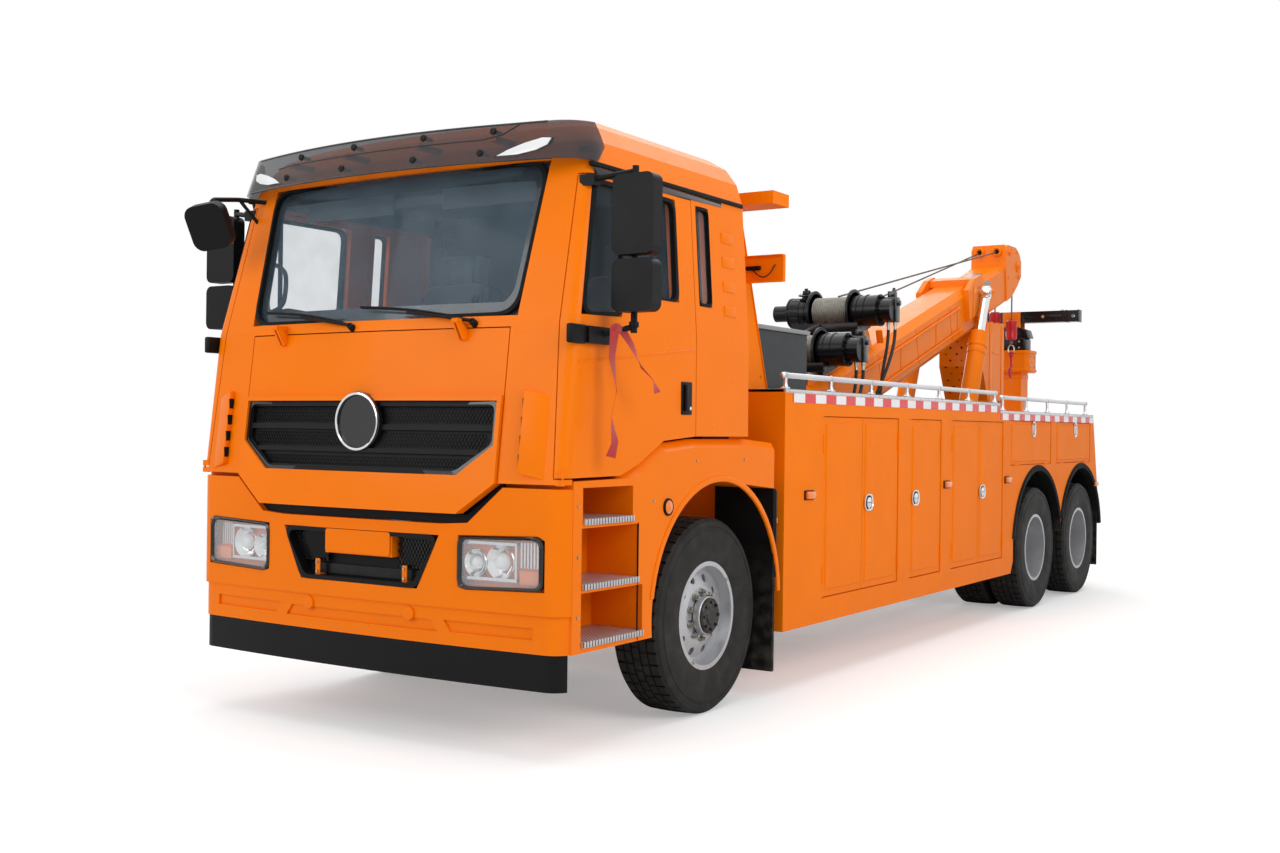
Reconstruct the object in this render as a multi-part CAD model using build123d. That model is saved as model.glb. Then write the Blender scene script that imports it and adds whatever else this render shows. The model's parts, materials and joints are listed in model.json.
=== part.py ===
from build123d import *

import os
from math import cos, hypot, radians, sin

os.makedirs("parts", exist_ok=True)

# A heavy six-wheeled wrecker in millimetres: +X is the vehicle's left, +Y rearward, +Z up.
# Every Y below counts from the front axle, and each piece is moved by FRONT_AXLE_Y when written.
FRONT_AXLE_Y = -3710
SEAT = 0.3  # running clearance at pins, bores and slide faces
PANEL_GAP = 6  # gap round doors, lids and the front panel
RUN_GAP = 8  # clearance beside pieces that swing

# Wheels and axles
WHEELBASE = 5775
REAR_AXLE_GAP = 1400
TYRE_RADIUS = 540
TYRE_WIDTH = 300
RIM_RADIUS = 285
RIM_WALL = 12
RIM_LIP = 13
FRONT_TYRE_X = 1030
REAR_OUTER_X = 1095
REAR_INNER_X = 750
KINGPIN_X = 900
KINGPIN_RADIUS = 22
SPINDLE_RADIUS = 45
AXLE_TUBE_RADIUS = 65
HAND_HOLES = 10

# Frame rails
RAIL_OUTER_X = 430
RAIL_FLANGE = 80
RAIL_WALL = 10
RAIL_LOW = 700
RAIL_HIGH = 1000
RAIL_FRONT = -1350
RAIL_REAR = WHEELBASE + 2175

# Cab
CAB_HALF = 1245
CAB_REAR = 300
CAB_WALL = 60
CAB_FLOOR_LOW = 1300
CAB_FLOOR_TOP = 1350
ROOF_TOP = 3140
PANEL_TOP = 2040
PANEL_LOW = 1150
PANEL_HALF = 880
PANEL_THICK = 40
GLASS = 6
GLASS_DEPTH = 22

# Bumper and steps
BUMPER_NOSE = -1525
BUMPER_BOW = 50
BUMPER_BACK = -1400
BUMPER_LOW = 510
BUMPER_TOP = 1280
LIP_LOW = 336
STEP_INNER_X = 850
FENDER_FRONT = BUMPER_BACK + SEAT
ARCH_RADIUS = 691
ARCH_Y = -20
ARCH_Z = 594

# Deck body
BODY_HALF = 1250
FENDER_X = BODY_HALF
BODY_INNER = 700
BODY_FRONT = 748
BODY_LOW = 367
BODY_TOP = 1795
BODY_STEP_Y = WHEELBASE - 1075
BODY_TOP_REAR = 1750
BODY_REAR = WHEELBASE + 1830
BODY_TAIL = WHEELBASE + 2025
SKIRT_END = WHEELBASE - 758
REAR_ARCH_RADIUS = 690
REAR_ARCH_Z = 545
ARCH_FLAT_Z = 650
WELL_HALF = 460
WELL_FRONT = 2900
DECK_THICK = 30
LEAF_THICK = 28
LOCKER_DEPTH = 480
LOCKER_LIP = 22

# Boom and its lift cylinders
BOOM_PIVOT = (WHEELBASE - 2425, 1684)
BOOM_ANGLE = 17.5
BOOM_WIDTH = 440
BOOM_HEIGHT = 480
BOOM_WALL = 20
BOOM_CHAMFER = 65
BOOM_LENGTH = 4040
EXTENSION_WIDTH = 360
EXTENSION_HEIGHT = 400
EXTENSION_START = 1400
EXTENSION_END = 5010
PIVOT_RADIUS = 50
CYLINDER_X = 330
CYLINDER_FOOT = (WHEELBASE + 463, 1250)
CYLINDER_EYE = (WHEELBASE + 1225, 2980)
BARREL_LENGTH = 1430
BARREL_RADIUS = 90
ROD_RADIUS = 50
CYLINDER_PIN = 40
EYE_RADIUS = 75
EYE_WIDTH = 70
SADDLE_X = CYLINDER_X - ROD_RADIUS - RUN_GAP
SHEAVE_RADIUS = 125
SHEAVE_X = 95
SHEAVE_Y = WHEELBASE + 2655
SHEAVE_Z = 3398
HEAD_HALF = 195
HEAD_PLATE = 20

# Winches: drum centre on the boom, as Y and Z
WINCH_PLACES = [(BOOM_PIVOT[0] + 135, 2211), (BOOM_PIVOT[0] + 775, 2574)]
DRUM_RADIUS = 105
WINCH_FLANGE = 160

# Underlift
MAST_HALF = 230
MAST_FRONT = WHEELBASE + 1615
MAST_REAR = MAST_FRONT + 500
MAST_LOW = 650
MAST_TOP = 2729
FOLD_Y = MAST_REAR + 1045
FOLD_Z = 850
ARM_HALF = 130
FOLD_PIN = 45
CROSSBAR_HALF = 743
CROSSBAR_SIZE = 125
CROSSBAR_Z = 2876
SWIVEL_PIN = 30
END_BORE = 21


def side_slab(points, x_low, x_high):
    """A flat piece from an outline in Y and Z, between two X places."""
    face = Plane.YZ.offset(x_low) * Polygon(*points, align=None)
    return extrude(face, amount=x_high - x_low, dir=(1, 0, 0))


def cross_slab(points, y_low, y_high):
    """A flat piece from an outline in X and Z, between two Y places."""
    face = Plane.XZ.offset(-y_low) * Polygon(*points, align=None)
    return extrude(face, amount=y_high - y_low, dir=(0, 1, 0))


def block(x, y, z):
    """A box from its low and high places along X, Y and Z."""
    size = [high - low for low, high in (x, y, z)]
    centre = [(low + high) / 2 for low, high in (x, y, z)]
    return Pos(*centre) * Box(*size)


def rod_x(radius, x_low, x_high, y, z):
    """A round bar along X."""
    return extrude(Plane.YZ.offset(x_low) * Pos(y, z) * Circle(radius), amount=x_high - x_low)


def rod_y(radius, y_low, y_high, x, z):
    """A round bar along Y."""
    return extrude(Plane.XZ.offset(-y_high) * Pos(x, z) * Circle(radius), amount=y_high - y_low)


def rod_z(radius, z_low, z_high, x, y):
    """A round bar along Z."""
    return extrude(Plane.XY.offset(z_low) * Pos(x, y) * Circle(radius), amount=z_high - z_low)


def rod_between(radius, start, end):
    """A round bar from one point to another."""
    axis = Vector(*end) - Vector(*start)
    return extrude(Plane(origin=start, z_dir=axis) * Circle(radius), amount=axis.length)


def turned(points):
    """A ring or disc about X, from its profile in X and radius."""
    return revolve(Polygon(*points, align=None), Axis.X)


def mirrored(shape):
    """The same piece on the vehicle's other side."""
    return mirror(shape, about=Plane.YZ)


def both(shape):
    """A piece and its mirror image."""
    return shape + mirrored(shape)


def joined(shapes):
    """Several pieces as one."""
    whole = shapes[0]
    for shape in shapes[1:]:
        whole = whole + shape
    return whole


def write(name, *shapes):
    """Writes one sub-part, moved from the front axle's frame to the truck's own."""
    solids = [solid for shape in shapes for solid in shape.solids()]
    whole = Compound(solids) if len(solids) > 1 else solids[0]
    export_step(whole.moved(Location((0, FRONT_AXLE_Y, 0))), f"parts/{name}.step")


def write_pair(name, shape):
    """Writes a left piece and its mirror image on the right."""
    write(f"{name}_left", shape)
    write(f"{name}_right", mirrored(shape))


# Wheels

def tyre(x):
    """A tyre with its tread's edges chamfered, centred at X on the wheel's axis."""
    half = TYRE_WIDTH / 2
    bead = RIM_RADIUS + SEAT
    profile = [
        (-half + 35, bead), (-half, TYRE_RADIUS - 110), (-half + 10, TYRE_RADIUS - 22),
        (-half + 34, TYRE_RADIUS), (half - 34, TYRE_RADIUS), (half - 10, TYRE_RADIUS - 22),
        (half, TYRE_RADIUS - 110), (half - 35, bead),
    ]
    return Pos(x, 0, 0) * turned(profile)


def rim_barrel(x):
    """The rim's outer ring with its two lips."""
    seat = TYRE_WIDTH / 2 - 29
    edge = seat + 12
    inner = RIM_RADIUS - RIM_WALL
    lip = RIM_RADIUS + RIM_LIP
    profile = [
        (-edge, lip), (-seat, lip), (-seat, RIM_RADIUS), (seat, RIM_RADIUS),
        (seat, lip), (edge, lip), (edge, inner), (-edge, inner),
    ]
    return Pos(x, 0, 0) * turned(profile)


def hand_holes(x_low, x_high, circle, radius):
    """Round holes on a circle, to cut a wheel's disc."""
    turn = 360 / HAND_HOLES
    places = [radians(turn * n) for n in range(HAND_HOLES)]
    return [rod_x(radius, x_low, x_high, circle * cos(a), circle * sin(a)) for a in places]


def front_rim():
    """The front wheel's rim: a disc close to the outer lip and a stepped hub."""
    inner = RIM_RADIUS - RIM_WALL
    x = FRONT_TYRE_X
    disc = turned([(x + 45, inner + 1), (x + 45, 230), (x + 78, 150), (x + 78, 100),
                   (x + 92, 100), (x + 92, 155), (x + 60, 235), (x + 60, inner + 1)])
    hub = turned([(x - 45, SPINDLE_RADIUS + SEAT), (x - 45, 140), (x + 20, 140), (x + 79, 112),
                  (x + 140, 105), (x + 150, 90), (x + 150, 0), (x + 100, 0),
                  (x + 100, SPINDLE_RADIUS + SEAT)])
    rim = rim_barrel(x) + disc + hub
    for hole in hand_holes(x + 30, x + 100, 205, 22):
        rim = rim - hole
    return rim


def rear_rims():
    """The twin rims of one rear wheel set, bolted back to back on their hub."""
    inner = RIM_RADIUS - RIM_WALL
    meet = (REAR_OUTER_X + REAR_INNER_X) / 2 - 4
    outer = turned([(REAR_OUTER_X - 100, inner + 1), (meet + 14, 215), (meet + 14, 110),
                    (meet, 110), (meet, 222), (REAR_OUTER_X - 120, inner + 1)])
    inside = turned([(REAR_INNER_X + 100, inner + 1), (meet - 14, 215), (meet - 14, 110),
                     (meet, 110), (meet, 222), (REAR_INNER_X + 120, inner + 1)])
    hub = turned([(REAR_INNER_X - 60, SPINDLE_RADIUS + SEAT), (REAR_INNER_X - 60, 205),
                  (meet - 60, 205), (meet - 40, 140), (meet + 60, 130), (meet + 150, 118),
                  (meet + 160, 105), (meet + 160, 0), (meet + 110, 0),
                  (meet + 110, SPINDLE_RADIUS + SEAT)])
    rims = rim_barrel(REAR_OUTER_X) + rim_barrel(REAR_INNER_X) + outer + inside + hub
    for hole in hand_holes(meet - 40, meet + 60, 185, 22):
        rims = rims - hole
    return rims


def write_wheels():
    """Front tyres and rims, and the four rear twin sets."""
    at_axle = Pos(0, 0, TYRE_RADIUS)
    write_pair("tyre_front", at_axle * tyre(FRONT_TYRE_X))
    write_pair("rim_front", at_axle * front_rim())
    twin = [tyre(REAR_OUTER_X), tyre(REAR_INNER_X), rear_rims()]
    for number, y in ((1, WHEELBASE), (2, WHEELBASE + REAR_AXLE_GAP)):
        pieces = [Pos(0, y, TYRE_RADIUS) * piece for piece in twin]
        write(f"wheels_rear_{number}_left", *pieces)
        write(f"wheels_rear_{number}_right", *[mirrored(piece) for piece in pieces])


# Axles, knuckles, frame and engine

SPRING_HALF = 35
EYE_HALF = 60  # half height of the front axle's end
BEAM_TOP = 500


def knuckle():
    """The left steering knuckle: kingpin, two ears, a web and the wheel's spindle."""
    z = TYRE_RADIUS
    ear = KINGPIN_RADIUS + 18
    web_x = KINGPIN_X + EYE_BOSS + 7
    pin = rod_z(KINGPIN_RADIUS - SEAT, z - 100, z + 100, KINGPIN_X, 0)
    web = block((web_x, web_x + 30), (-45, 45), (z - 100, z + 100))
    ears = [block((KINGPIN_X - ear, web_x + 10), (-ear, ear), (low, low + 34))
            for low in (z - 100, z + 66)]
    spindle = rod_x(SPINDLE_RADIUS, web_x + 20, FRONT_TYRE_X + 95, 0, z)
    return joined([pin, web, *ears, spindle])


EYE_BOSS = 38  # radius of the axle beam's end round the kingpin


def front_axle():
    """The dropped front beam with its kingpin bosses and two leaf springs."""
    z = TYRE_RADIUS
    half = [(KINGPIN_X - 20, z - 45), (640, 455), (480, BEAM_TOP - 100)]
    top = [(KINGPIN_X - 20, z + 45), (600, 570), (450, BEAM_TOP)]
    outline = half + [(-x, h) for x, h in reversed(half)]
    outline = outline + [(-x, h) for x, h in top] + list(reversed(top))
    beam = cross_slab(outline, -50, 50)
    bosses = both(rod_z(EYE_BOSS, z - EYE_HALF, z + EYE_HALF, KINGPIN_X, 0))
    bores = both(rod_z(KINGPIN_RADIUS, z - 200, z + 200, KINGPIN_X, 0))
    seats = [(-720, 640), (-200, BEAM_TOP + 20), (-60, BEAM_TOP), (60, BEAM_TOP),
             (200, BEAM_TOP + 20), (720, 640), (720, RAIL_LOW), (640, RAIL_LOW),
             (200, BEAM_TOP + 90), (-200, BEAM_TOP + 90), (-640, RAIL_LOW), (-720, RAIL_LOW)]
    middle = RAIL_OUTER_X - RAIL_FLANGE / 2
    spring = side_slab(seats, middle - SPRING_HALF, middle + SPRING_HALF)
    return joined([beam, bosses, both(spring)]) - bores


def rear_axles():
    """Two drive axles, their round housings, the springs across them and the trunnions."""
    pieces = []
    for y in (WHEELBASE, WHEELBASE + REAR_AXLE_GAP):
        stub = REAR_INNER_X - 70
        pieces.append(rod_x(AXLE_TUBE_RADIUS, -stub, stub, y, TYRE_RADIUS))
        pieces.append(both(rod_x(SPINDLE_RADIUS, stub - 10, 1020, y, TYRE_RADIUS)))
        pieces.append(rod_y(230, y - 90, y + 90, 0, TYRE_RADIUS))
    middle = WHEELBASE + REAR_AXLE_GAP / 2
    seat = TYRE_RADIUS + AXLE_TUBE_RADIUS - 5
    half = [(middle - REAR_AXLE_GAP / 2 - 80, seat), (middle - REAR_AXLE_GAP / 2 + 80, seat),
            (middle - 170, seat + 100), (middle, seat + 110)]
    low = half + [(2 * middle - y, z) for y, z in reversed(half[:-1])]
    outline = low + [(y, z + 60) for y, z in reversed(low)]
    spring_x = (RAIL_OUTER_X, RAIL_OUTER_X + 90)
    spring = side_slab(outline, *spring_x)
    trunnion = block(spring_x, (middle - 110, middle + 110), (seat - 10, seat + 130))
    plate = block((RAIL_OUTER_X, RAIL_OUTER_X + 14), (middle - 160, middle + 160), (620, 890))
    pieces.append(both(spring + trunnion + plate))
    return joined(pieces)


def frame_rails():
    """Two channel rails with their cross members, cab stands and boom towers."""
    inner = RAIL_OUTER_X - RAIL_FLANGE
    web = block((RAIL_OUTER_X - RAIL_WALL, RAIL_OUTER_X), (RAIL_FRONT, RAIL_REAR), (RAIL_LOW, RAIL_HIGH))
    flanges = [block((inner, RAIL_OUTER_X), (RAIL_FRONT, RAIL_REAR), (z, z + RAIL_WALL))
               for z in (RAIL_LOW, RAIL_HIGH - RAIL_WALL)]
    rail = joined([web, *flanges])
    stands = [block((inner, RAIL_OUTER_X), (y, y + 90), (RAIL_HIGH - 5, CAB_FLOOR_LOW))
              for y in (-1290, 200)]
    pivot_y, pivot_z = BOOM_PIVOT
    tower = [(pivot_y + 250, 1330), (pivot_y + 120, pivot_z + 106), (pivot_y - 120, pivot_z + 106)]
    sill = side_slab([(WELL_FRONT, RAIL_HIGH - 5), (MAST_FRONT - 40, RAIL_HIGH - 5), (MAST_FRONT - 40, 1330),
                      *tower, (WELL_FRONT, 1330)], RAIL_OUTER_X - 40, RAIL_OUTER_X)
    foot_y = CYLINDER_FOOT[0]
    cheek_x = CYLINDER_X - EYE_WIDTH / 2 - RUN_GAP
    lug = block((cheek_x - 25, cheek_x), (foot_y - 90, foot_y + 90), (RAIL_HIGH - 60, 1320))
    pin = rod_x(CYLINDER_PIN, cheek_x - 20, RAIL_OUTER_X - 20, *CYLINDER_FOOT)
    side = joined([rail, *stands, sill, lug, pin])
    members = [block((-RAIL_OUTER_X + RAIL_WALL, RAIL_OUTER_X - RAIL_WALL), (y, y + 110), (z, z + 120))
               for y, z in ((-1340, 760), (1400, 760), (2900, 760), (4500, 760),
                            (WHEELBASE + 645, 800), (WHEELBASE + 1505, 760))]
    saddle = block((-inner - 5, inner + 5), (foot_y - 95, foot_y + 95), (RAIL_HIGH - 120, RAIL_HIGH))
    frame = joined([both(side), *members, saddle])
    return frame - rod_x(PIVOT_RADIUS + SEAT, -500, 500, *BOOM_PIVOT)


def engine():
    """The engine and gearbox as one plain block, with its lugs on the rails."""
    main = block((-300, 300), (-800, 700), (760, 1285))
    lugs = [both(block((290, RAIL_OUTER_X), (y, y + 80), (RAIL_HIGH, RAIL_HIGH + 40)))
            for y in (-700, 560)]
    return joined([main, *lugs])


def write_running_gear():
    """Axles, knuckles, frame and engine."""
    write("axles", front_axle(), rear_axles())
    write_pair("knuckle", knuckle())
    write("chassis_frame", frame_rails())
    write("engine_block", engine())


# Cab

# Z, nose Y, bow of the front, half width, rear Y, front corner radius
CAB_SECTIONS = [
    (PANEL_LOW, -1570, 85, CAB_HALF, CAB_REAR, 60),
    (2060, -1462, 85, CAB_HALF - 4, CAB_REAR, 60),
    (2835, -1281, 100, 1190, CAB_REAR, 70),
    (2960, -1238, 104, 1150, CAB_REAR, 80),
    (3050, -1180, 108, 1085, CAB_REAR - 10, 100),
    (3108, -1085, 110, 990, CAB_REAR - 45, 110),
    (ROOF_TOP, -940, 110, 850, CAB_REAR - 120, 120),
]
DOOR = [(-1640, 1330), (-1000, 1335), (-837, 1390), (-604, 1505), (-285, 1528),
        (-285, 2785), (-1640, 2785)]
DOOR_SEAM = [(1195, 1200), (1154, 2020), (1113, 2900), (1500, 2900), (1500, 1200)]  # in X and Z
DOOR_WINDOW = [(-1335, 2100), (-1000, 2110), (-930, 2225), (-445, 2225), (-445, 2765),
               (-1180, 2765)]
QUARTER_WINDOW = [(-235, 2225), (-100, 2225), (-100, 2765), (-235, 2765)]
WINDSHIELD = [(-915, 2100), (915, 2100), (955, 2868), (-955, 2868)]
WHEEL_ARCH_CUT = [(FENDER_FRONT - 4, 1200), (FENDER_FRONT - 4, 1328), (-1000, 1335), (-837, 1390), (-604, 1505), (-285, 1528),
                  (400, 1528), (400, 1200)]


def bowed_outline(nose, half, rear, corner, bow, inset):
    """A plan outline with a bowed front and round front corners, moved inwards by an inset."""
    side = half - inset
    front = nose + inset
    back = rear - inset
    edges = [
        ThreePointArc((-side, front + bow), (0, front), (side, front + bow)),
        Line((side, front + bow), (side, back)),
        Line((side, back), (-side, back)),
        Line((-side, back), (-side, front + bow)),
    ]
    face = make_face(edges)
    return fillet(face.vertices().sort_by(Axis.Y)[:2], corner - inset / 2)


def cab_form(inset):
    """The cab's outer form as a solid, or one that lies inside it by an inset."""
    faces = [Plane.XY.offset(z - (inset if z == ROOF_TOP else 0))
             * bowed_outline(nose, half, rear, corner, bow, inset)
             for z, nose, bow, half, rear, corner in CAB_SECTIONS]
    return loft(faces, ruled=True)


def grown(points, amount):
    """An outline with its sides moved outwards."""
    return offset(Polygon(*points, align=None), amount, kind=Kind.INTERSECTION)


def side_cut(points, amount, x_low, x_high):
    """A cutter through the cab's left side, from an outline that is grown or shrunk."""
    return extrude(Plane.YZ.offset(x_low) * grown(points, amount), amount=x_high - x_low, dir=(1, 0, 0))


def front_cut(points, amount, y_low, y_high):
    """A cutter through the cab's front, from an outline that is grown or shrunk."""
    return extrude(Plane.XZ.offset(-y_low) * grown(points, amount), amount=y_high - y_low, dir=(0, 1, 0))


PANEL = [(-675, PANEL_LOW), (675, PANEL_LOW), (PANEL_HALF, 1300), (PANEL_HALF, PANEL_TOP),
         (-PANEL_HALF, PANEL_TOP), (-PANEL_HALF, 1300)]
GRILLE = [(-659, 1333), (659, 1333), (857, 1480), (857, 1691), (-857, 1691), (-857, 1480)]
CHIN = [(-675, PANEL_LOW), (675, PANEL_LOW), (PANEL_HALF, 1300), (PANEL_HALF, 1480), (PANEL_HALF, 1716), (-PANEL_HALF, 1716),
        (-PANEL_HALF, 1480), (-PANEL_HALF, 1300)]
CHIN_RISE = 18
PANEL_HINGE = (-1510, 2075)
PANEL_HINGE_X = 620
PANEL_PIN = 8
HINGE_HALF = 6  # half width of the lug between the panel's two ears


def hinge_lugs():
    """The two lugs over the front panel, each with its pin."""
    y, z = PANEL_HINGE
    lug = side_slab([(y - 12, z - 10), (y - 12, z + 10), (y + 110, z + 17), (y + 110, z - 19)],
                    PANEL_HINGE_X - HINGE_HALF, PANEL_HINGE_X + HINGE_HALF)
    pin = rod_x(PANEL_PIN, PANEL_HINGE_X - 22, PANEL_HINGE_X + 22, y, z)
    return both(lug + pin)


def hinge_ears():
    """The front panel's ears on both sides of each lug."""
    y, z = PANEL_HINGE
    inner = HINGE_HALF + SEAT
    outer = HINGE_HALF + 12
    outline = [(y - 14, z), (y + 14, z), (y + 75, z - 40), (y + 75, z - 90), (y + 40, z - 90)]
    ears = [side_slab(outline, PANEL_HINGE_X + low, PANEL_HINGE_X + high)
            + rod_x(14, PANEL_HINGE_X + low, PANEL_HINGE_X + high, y, z)
            for low, high in ((-outer, -inner), (inner, outer))]
    bore = rod_x(PANEL_PIN + SEAT, PANEL_HINGE_X - 30, PANEL_HINGE_X + 30, y, z)
    return both(joined(ears) - bore)


DOOR_HINGE = (1230, -1460)
DOOR_PIN = 6
DOOR_BOSS = 11
BOSS_TOP = 1324  # top of the shell's boss, under the door's one


def door_boss(z_low, z_high):
    """One boss of the left door's hinge, with the web that ties it into the wall."""
    x, y = DOOR_HINGE
    web = block((x - 35, x), (y - 9, y + DOOR_BOSS), (z_low, z_high))
    return rod_z(DOOR_BOSS, z_low, z_high, x, y) + web


def cab_shell(outer):
    """The cab's walls, floor and roof, open at the doors, windows and front panel."""
    inner = cab_form(CAB_WALL) - block((-1400, 1400), (-1800, 400), (1000, CAB_FLOOR_TOP))
    shell = outer - (inner - wheel_house())
    shell = shell - block((-1400, 1400), (-1800, 400), (1000, CAB_FLOOR_LOW))
    shell = shell - both(side_cut(WHEEL_ARCH_CUT, 0, BODY_INNER, 1400))
    behind = cab_form(PANEL_THICK + PANEL_GAP)
    recess = front_cut(PANEL, PANEL_GAP, -1900, -1200) - behind
    shell = shell - recess
    doorway = side_cut(DOOR, PANEL_GAP, 900, 1400) & front_cut(DOOR_SEAM, PANEL_GAP, -1700, 400)
    quarter = side_cut(QUARTER_WINDOW, 0, 900, 1400)
    shell = shell - both(doorway) - both(quarter)
    hinge = door_boss(BOSS_TOP - 28, BOSS_TOP) + rod_z(DOOR_PIN, BOSS_TOP - 20, BOSS_TOP + 28, *DOOR_HINGE)
    return shell - front_cut(WINDSHIELD, 0, -1800, -700) + hinge_lugs() + both(hinge)


def door_skin(outer):
    """The left door: the stretch of the cab's wall inside the doorway, with its window cut."""
    wall = outer - cab_form(CAB_WALL)
    door = wall & side_cut(DOOR, 0, 900, 1400) & front_cut(DOOR_SEAM, 0, -1700, 400)
    bore = rod_z(DOOR_PIN + SEAT, BOSS_TOP, BOSS_TOP + 50, *DOOR_HINGE)
    return door - side_cut(DOOR_WINDOW, 0, 900, 1400) + door_boss(BOSS_TOP + 8, BOSS_TOP + 38) - bore


def wheel_house():
    """The raised floor over the front wheels, as a solid on both sides."""
    return both(side_cut(WHEEL_ARCH_CUT, 40, BODY_INNER - 40, 1400))


def glass_band():
    """A thin layer inside the cab's wall, in which all panes lie."""
    return cab_form(GLASS_DEPTH) - cab_form(GLASS_DEPTH + GLASS)


def write_cab():
    """The cab's shell, panes, doors, front panel and grille."""
    outer = cab_form(0)
    write("cab_shell", cab_shell(outer))
    band = glass_band()
    windshield = band & front_cut(WINDSHIELD, -SEAT, -1800, -700)
    quarter = band & side_cut(QUARTER_WINDOW, -SEAT, 900, 1400)
    write("cab_glass", windshield, quarter, mirrored(quarter))
    write_pair("door", door_skin(outer))
    pane = band & side_cut(DOOR_WINDOW, -SEAT, 900, 1400) & front_cut(DOOR_SEAM, -2, -1700, 400)
    write_pair("door_glass", pane)
    skin = outer - cab_form(PANEL_THICK)
    panel = skin & front_cut(PANEL, 0, -1900, -1200)
    opening = front_cut(GRILLE, 0, -1900, -1200)
    chin = (cab_form(-CHIN_RISE) - cab_form(PANEL_THICK)) & front_cut(CHIN, 0, -1900, -1200)
    write("front_panel", panel + chin - opening + hinge_ears())
    write("front_grille", grille(opening))


def grille(opening):
    """The black grille in the panel's opening: a frame, two bars and a backing plate."""
    plate = cab_form(24) - cab_form(PANEL_THICK)
    ribs = cab_form(4) - cab_form(26)
    frame = ribs & (front_cut(GRILLE, -SEAT, -1900, -1200) - front_cut(GRILLE, -28, -1900, -1200))
    bars = ribs & block((-830, 830), (-1900, -1200), (1545, 1572))
    bars = bars + (ribs & block((-760, 760), (-1900, -1200), (1430, 1452)))
    back = plate & front_cut(GRILLE, -SEAT, -1900, -1200)
    return joined([back, frame, bars])


def cab_interior():
    """Seats, dashboard, steering column and wheel, bunk and engine cover on the cab's floor."""
    floor = CAB_FLOOR_TOP
    cover = block((-330, 330), (-1100, 220), (floor, floor + 170))
    dash = side_slab([(-1320, floor), (-1150, floor), (-1050, 1900), (-1060, 2030), (-1320, 2060)],
                     -1040, 1040)
    seats = []
    for x in (620, -620):
        seats.append(block((x - 260, x + 260), (-560, -60), (1600, 1790)))
        seats.append(block((x - 230, x + 230), (-520, -100), (floor, 1605)))
        seats.append(side_slab([(-160, 1780), (-40, 1780), (60, 2420), (-20, 2430)], x - 260, x + 260))
        seats.append(side_slab([(-30, 2420), (60, 2420), (80, 2610), (0, 2610)], x - 150, x + 150))
    bunk = block((-660, 660), (60, CAB_REAR - CAB_WALL), (floor + 100, 1800))
    column = rod_between(40, (620, -1120, 1760), (620, -850, 1930))
    rim = Plane(origin=(620, -835, 1940), z_dir=(0, 270, 170)) * Torus(235, 18)
    spokes = Plane(origin=(620, -845, 1933), z_dir=(0, 270, 170)) * Box(440, 60, 20)
    wheel = column + rim + spokes
    return joined([cover, dash, *seats, bunk, wheel]) - wheel_house()


VISOR = (2850, 3045)


def sun_visor(outer):
    """The smoked visor over the windshield, on six short brackets."""
    def layer(inset):
        rows = zip(VISOR, (-1450, -1395), (1195, 1165))
        return loft([Plane.XY.offset(z) * bowed_outline(nose, half, 0, 200, 170, inset)
                     for z, nose, half in rows], ruled=True)
    band = layer(0) - layer(8)
    ends = side_slab([(-1500, 2850), (-1150, 2850), (-1080, 2930), (-1130, 3045), (-1500, 3045)],
                     -1200, 1200)
    brackets = [block((x - 20, x + 20), (-1412, -1100), (2960, 2985)) for x in (-700, -250, 250, 700)]
    tips = both(block((1100, 1180), (-1180, -1150), (2900, 2925)))
    return (band & ends) + (joined([*brackets, tips]) & layer(2)) - outer


def rounded_head(x, y, z, radius):
    """A mirror's housing: a box with round edges."""
    return fillet(block(x, y, z).edges().filter_by(Axis.Y), radius)


MIRROR_X = 1430
MIRROR_Y = -1165
MIRROR_TUBE = 16


def mirror_set(outer):
    """The two main mirrors on the left door, with their tube arms and lower bracket."""
    back = (MIRROR_Y - 40, MIRROR_Y + 40)
    heads = [rounded_head((MIRROR_X - 115, MIRROR_X + 115), back, z, 40)
             for z in ((2385, 2765), (2115, 2365))]
    tube = rod_z(MIRROR_TUBE, 2020, 2815, MIRROR_X - 40, MIRROR_Y + 45)
    top = rod_between(MIRROR_TUBE - 2, (MIRROR_X - 40, MIRROR_Y + 45, 2790), (1190, -1190, 2755))
    low = rod_between(MIRROR_TUBE - 2, (MIRROR_X - 40, MIRROR_Y + 45, 2050), (1260, -1200, 2010))
    feet = block((1150, 1275), (-1325, -1130), (1965, 2045)) + block((1130, 1215), (-1215, -1165), (2725, 2780))
    return joined([*heads, tube, top, low, feet - outer])


def kerb_mirror(outer):
    """The kerb mirror on the right, hung from the windshield's top corner on a bent tube."""
    head = Pos(-1080, -1570, 2640) * Rot(25, 0, 20) * fillet(
        Box(230, 60, 250).edges().filter_by(Axis.Y), 60)
    path = [(-985, -1100, 2815), (-1130, -1330, 2822), (-1105, -1545, 2790), (-1085, -1560, 2660)]
    line = FilletPolyline(*path, radius=45)
    arm = sweep(Plane(origin=line @ 0, z_dir=line % 0) * Circle(13), path=line)
    strut = rod_between(10, (-1125, -1322, 2814), (-1060, -1150, 2610))
    return joined([head, arm, strut]) - outer


# Bumper, lamps, steps and fenders

BUMPER_FACE = [(-1300, BUMPER_LOW), (1300, BUMPER_LOW), (1300, BUMPER_TOP), (910, BUMPER_TOP),
               (705, 1105), (540, 1095), (-540, 1095), (-705, 1105), (-910, BUMPER_TOP),
               (-1300, BUMPER_TOP)]
INTAKE = [(-400, 770), (400, 770), (534, 1039), (-534, 1039)]
SKIRT_TOP = 690
SKIRT_INSET = 10
CENTRE_GROOVE = [(-520, 570), (520, 570), (480, 625), (-480, 625)]
SIDE_GROOVE = [(600, 575), (1080, 575), (1080, 630), (560, 630)]
LAMP = [(651, 800), (700, 786), (1150, 800), (1150, 1040), (1110, 1060), (651, 1045)]


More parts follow.
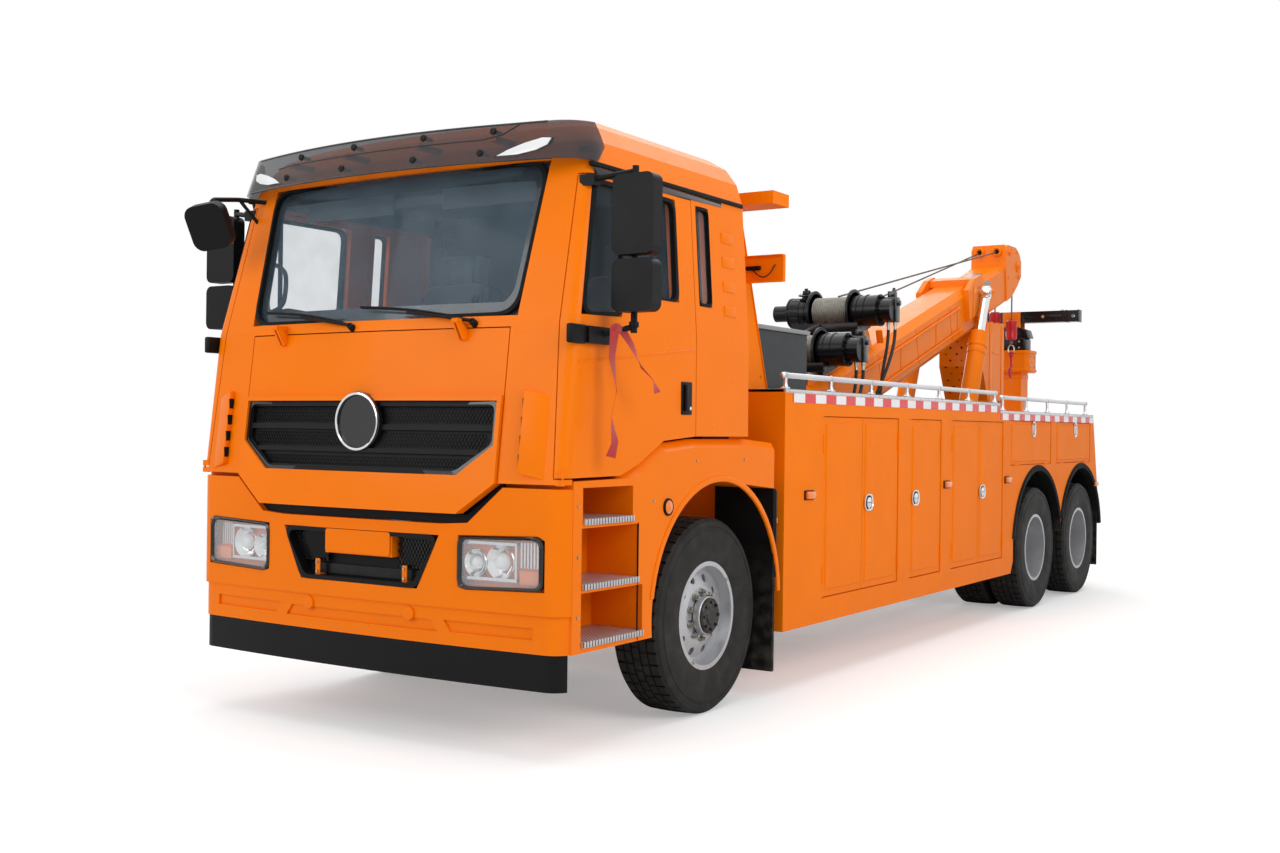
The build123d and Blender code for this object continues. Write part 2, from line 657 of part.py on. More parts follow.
def bumper_layer(inset, z_low, z_high):
    """The bumper's plan form between two heights, moved inwards by an inset."""
    face = bowed_outline(BUMPER_NOSE, CAB_HALF + 5, BUMPER_BACK + 300, 110, BUMPER_BOW, inset)
    layer = extrude(Plane.XY.offset(z_low) * face, amount=z_high - z_low)
    return layer - block((-1300, 1300), (BUMPER_BACK, 0), (z_low - 1, z_high + 1))


def bumper():
    """The painted bumper, with its intake, plate panel and lamp recesses."""
    shell = bumper_layer(0, BUMPER_LOW, BUMPER_TOP) & cross_slab(BUMPER_FACE, -1600, -1390)
    shell = shell - (bumper_layer(-4, BUMPER_LOW - 1, SKIRT_TOP) - bumper_layer(SKIRT_INSET, BUMPER_LOW - 1, SKIRT_TOP))
    band = bumper_layer(SKIRT_INSET - 2, 560, 640) - bumper_layer(SKIRT_INSET + 12, 560, 640)
    for groove in (CENTRE_GROOVE, SIDE_GROOVE, [(-x, z) for x, z in SIDE_GROOVE]):
        shell = shell - (band & cross_slab(groove, -1600, -1390))
    shell = shell - cross_slab(INTAKE, -1600, -1430)
    shell = shell - both(cross_slab(LAMP, -1600, -1440))
    plate = bumper_layer(8, 912, 1041) & block((-230, 230), (-1600, -1425), (912, 1041))
    arms = both(block((RAIL_OUTER_X - RAIL_FLANGE, RAIL_OUTER_X), (-1401, RAIL_FRONT), (750, 950)))
    return joined([shell, plate, arms])


def bumper_insert():
    """The black insert in the intake: a backing plate with a grid of ribs."""
    back = cross_slab(INTAKE, -1450, -1430) - block((-240, 240), (-1600, -1400), (905, 1045))
    return back


def lamps():
    """Headlamps in the bumper and tail lamps on the body's end."""
    head = front_cut(LAMP, -SEAT, -1600, -1440 - SEAT) & bumper_layer(4, 700, 1100)
    tail = block((BODY_HALF - 330, BODY_HALF - 60), (BODY_TAIL, BODY_TAIL + 45), (930, 1040))
    return [head, mirrored(head), tail, mirrored(tail)]


def bumper_lip():
    """The black lip under the bumper, and the black insert in its intake."""
    lip = bumper_layer(SKIRT_INSET + 6, LIP_LOW, BUMPER_LOW)
    return lip - block((-1100, 1100), (-1425, -1300), (300, 480))


FENDER_TOP = [(300, 1514), (-285, 1514), (-604, 1491), (-837, 1376), (-1000, 1321), (FENDER_FRONT, 1316)]
STEPS = [  # tread height, front and rear Y, recess top
    (1135, -1323, -895, 1285),
    (830, -1330, -843, 1095),
    (560, -1330, -800, 790),
]
MUDGUARD_END = 660


def fender():
    """The left step box and the arch over the front wheel, with the liner inside it."""
    arch_face = make_face([
        Line((FENDER_FRONT, BUMPER_LOW), (-706, BUMPER_LOW + 1)),
        ThreePointArc((-706, BUMPER_LOW + 1), (-509, 1082), (ARCH_Y, ARCH_Z + ARCH_RADIUS)),
        Line((ARCH_Y, ARCH_Z + ARCH_RADIUS), (MUDGUARD_END, 1221)),
        Line((MUDGUARD_END, 1221), (MUDGUARD_END, 1490)),
        Line((MUDGUARD_END, 1490), FENDER_TOP[0]),
        *[Line(a, b) for a, b in zip(FENDER_TOP, FENDER_TOP[1:])],
        Line(FENDER_TOP[-1], (FENDER_FRONT, BUMPER_LOW)),
    ])
    skin = extrude(Plane.YZ.offset(FENDER_X - 70) * arch_face, amount=70)
    crown = [edge for edge in skin.faces().sort_by(Axis.X)[-1].edges()
             if edge.center().Z > 1330 or (edge.center().Y > 400 and edge.center().Z > 1250)]
    skin = chamfer(crown, 45)
    step = extrude(Plane.YZ.offset(STEP_INNER_X) * arch_face, amount=FENDER_X - 60 - STEP_INNER_X)
    front = step & block((0, 1300), (-1500, -700), (400, 1321))
    liner = step & block((0, 1300), (-700, 700), (400, 1400))
    void = extrude(Plane.YZ.offset(STEP_INNER_X - 1) * offset(arch_face, -18), amount=500)
    liner = liner - void
    box = joined([skin, front, liner])
    for tread, y_low, y_high, top in STEPS:
        box = box - block((STEP_INNER_X + 90, 1300), (y_low, y_high), (tread - 25, top))
    return box


def step_treads():
    """The bright perforated treads in the step box."""
    return [block((STEP_INNER_X + 90, FENDER_X + 12), (y_low + 2, y_high - 2), (tread - 25, tread))
            for tread, y_low, y_high, top in STEPS]


DECK_RAILS = [  # front Y, rear Y, tube height, foot height
    (BODY_FRONT + 12, BODY_STEP_Y - 60, 1895, BODY_TOP),
    (BODY_STEP_Y + 90, BODY_REAR - 200, 1865, BODY_TOP_REAR),
]
RAIL_TUBE = 17


def deck_rails():
    """The bright tube rails along the body's left edge, on short posts."""
    x = BODY_HALF - 22
    pieces = []
    for y_low, y_high, z, foot in DECK_RAILS:
        tube = rod_y(RAIL_TUBE, y_low, y_high, x, z)
        count = round((y_high - y_low) / 650)
        pitch = (y_high - y_low - 60) / count
        posts = [rod_z(12, foot, z, x, y_low + 30 + n * pitch) for n in range(count + 1)]
        pieces.append(joined([tube, *posts]))
    return pieces


def write_front():
    """Bumper, lip, lamps, fenders and bright trim."""
    write("bumper", bumper())
    write("bumper_lip", bumper_lip(), bumper_insert())
    write("lamps", *lamps())
    left = fender()
    write("fenders", left, mirrored(left))
    trim = step_treads() + deck_rails()
    write("bright_trim", *trim, *[mirrored(piece) for piece in trim])
    front_flap = block((STEP_INNER_X, FENDER_X - 5), (MUDGUARD_END - 40, MUDGUARD_END - 14), (150, 1227))
    rear_flap = block((BODY_INNER, FENDER_X - 5), (BODY_TAIL, BODY_TAIL + 14), (230, 900))
    flaps = [front_flap - fender_under(), rear_flap]
    write("mud_flaps", *flaps, *[mirrored(flap) for flap in flaps])


def fender_under():
    """The space of the fender's rear end, which the mud flap's top edge follows."""
    slope = [(ARCH_Y, ARCH_Z + ARCH_RADIUS), (MUDGUARD_END, 1221), (MUDGUARD_END, 1500), (ARCH_Y, 1500)]
    return side_slab(slope, STEP_INNER_X - 10, FENDER_X + 10)


# Deck body, lockers and gantry

# name, front Y, rear Y, low Z, high Z, hinge edge
LOCKERS = [
    ("locker_door_1", 1285, 1895, 520, 1655, "front"),
    ("locker_door_2", 1895, 2505, 520, 1655, "rear"),
    ("locker_door_3", 2730, 3340, 520, 1655, "rear"),
    ("locker_door_4", 3565, 4175, 520, 1655, "front"),
    ("locker_door_5", 4175, 4785, 520, 1655, "rear"),
    ("locker_flap_1", WHEELBASE - 785, WHEELBASE + 385, 1290, 1670, "low"),
    ("locker_flap_2", WHEELBASE + 555, WHEELBASE + 1725, 1290, 1670, "low"),
]
# Cavities behind the leaves: front Y, rear Y, low Z, high Z
CELLS = [
    (1285, 2505, 520, 1655),
    (2730, 3340, 520, 1655),
    (3565, 4785, 520, 1655),
    (WHEELBASE - 785, WHEELBASE + 385, 1290, 1670),
    (WHEELBASE + 555, WHEELBASE + 1725, 1290, 1670),
]


def body_side():
    """The left side of the deck body: a box with wheel arches and open lockers."""
    outline = [
        (BODY_FRONT, BODY_LOW), (SKIRT_END, BODY_LOW), (SKIRT_END + 60, 470), (SKIRT_END + 60, ARCH_FLAT_Z),
        (BODY_TAIL, ARCH_FLAT_Z), (BODY_TAIL, 980), (BODY_REAR, BODY_TOP_REAR),
        (BODY_STEP_Y, BODY_TOP_REAR), (BODY_STEP_Y, BODY_TOP), (BODY_FRONT, BODY_TOP),
    ]
    side = side_slab(outline, BODY_INNER, BODY_HALF)
    for y in (WHEELBASE, WHEELBASE + REAR_AXLE_GAP):
        side = side - rod_x(REAR_ARCH_RADIUS, BODY_INNER - 300, BODY_HALF + 10, y, REAR_ARCH_Z)
    for y_low, y_high, z_low, z_high in CELLS:
        lip = LOCKER_LIP
        face = block((BODY_HALF - LEAF_THICK - SEAT, BODY_HALF + 10),
                     (y_low - PANEL_GAP / 2, y_high + PANEL_GAP / 2),
                     (z_low - PANEL_GAP / 2, z_high + PANEL_GAP / 2))
        cell = block((BODY_HALF - LEAF_THICK - LOCKER_DEPTH, BODY_HALF), (y_low + lip, y_high - lip),
                     (z_low + lip, z_high - lip))
        side = side - face - cell
    return side


def deck_body():
    """The whole deck body: two sides joined by the deck plate, with a well for the boom."""
    side = body_side()
    front_deck = block((-BODY_INNER, BODY_INNER), (BODY_FRONT, WELL_FRONT), (BODY_TOP - DECK_THICK, BODY_TOP))
    drop = BODY_STEP_Y - DECK_THICK
    walk = side_slab([(WELL_FRONT - 1, BODY_TOP - DECK_THICK), (drop, BODY_TOP - DECK_THICK),
                      (drop, BODY_TOP_REAR - DECK_THICK), (BODY_REAR, BODY_TOP_REAR - DECK_THICK),
                      (BODY_REAR, BODY_TOP_REAR), (BODY_STEP_Y, BODY_TOP_REAR),
                      (BODY_STEP_Y, BODY_TOP), (WELL_FRONT - 1, BODY_TOP)],
                     WELL_HALF, BODY_INNER)
    beams = [block((-BODY_INNER, BODY_INNER), (y, y + 120), (RAIL_HIGH, RAIL_HIGH + 140))
             for y in (BODY_FRONT + 40, 2700)]
    ties = [both(block((RAIL_OUTER_X, BODY_INNER + 5), (y, y + 60), (z, RAIL_HIGH + 40)))
            for y, z in ((BODY_STEP_Y + 150, 900), (WHEELBASE + 670, 900), (BODY_TAIL - 65, 960))]
    bulkhead = block((-BODY_INNER, BODY_INNER), (BODY_FRONT, BODY_FRONT + 12), (RAIL_HIGH, BODY_TOP))
    return joined([both(side), front_deck, both(walk), *beams, *ties, bulkhead])


def leaf(y_low, y_high, z_low, z_high, margin):
    """A locker leaf with a raised inner panel on its outer face."""
    gap = PANEL_GAP / 2
    face = block((BODY_HALF - LEAF_THICK, BODY_HALF - 6), (y_low + gap, y_high - gap), (z_low + gap, z_high - gap))
    raised = block((BODY_HALF - 6, BODY_HALF), (y_low + margin, y_high - margin), (z_low + margin, z_high - margin))
    raised = chamfer(raised.faces().sort_by(Axis.X)[-1].edges(), 5)
    return face + raised


def write_body():
    """Deck body, locker leaves, gantry and oil tank."""
    write("deck_body", deck_body())
    for name, y_low, y_high, z_low, z_high, _ in LOCKERS:
        margin = 45 if z_low < 1000 else 28
        write_pair(name, leaf(y_low, y_high, z_low, z_high, margin))
    write("gantry", gantry())
    write("oil_tank", oil_tank())


GANTRY_POST = [(BODY_FRONT + 12, BODY_TOP), (1094, BODY_TOP), (1094, 1811), (715, 2890), (560, 2890), (560, 1900)]


def gantry():
    """The frame behind the cab: two tapered posts, a tray on top and a cross panel."""
    posts = both(side_slab(GANTRY_POST, 860, 940))
    tray = block((-BODY_HALF, BODY_HALF), (560, 765), (2890, 2965))
    tray = tray - block((-BODY_HALF + 15, BODY_HALF - 15), (575, 750), (2905, 2975))
    panel = block((-BODY_HALF, BODY_HALF), (700, 730), (2450, 2606))
    return joined([posts, tray, panel])


def oil_tank():
    """The dark oil tank on the deck behind the cab, with its lid's flange."""
    main = block((-700, 700), (1150, 2156), (BODY_TOP, 2235))
    lid = block((-715, 715), (1135, 2171), (2235, 2259))
    return main + lid


# Boom, winches and cylinders

BOOM_DIR = (0, cos(radians(BOOM_ANGLE)), sin(radians(BOOM_ANGLE)))
BOOM_SIDE = Plane(origin=(0, *BOOM_PIVOT), x_dir=BOOM_DIR, z_dir=(1, 0, 0))
BOOM_CROSS = Plane(origin=(0, *BOOM_PIVOT), x_dir=(1, 0, 0), z_dir=BOOM_DIR)


def boom_slab(points, x_low, x_high):
    """A flat piece from an outline along and above the boom's own axis."""
    face = BOOM_SIDE.offset(x_low) * Polygon(*points, align=None)
    return extrude(face, amount=x_high - x_low, dir=(1, 0, 0))


def boom_box(width, height, start, end, cut):
    """A box section along the boom with its four edges cut off."""
    face = chamfer(Rectangle(width, height).vertices(), cut)
    return extrude(BOOM_CROSS.offset(start) * face, amount=end - start)


def boom_point(y, z):
    """A place in Y and Z as distances along and above the boom's axis."""
    rise = radians(BOOM_ANGLE)
    run, up = y - BOOM_PIVOT[0], z - BOOM_PIVOT[1]
    return run * cos(rise) + up * sin(rise), up * cos(rise) - run * sin(rise)


def boom():
    """The outer boom: box section, pivot shaft, cylinder saddle and mouth pads."""
    inner_width = BOOM_WIDTH - 2 * BOOM_WALL
    inner_height = BOOM_HEIGHT - 2 * BOOM_WALL
    tube = boom_box(BOOM_WIDTH, BOOM_HEIGHT, -160, BOOM_LENGTH, BOOM_CHAMFER)
    hollow = boom_box(inner_width, inner_height, 500, BOOM_LENGTH + 10, BOOM_CHAMFER - 12)
    shaft = rod_x(PIVOT_RADIUS, -RAIL_OUTER_X - 10, RAIL_OUTER_X + 10, *BOOM_PIVOT)
    mouth = boom_box(BOOM_WIDTH + 50, BOOM_HEIGHT + 50, BOOM_LENGTH - 260, BOOM_LENGTH, BOOM_CHAMFER + 8)
    mouth = mouth - boom_box(inner_width, inner_height, BOOM_LENGTH - 300, BOOM_LENGTH + 10, BOOM_CHAMFER - 12)
    pads = boom_box(inner_width, inner_height, BOOM_LENGTH - 120, BOOM_LENGTH, BOOM_CHAMFER - 12)
    pads = pads - boom_box(EXTENSION_WIDTH + 2 * SEAT, EXTENSION_HEIGHT + 2 * SEAT,
                           BOOM_LENGTH - 200, BOOM_LENGTH + 10, BOOM_CHAMFER - 25)
    eye_s, eye_h = boom_point(*CYLINDER_EYE)
    half = BOOM_HEIGHT / 2
    side = [(eye_s - 380, -60), (eye_s + 170, -60), (eye_s + 150, half), (eye_s + 60, half + 70),
            (eye_s - 120, half + 70), (eye_s - 330, half)]
    saddle = both(boom_slab(side, BOOM_WIDTH / 2 - 1, SADDLE_X))
    bridge = boom_slab([(eye_s - 110, half - 5), (eye_s + 60, half - 5), (eye_s + 40, half + 60),
                        (eye_s - 90, half + 60)], -SADDLE_X, SADDLE_X)
    return joined([tube - hollow, shaft, mouth, pads, saddle, bridge])


def boom_bed():
    """The winch bed on the boom's root: two rails and a raised stand for the rear winch."""
    half = BOOM_HEIGHT / 2
    front, rear = [boom_point(*place) for place in WINCH_PLACES]
    low = front[1] - WINCH_FLANGE - 20
    high = rear[1] - WINCH_FLANGE - 20
    rail = boom_slab([(front[0] - 260, half), (rear[0] + 280, half), (rear[0] + 220, high),
                      (rear[0] - 200, high), (rear[0] - 260, low), (front[0] - 240, low)], 150, 180)
    return both(rail)


def winches():
    """Two winches: drum, flanges, gear case and motor, feet and cross ties."""
    pieces = []
    for y, z in WINCH_PLACES:
        s, h = boom_point(y, z)
        drum = rod_x(DRUM_RADIUS, -190, 190, y, z)
        flanges = both(rod_x(WINCH_FLANGE, 170, 190, y, z))
        gear = rod_x(130, 190, 420, y, z) + rod_x(95, 420, 530, y, z)
        motor = rod_x(125, -400, -190, y, z) + rod_x(70, -555, -400, y, z)
        feet = both(boom_slab([(s - 150, h - WINCH_FLANGE - 20), (s + 150, h - WINCH_FLANGE - 20),
                               (s + 90, h), (s - 90, h)], 192, 240))
        base = boom_slab([(s - 150, h - WINCH_FLANGE - 20), (s + 150, h - WINCH_FLANGE - 20),
                          (s + 150, h - WINCH_FLANGE - 5), (s - 150, h - WINCH_FLANGE - 5)], -240, 240)
        pieces.append(joined([drum, flanges, gear, motor, feet, base]))
    return pieces


def from_sheave(points):
    """An outline in Y and Z from distances behind and above the head sheave's centre."""
    return [(SHEAVE_Y + y, SHEAVE_Z + z) for y, z in points]


def extension():
    """The telescoping inner boom with its head."""
    tube = boom_box(EXTENSION_WIDTH, EXTENSION_HEIGHT, EXTENSION_START, EXTENSION_END, BOOM_CHAMFER - 25)
    hollow = boom_box(EXTENSION_WIDTH - 30, EXTENSION_HEIGHT - 30, EXTENSION_START - 10,
                      EXTENSION_END - 15, BOOM_CHAMFER - 32)
    head = [(-385, -114), (-385, 150), (-340, 202), (-60, 202), (60, 150), (130, 60), (130, -98),
            (10, -208), (-190, -348), (-355, -408)]
    inner = HEAD_HALF - HEAD_PLATE
    cheeks = both(side_slab(from_sheave(head), inner, HEAD_HALF))
    plate_y = SHEAVE_Y - 385
    front = block((-inner - 1, inner + 1), (plate_y, plate_y + 20), (SHEAVE_Z - 114, SHEAVE_Z + 202))
    for x in (-SHEAVE_X, SHEAVE_X):
        hole_z = SHEAVE_Z + SHEAVE_RADIUS
        front = front + rod_y(52, plate_y - 30, plate_y + 5, x, hole_z)
        front = front - rod_y(26, plate_y - 60, plate_y + 60, x, hole_z)
    web = side_slab(from_sheave([(-364, -248), (-190, -288), (-130, -228), (-364, -108)]), -inner - 1, inner + 1)
    neck = side_slab(from_sheave([(-530, -298), (-385, -298), (-385, -98), (-430, -48), (-530, -88)]),
                     -EXTENSION_WIDTH / 2, EXTENSION_WIDTH / 2)
    bores = rod_x(30 + SEAT, -HEAD_HALF - 10, HEAD_HALF + 10, SHEAVE_Y, SHEAVE_Z)
    return joined([tube - hollow, cheeks, front, web, neck]) - bores


def sheaves():
    """The two head sheaves on their axle, with the guide plates between and beside them."""
    axle = rod_x(30, -HEAD_HALF - 15, HEAD_HALF + 15, SHEAVE_Y, SHEAVE_Z)
    wheels = []
    for x in (-SHEAVE_X, SHEAVE_X):
        groove = [(x - 30, SHEAVE_RADIUS + 18), (x - 30, 29), (x + 30, 29), (x + 30, SHEAVE_RADIUS + 18),
                  (x + 20, SHEAVE_RADIUS + 18), (x + 8, SHEAVE_RADIUS - 8), (x - 8, SHEAVE_RADIUS - 8),
                  (x - 20, SHEAVE_RADIUS + 18)]
        wheels.append(Pos(0, SHEAVE_Y, SHEAVE_Z) * turned(groove))
    guide = side_slab([(SHEAVE_Y - 60, SHEAVE_Z - 60), (SHEAVE_Y + 60, SHEAVE_Z - 60),
                       (SHEAVE_Y + 60, SHEAVE_Z + 60), (SHEAVE_Y - 60, SHEAVE_Z + 60)], -50, 50)
    return joined([axle, *wheels, guide])


def cylinder_dir():
    """The lift cylinder's direction from foot to eye, as Y and Z, and its length."""
    run = CYLINDER_EYE[0] - CYLINDER_FOOT[0]
    rise = CYLINDER_EYE[1] - CYLINDER_FOOT[1]
    length = hypot(run, rise)
    return run / length, rise / length, length


def on_cylinder(distance):
    """A point at a distance from the foot along the left cylinder's axis."""
    run, rise, _ = cylinder_dir()
    return (CYLINDER_X, CYLINDER_FOOT[0] + run * distance, CYLINDER_FOOT[1] + rise * distance)


def barrel():
    """The left lift cylinder's barrel with its foot eye and gland."""
    eye = rod_x(EYE_RADIUS, CYLINDER_X - EYE_WIDTH / 2, CYLINDER_X + EYE_WIDTH / 2 - 15, *CYLINDER_FOOT)
    tube = rod_between(BARREL_RADIUS, on_cylinder(150), on_cylinder(BARREL_LENGTH))
    neck = rod_between(55, on_cylinder(20), on_cylinder(160))
    neck = neck & block((CYLINDER_X - EYE_WIDTH / 2, CYLINDER_X + EYE_WIDTH / 2 - 15),
                        (CYLINDER_FOOT[0] - 500, CYLINDER_EYE[0] + 500), (0, 4000))
    bore = rod_between(ROD_RADIUS + SEAT, on_cylinder(180), on_cylinder(BARREL_LENGTH + 10))
    pin = rod_x(CYLINDER_PIN + SEAT, 0, 600, *CYLINDER_FOOT)
    return eye + (neck + tube) - bore - pin


def rod():
    """The left lift cylinder's rod with its upper eye and the pin's end at the saddle."""
    _, _, length = cylinder_dir()
    bar = rod_between(ROD_RADIUS, on_cylinder(195), on_cylinder(length - 40))
    eye = rod_x(EYE_RADIUS - 5, CYLINDER_X - EYE_WIDTH / 2, CYLINDER_X + EYE_WIDTH / 2, *CYLINDER_EYE)
    cap = rod_x(45, SADDLE_X + SEAT, CYLINDER_X + EYE_WIDTH / 2 + 14, *CYLINDER_EYE)
    bar = bar & block((CYLINDER_X - ROD_RADIUS, CYLINDER_X + ROD_RADIUS),
                      (CYLINDER_FOOT[0] - 500, CYLINDER_EYE[0] + 500), (0, CYLINDER_EYE[1] - 60))
    return joined([bar, eye, cap])


def write_boom():
    """Boom, winches, extension, sheaves and lift cylinders."""
    write("boom", boom() + boom_bed())
    write("winches", *winches())
    write("boom_extension", extension())
    write("sheave_blocks", sheaves())
    write("lift_barrels", barrel(), mirrored(barrel()))
    write("lift_rods", rod(), mirrored(rod()))


# Underlift

MAST = [(MAST_FRONT, MAST_LOW), (MAST_REAR, MAST_LOW), (MAST_REAR, MAST_TOP), (MAST_FRONT + 10, 2712),
        (MAST_FRONT - 90, 2640), (MAST_FRONT - 190, 2590), (MAST_FRONT - 190, 2250), (MAST_FRONT, 1900)]
REST_PAD = [(MAST_FRONT + 60, 2720), (MAST_FRONT + 290, 2720), (MAST_FRONT + 290, 2830),
            (MAST_FRONT + 60, 2757)]


def mast():
    """The underlift's column between the rails' ends, with the boom's rest pad on top."""
    column = side_slab(MAST, -MAST_HALF, MAST_HALF)
    pad = side_slab(REST_PAD, -120, 120)
    feet = both(block((MAST_HALF - 1, RAIL_OUTER_X - RAIL_FLANGE), (MAST_FRONT + 60, MAST_FRONT + 300),
                      (MAST_LOW, RAIL_LOW + 200)))
    return joined([column, pad, feet])


CARRIAGE = [(MAST_REAR + SEAT, 680), (MAST_REAR + 70, 680), (MAST_REAR + 70, 1350), (MAST_REAR + SEAT, 1420)]
LIFT_ARM = [(MAST_REAR + 60, 700), (FOLD_Y - 235, 700), (FOLD_Y - 175, 760), (FOLD_Y - 175, 940),
            (FOLD_Y - 335, 1000), (MAST_REAR + 60, 1000)]
YOKE = [(FOLD_Y - 285, 740), (FOLD_Y + 25, 740), (FOLD_Y + 85, 800), (FOLD_Y + 85, 900), (FOLD_Y + 25, 960),
        (FOLD_Y - 285, 960)]
CHEEK = (ARM_HALF + RUN_GAP, ARM_HALF + RUN_GAP + 35)


def slide():
    """The carriage on the mast with its horizontal arm and the yoke of the fold."""
    plate = side_slab(CARRIAGE, -MAST_HALF - 30, MAST_HALF + 30)
    cheek = both(side_slab([(MAST_REAR - 180, 700), (MAST_REAR + 70, 700), (MAST_REAR + 70, 1350),
                            (MAST_REAR - 180, 1250)], MAST_HALF + SEAT, MAST_HALF + 30))
    arm = side_slab(LIFT_ARM, -110, 110)
    yoke = both(side_slab(YOKE, *CHEEK))
    root = block((-CHEEK[1], CHEEK[1]), (FOLD_Y - 375, FOLD_Y - 235), (740, 960))
    pin = rod_x(FOLD_PIN, -CHEEK[1] - 10, CHEEK[1] + 10, FOLD_Y, FOLD_Z)
    return joined([plate, cheek, arm, yoke, root, pin])


def folding_arm():
    """The folded arm: tube, eye, collar and the dark head that holds the crossbar."""
    y_low, y_high = FOLD_Y - 120, FOLD_Y + 120
    tube = block((-ARM_HALF, ARM_HALF), (y_low, y_high), (FOLD_Z, 2260))
    eye = rod_x(110, -ARM_HALF, ARM_HALF, FOLD_Y, FOLD_Z)
    collar = block((-220, 220), (FOLD_Y - 160, FOLD_Y + 160), (2250, 2500))
    collar = chamfer(collar.edges().filter_by(Axis.Z), 40)
    head = block((-150, 150), (FOLD_Y - 95, FOLD_Y + 95), (2490, 2735))
    half = CROSSBAR_SIZE / 2
    forks = [block((-100, 100), y, (2700, 2935))
             for y in ((FOLD_Y - half - RUN_GAP - 20, FOLD_Y - half - RUN_GAP),
                       (FOLD_Y + half + RUN_GAP, FOLD_Y + half + RUN_GAP + 20))]
    pin = rod_y(SWIVEL_PIN, FOLD_Y - half - RUN_GAP - 25, FOLD_Y + half + RUN_GAP + 25, 0, CROSSBAR_Z)
    arm = joined([tube, eye, collar, head, *forks, pin])
    return arm - rod_x(FOLD_PIN + SEAT, -300, 300, FOLD_Y, FOLD_Z)


def crossbar():
    """The square crossbar with a fork socket at each end."""
    half = CROSSBAR_SIZE / 2
    z = (CROSSBAR_Z - half, CROSSBAR_Z + half)
    socket = 120
    bar = block((-CROSSBAR_HALF + socket, CROSSBAR_HALF - socket), (FOLD_Y - half, FOLD_Y + half), z)
    bar = bar - rod_y(SWIVEL_PIN + SEAT, FOLD_Y - half - 5, FOLD_Y + half + 5, 0, CROSSBAR_Z)
    end = block((CROSSBAR_HALF - socket + SEAT, CROSSBAR_HALF), (FOLD_Y - half, FOLD_Y + half), z)
    end = end - rod_y(END_BORE, FOLD_Y - half - 5, FOLD_Y + half + 5, CROSSBAR_HALF - socket / 2, CROSSBAR_Z)
    return [bar, end, mirrored(end)]


def write_underlift():
    """Mast, carriage, folding arm and crossbar."""
    write("underlift_mast", mast())
    write("underlift_slide", slide())
    write("underlift_arm", folding_arm())
    write("crossbar", *crossbar())


def write_cab_fittings():
    """Interior, visor and mirrors."""
    outer = cab_form(0)
    write("cab_interior", cab_interior())
    write("sun_visor", sun_visor(outer))
    write_pair("mirror", mirror_set(outer))
    write("kerb_mirror", kerb_mirror(outer))


write_wheels()
write_running_gear()
write_cab()
write_cab_fittings()
write_front()
write_body()
write_boom()
write_underlift()
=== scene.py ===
"""A heavy tow truck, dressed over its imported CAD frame.

Lengths are metres. Places are given from the middle of the front axle on the ground, as the
part's source gives them, and `at` moves them to the frame: +X is the vehicle's left, +Y its rear.
"""

import json
import logging
from collections.abc import Callable, Iterable, Sequence
from dataclasses import dataclass, field
from enum import Enum
from math import atan2, cos, hypot, pi, radians, sin, sqrt, tau

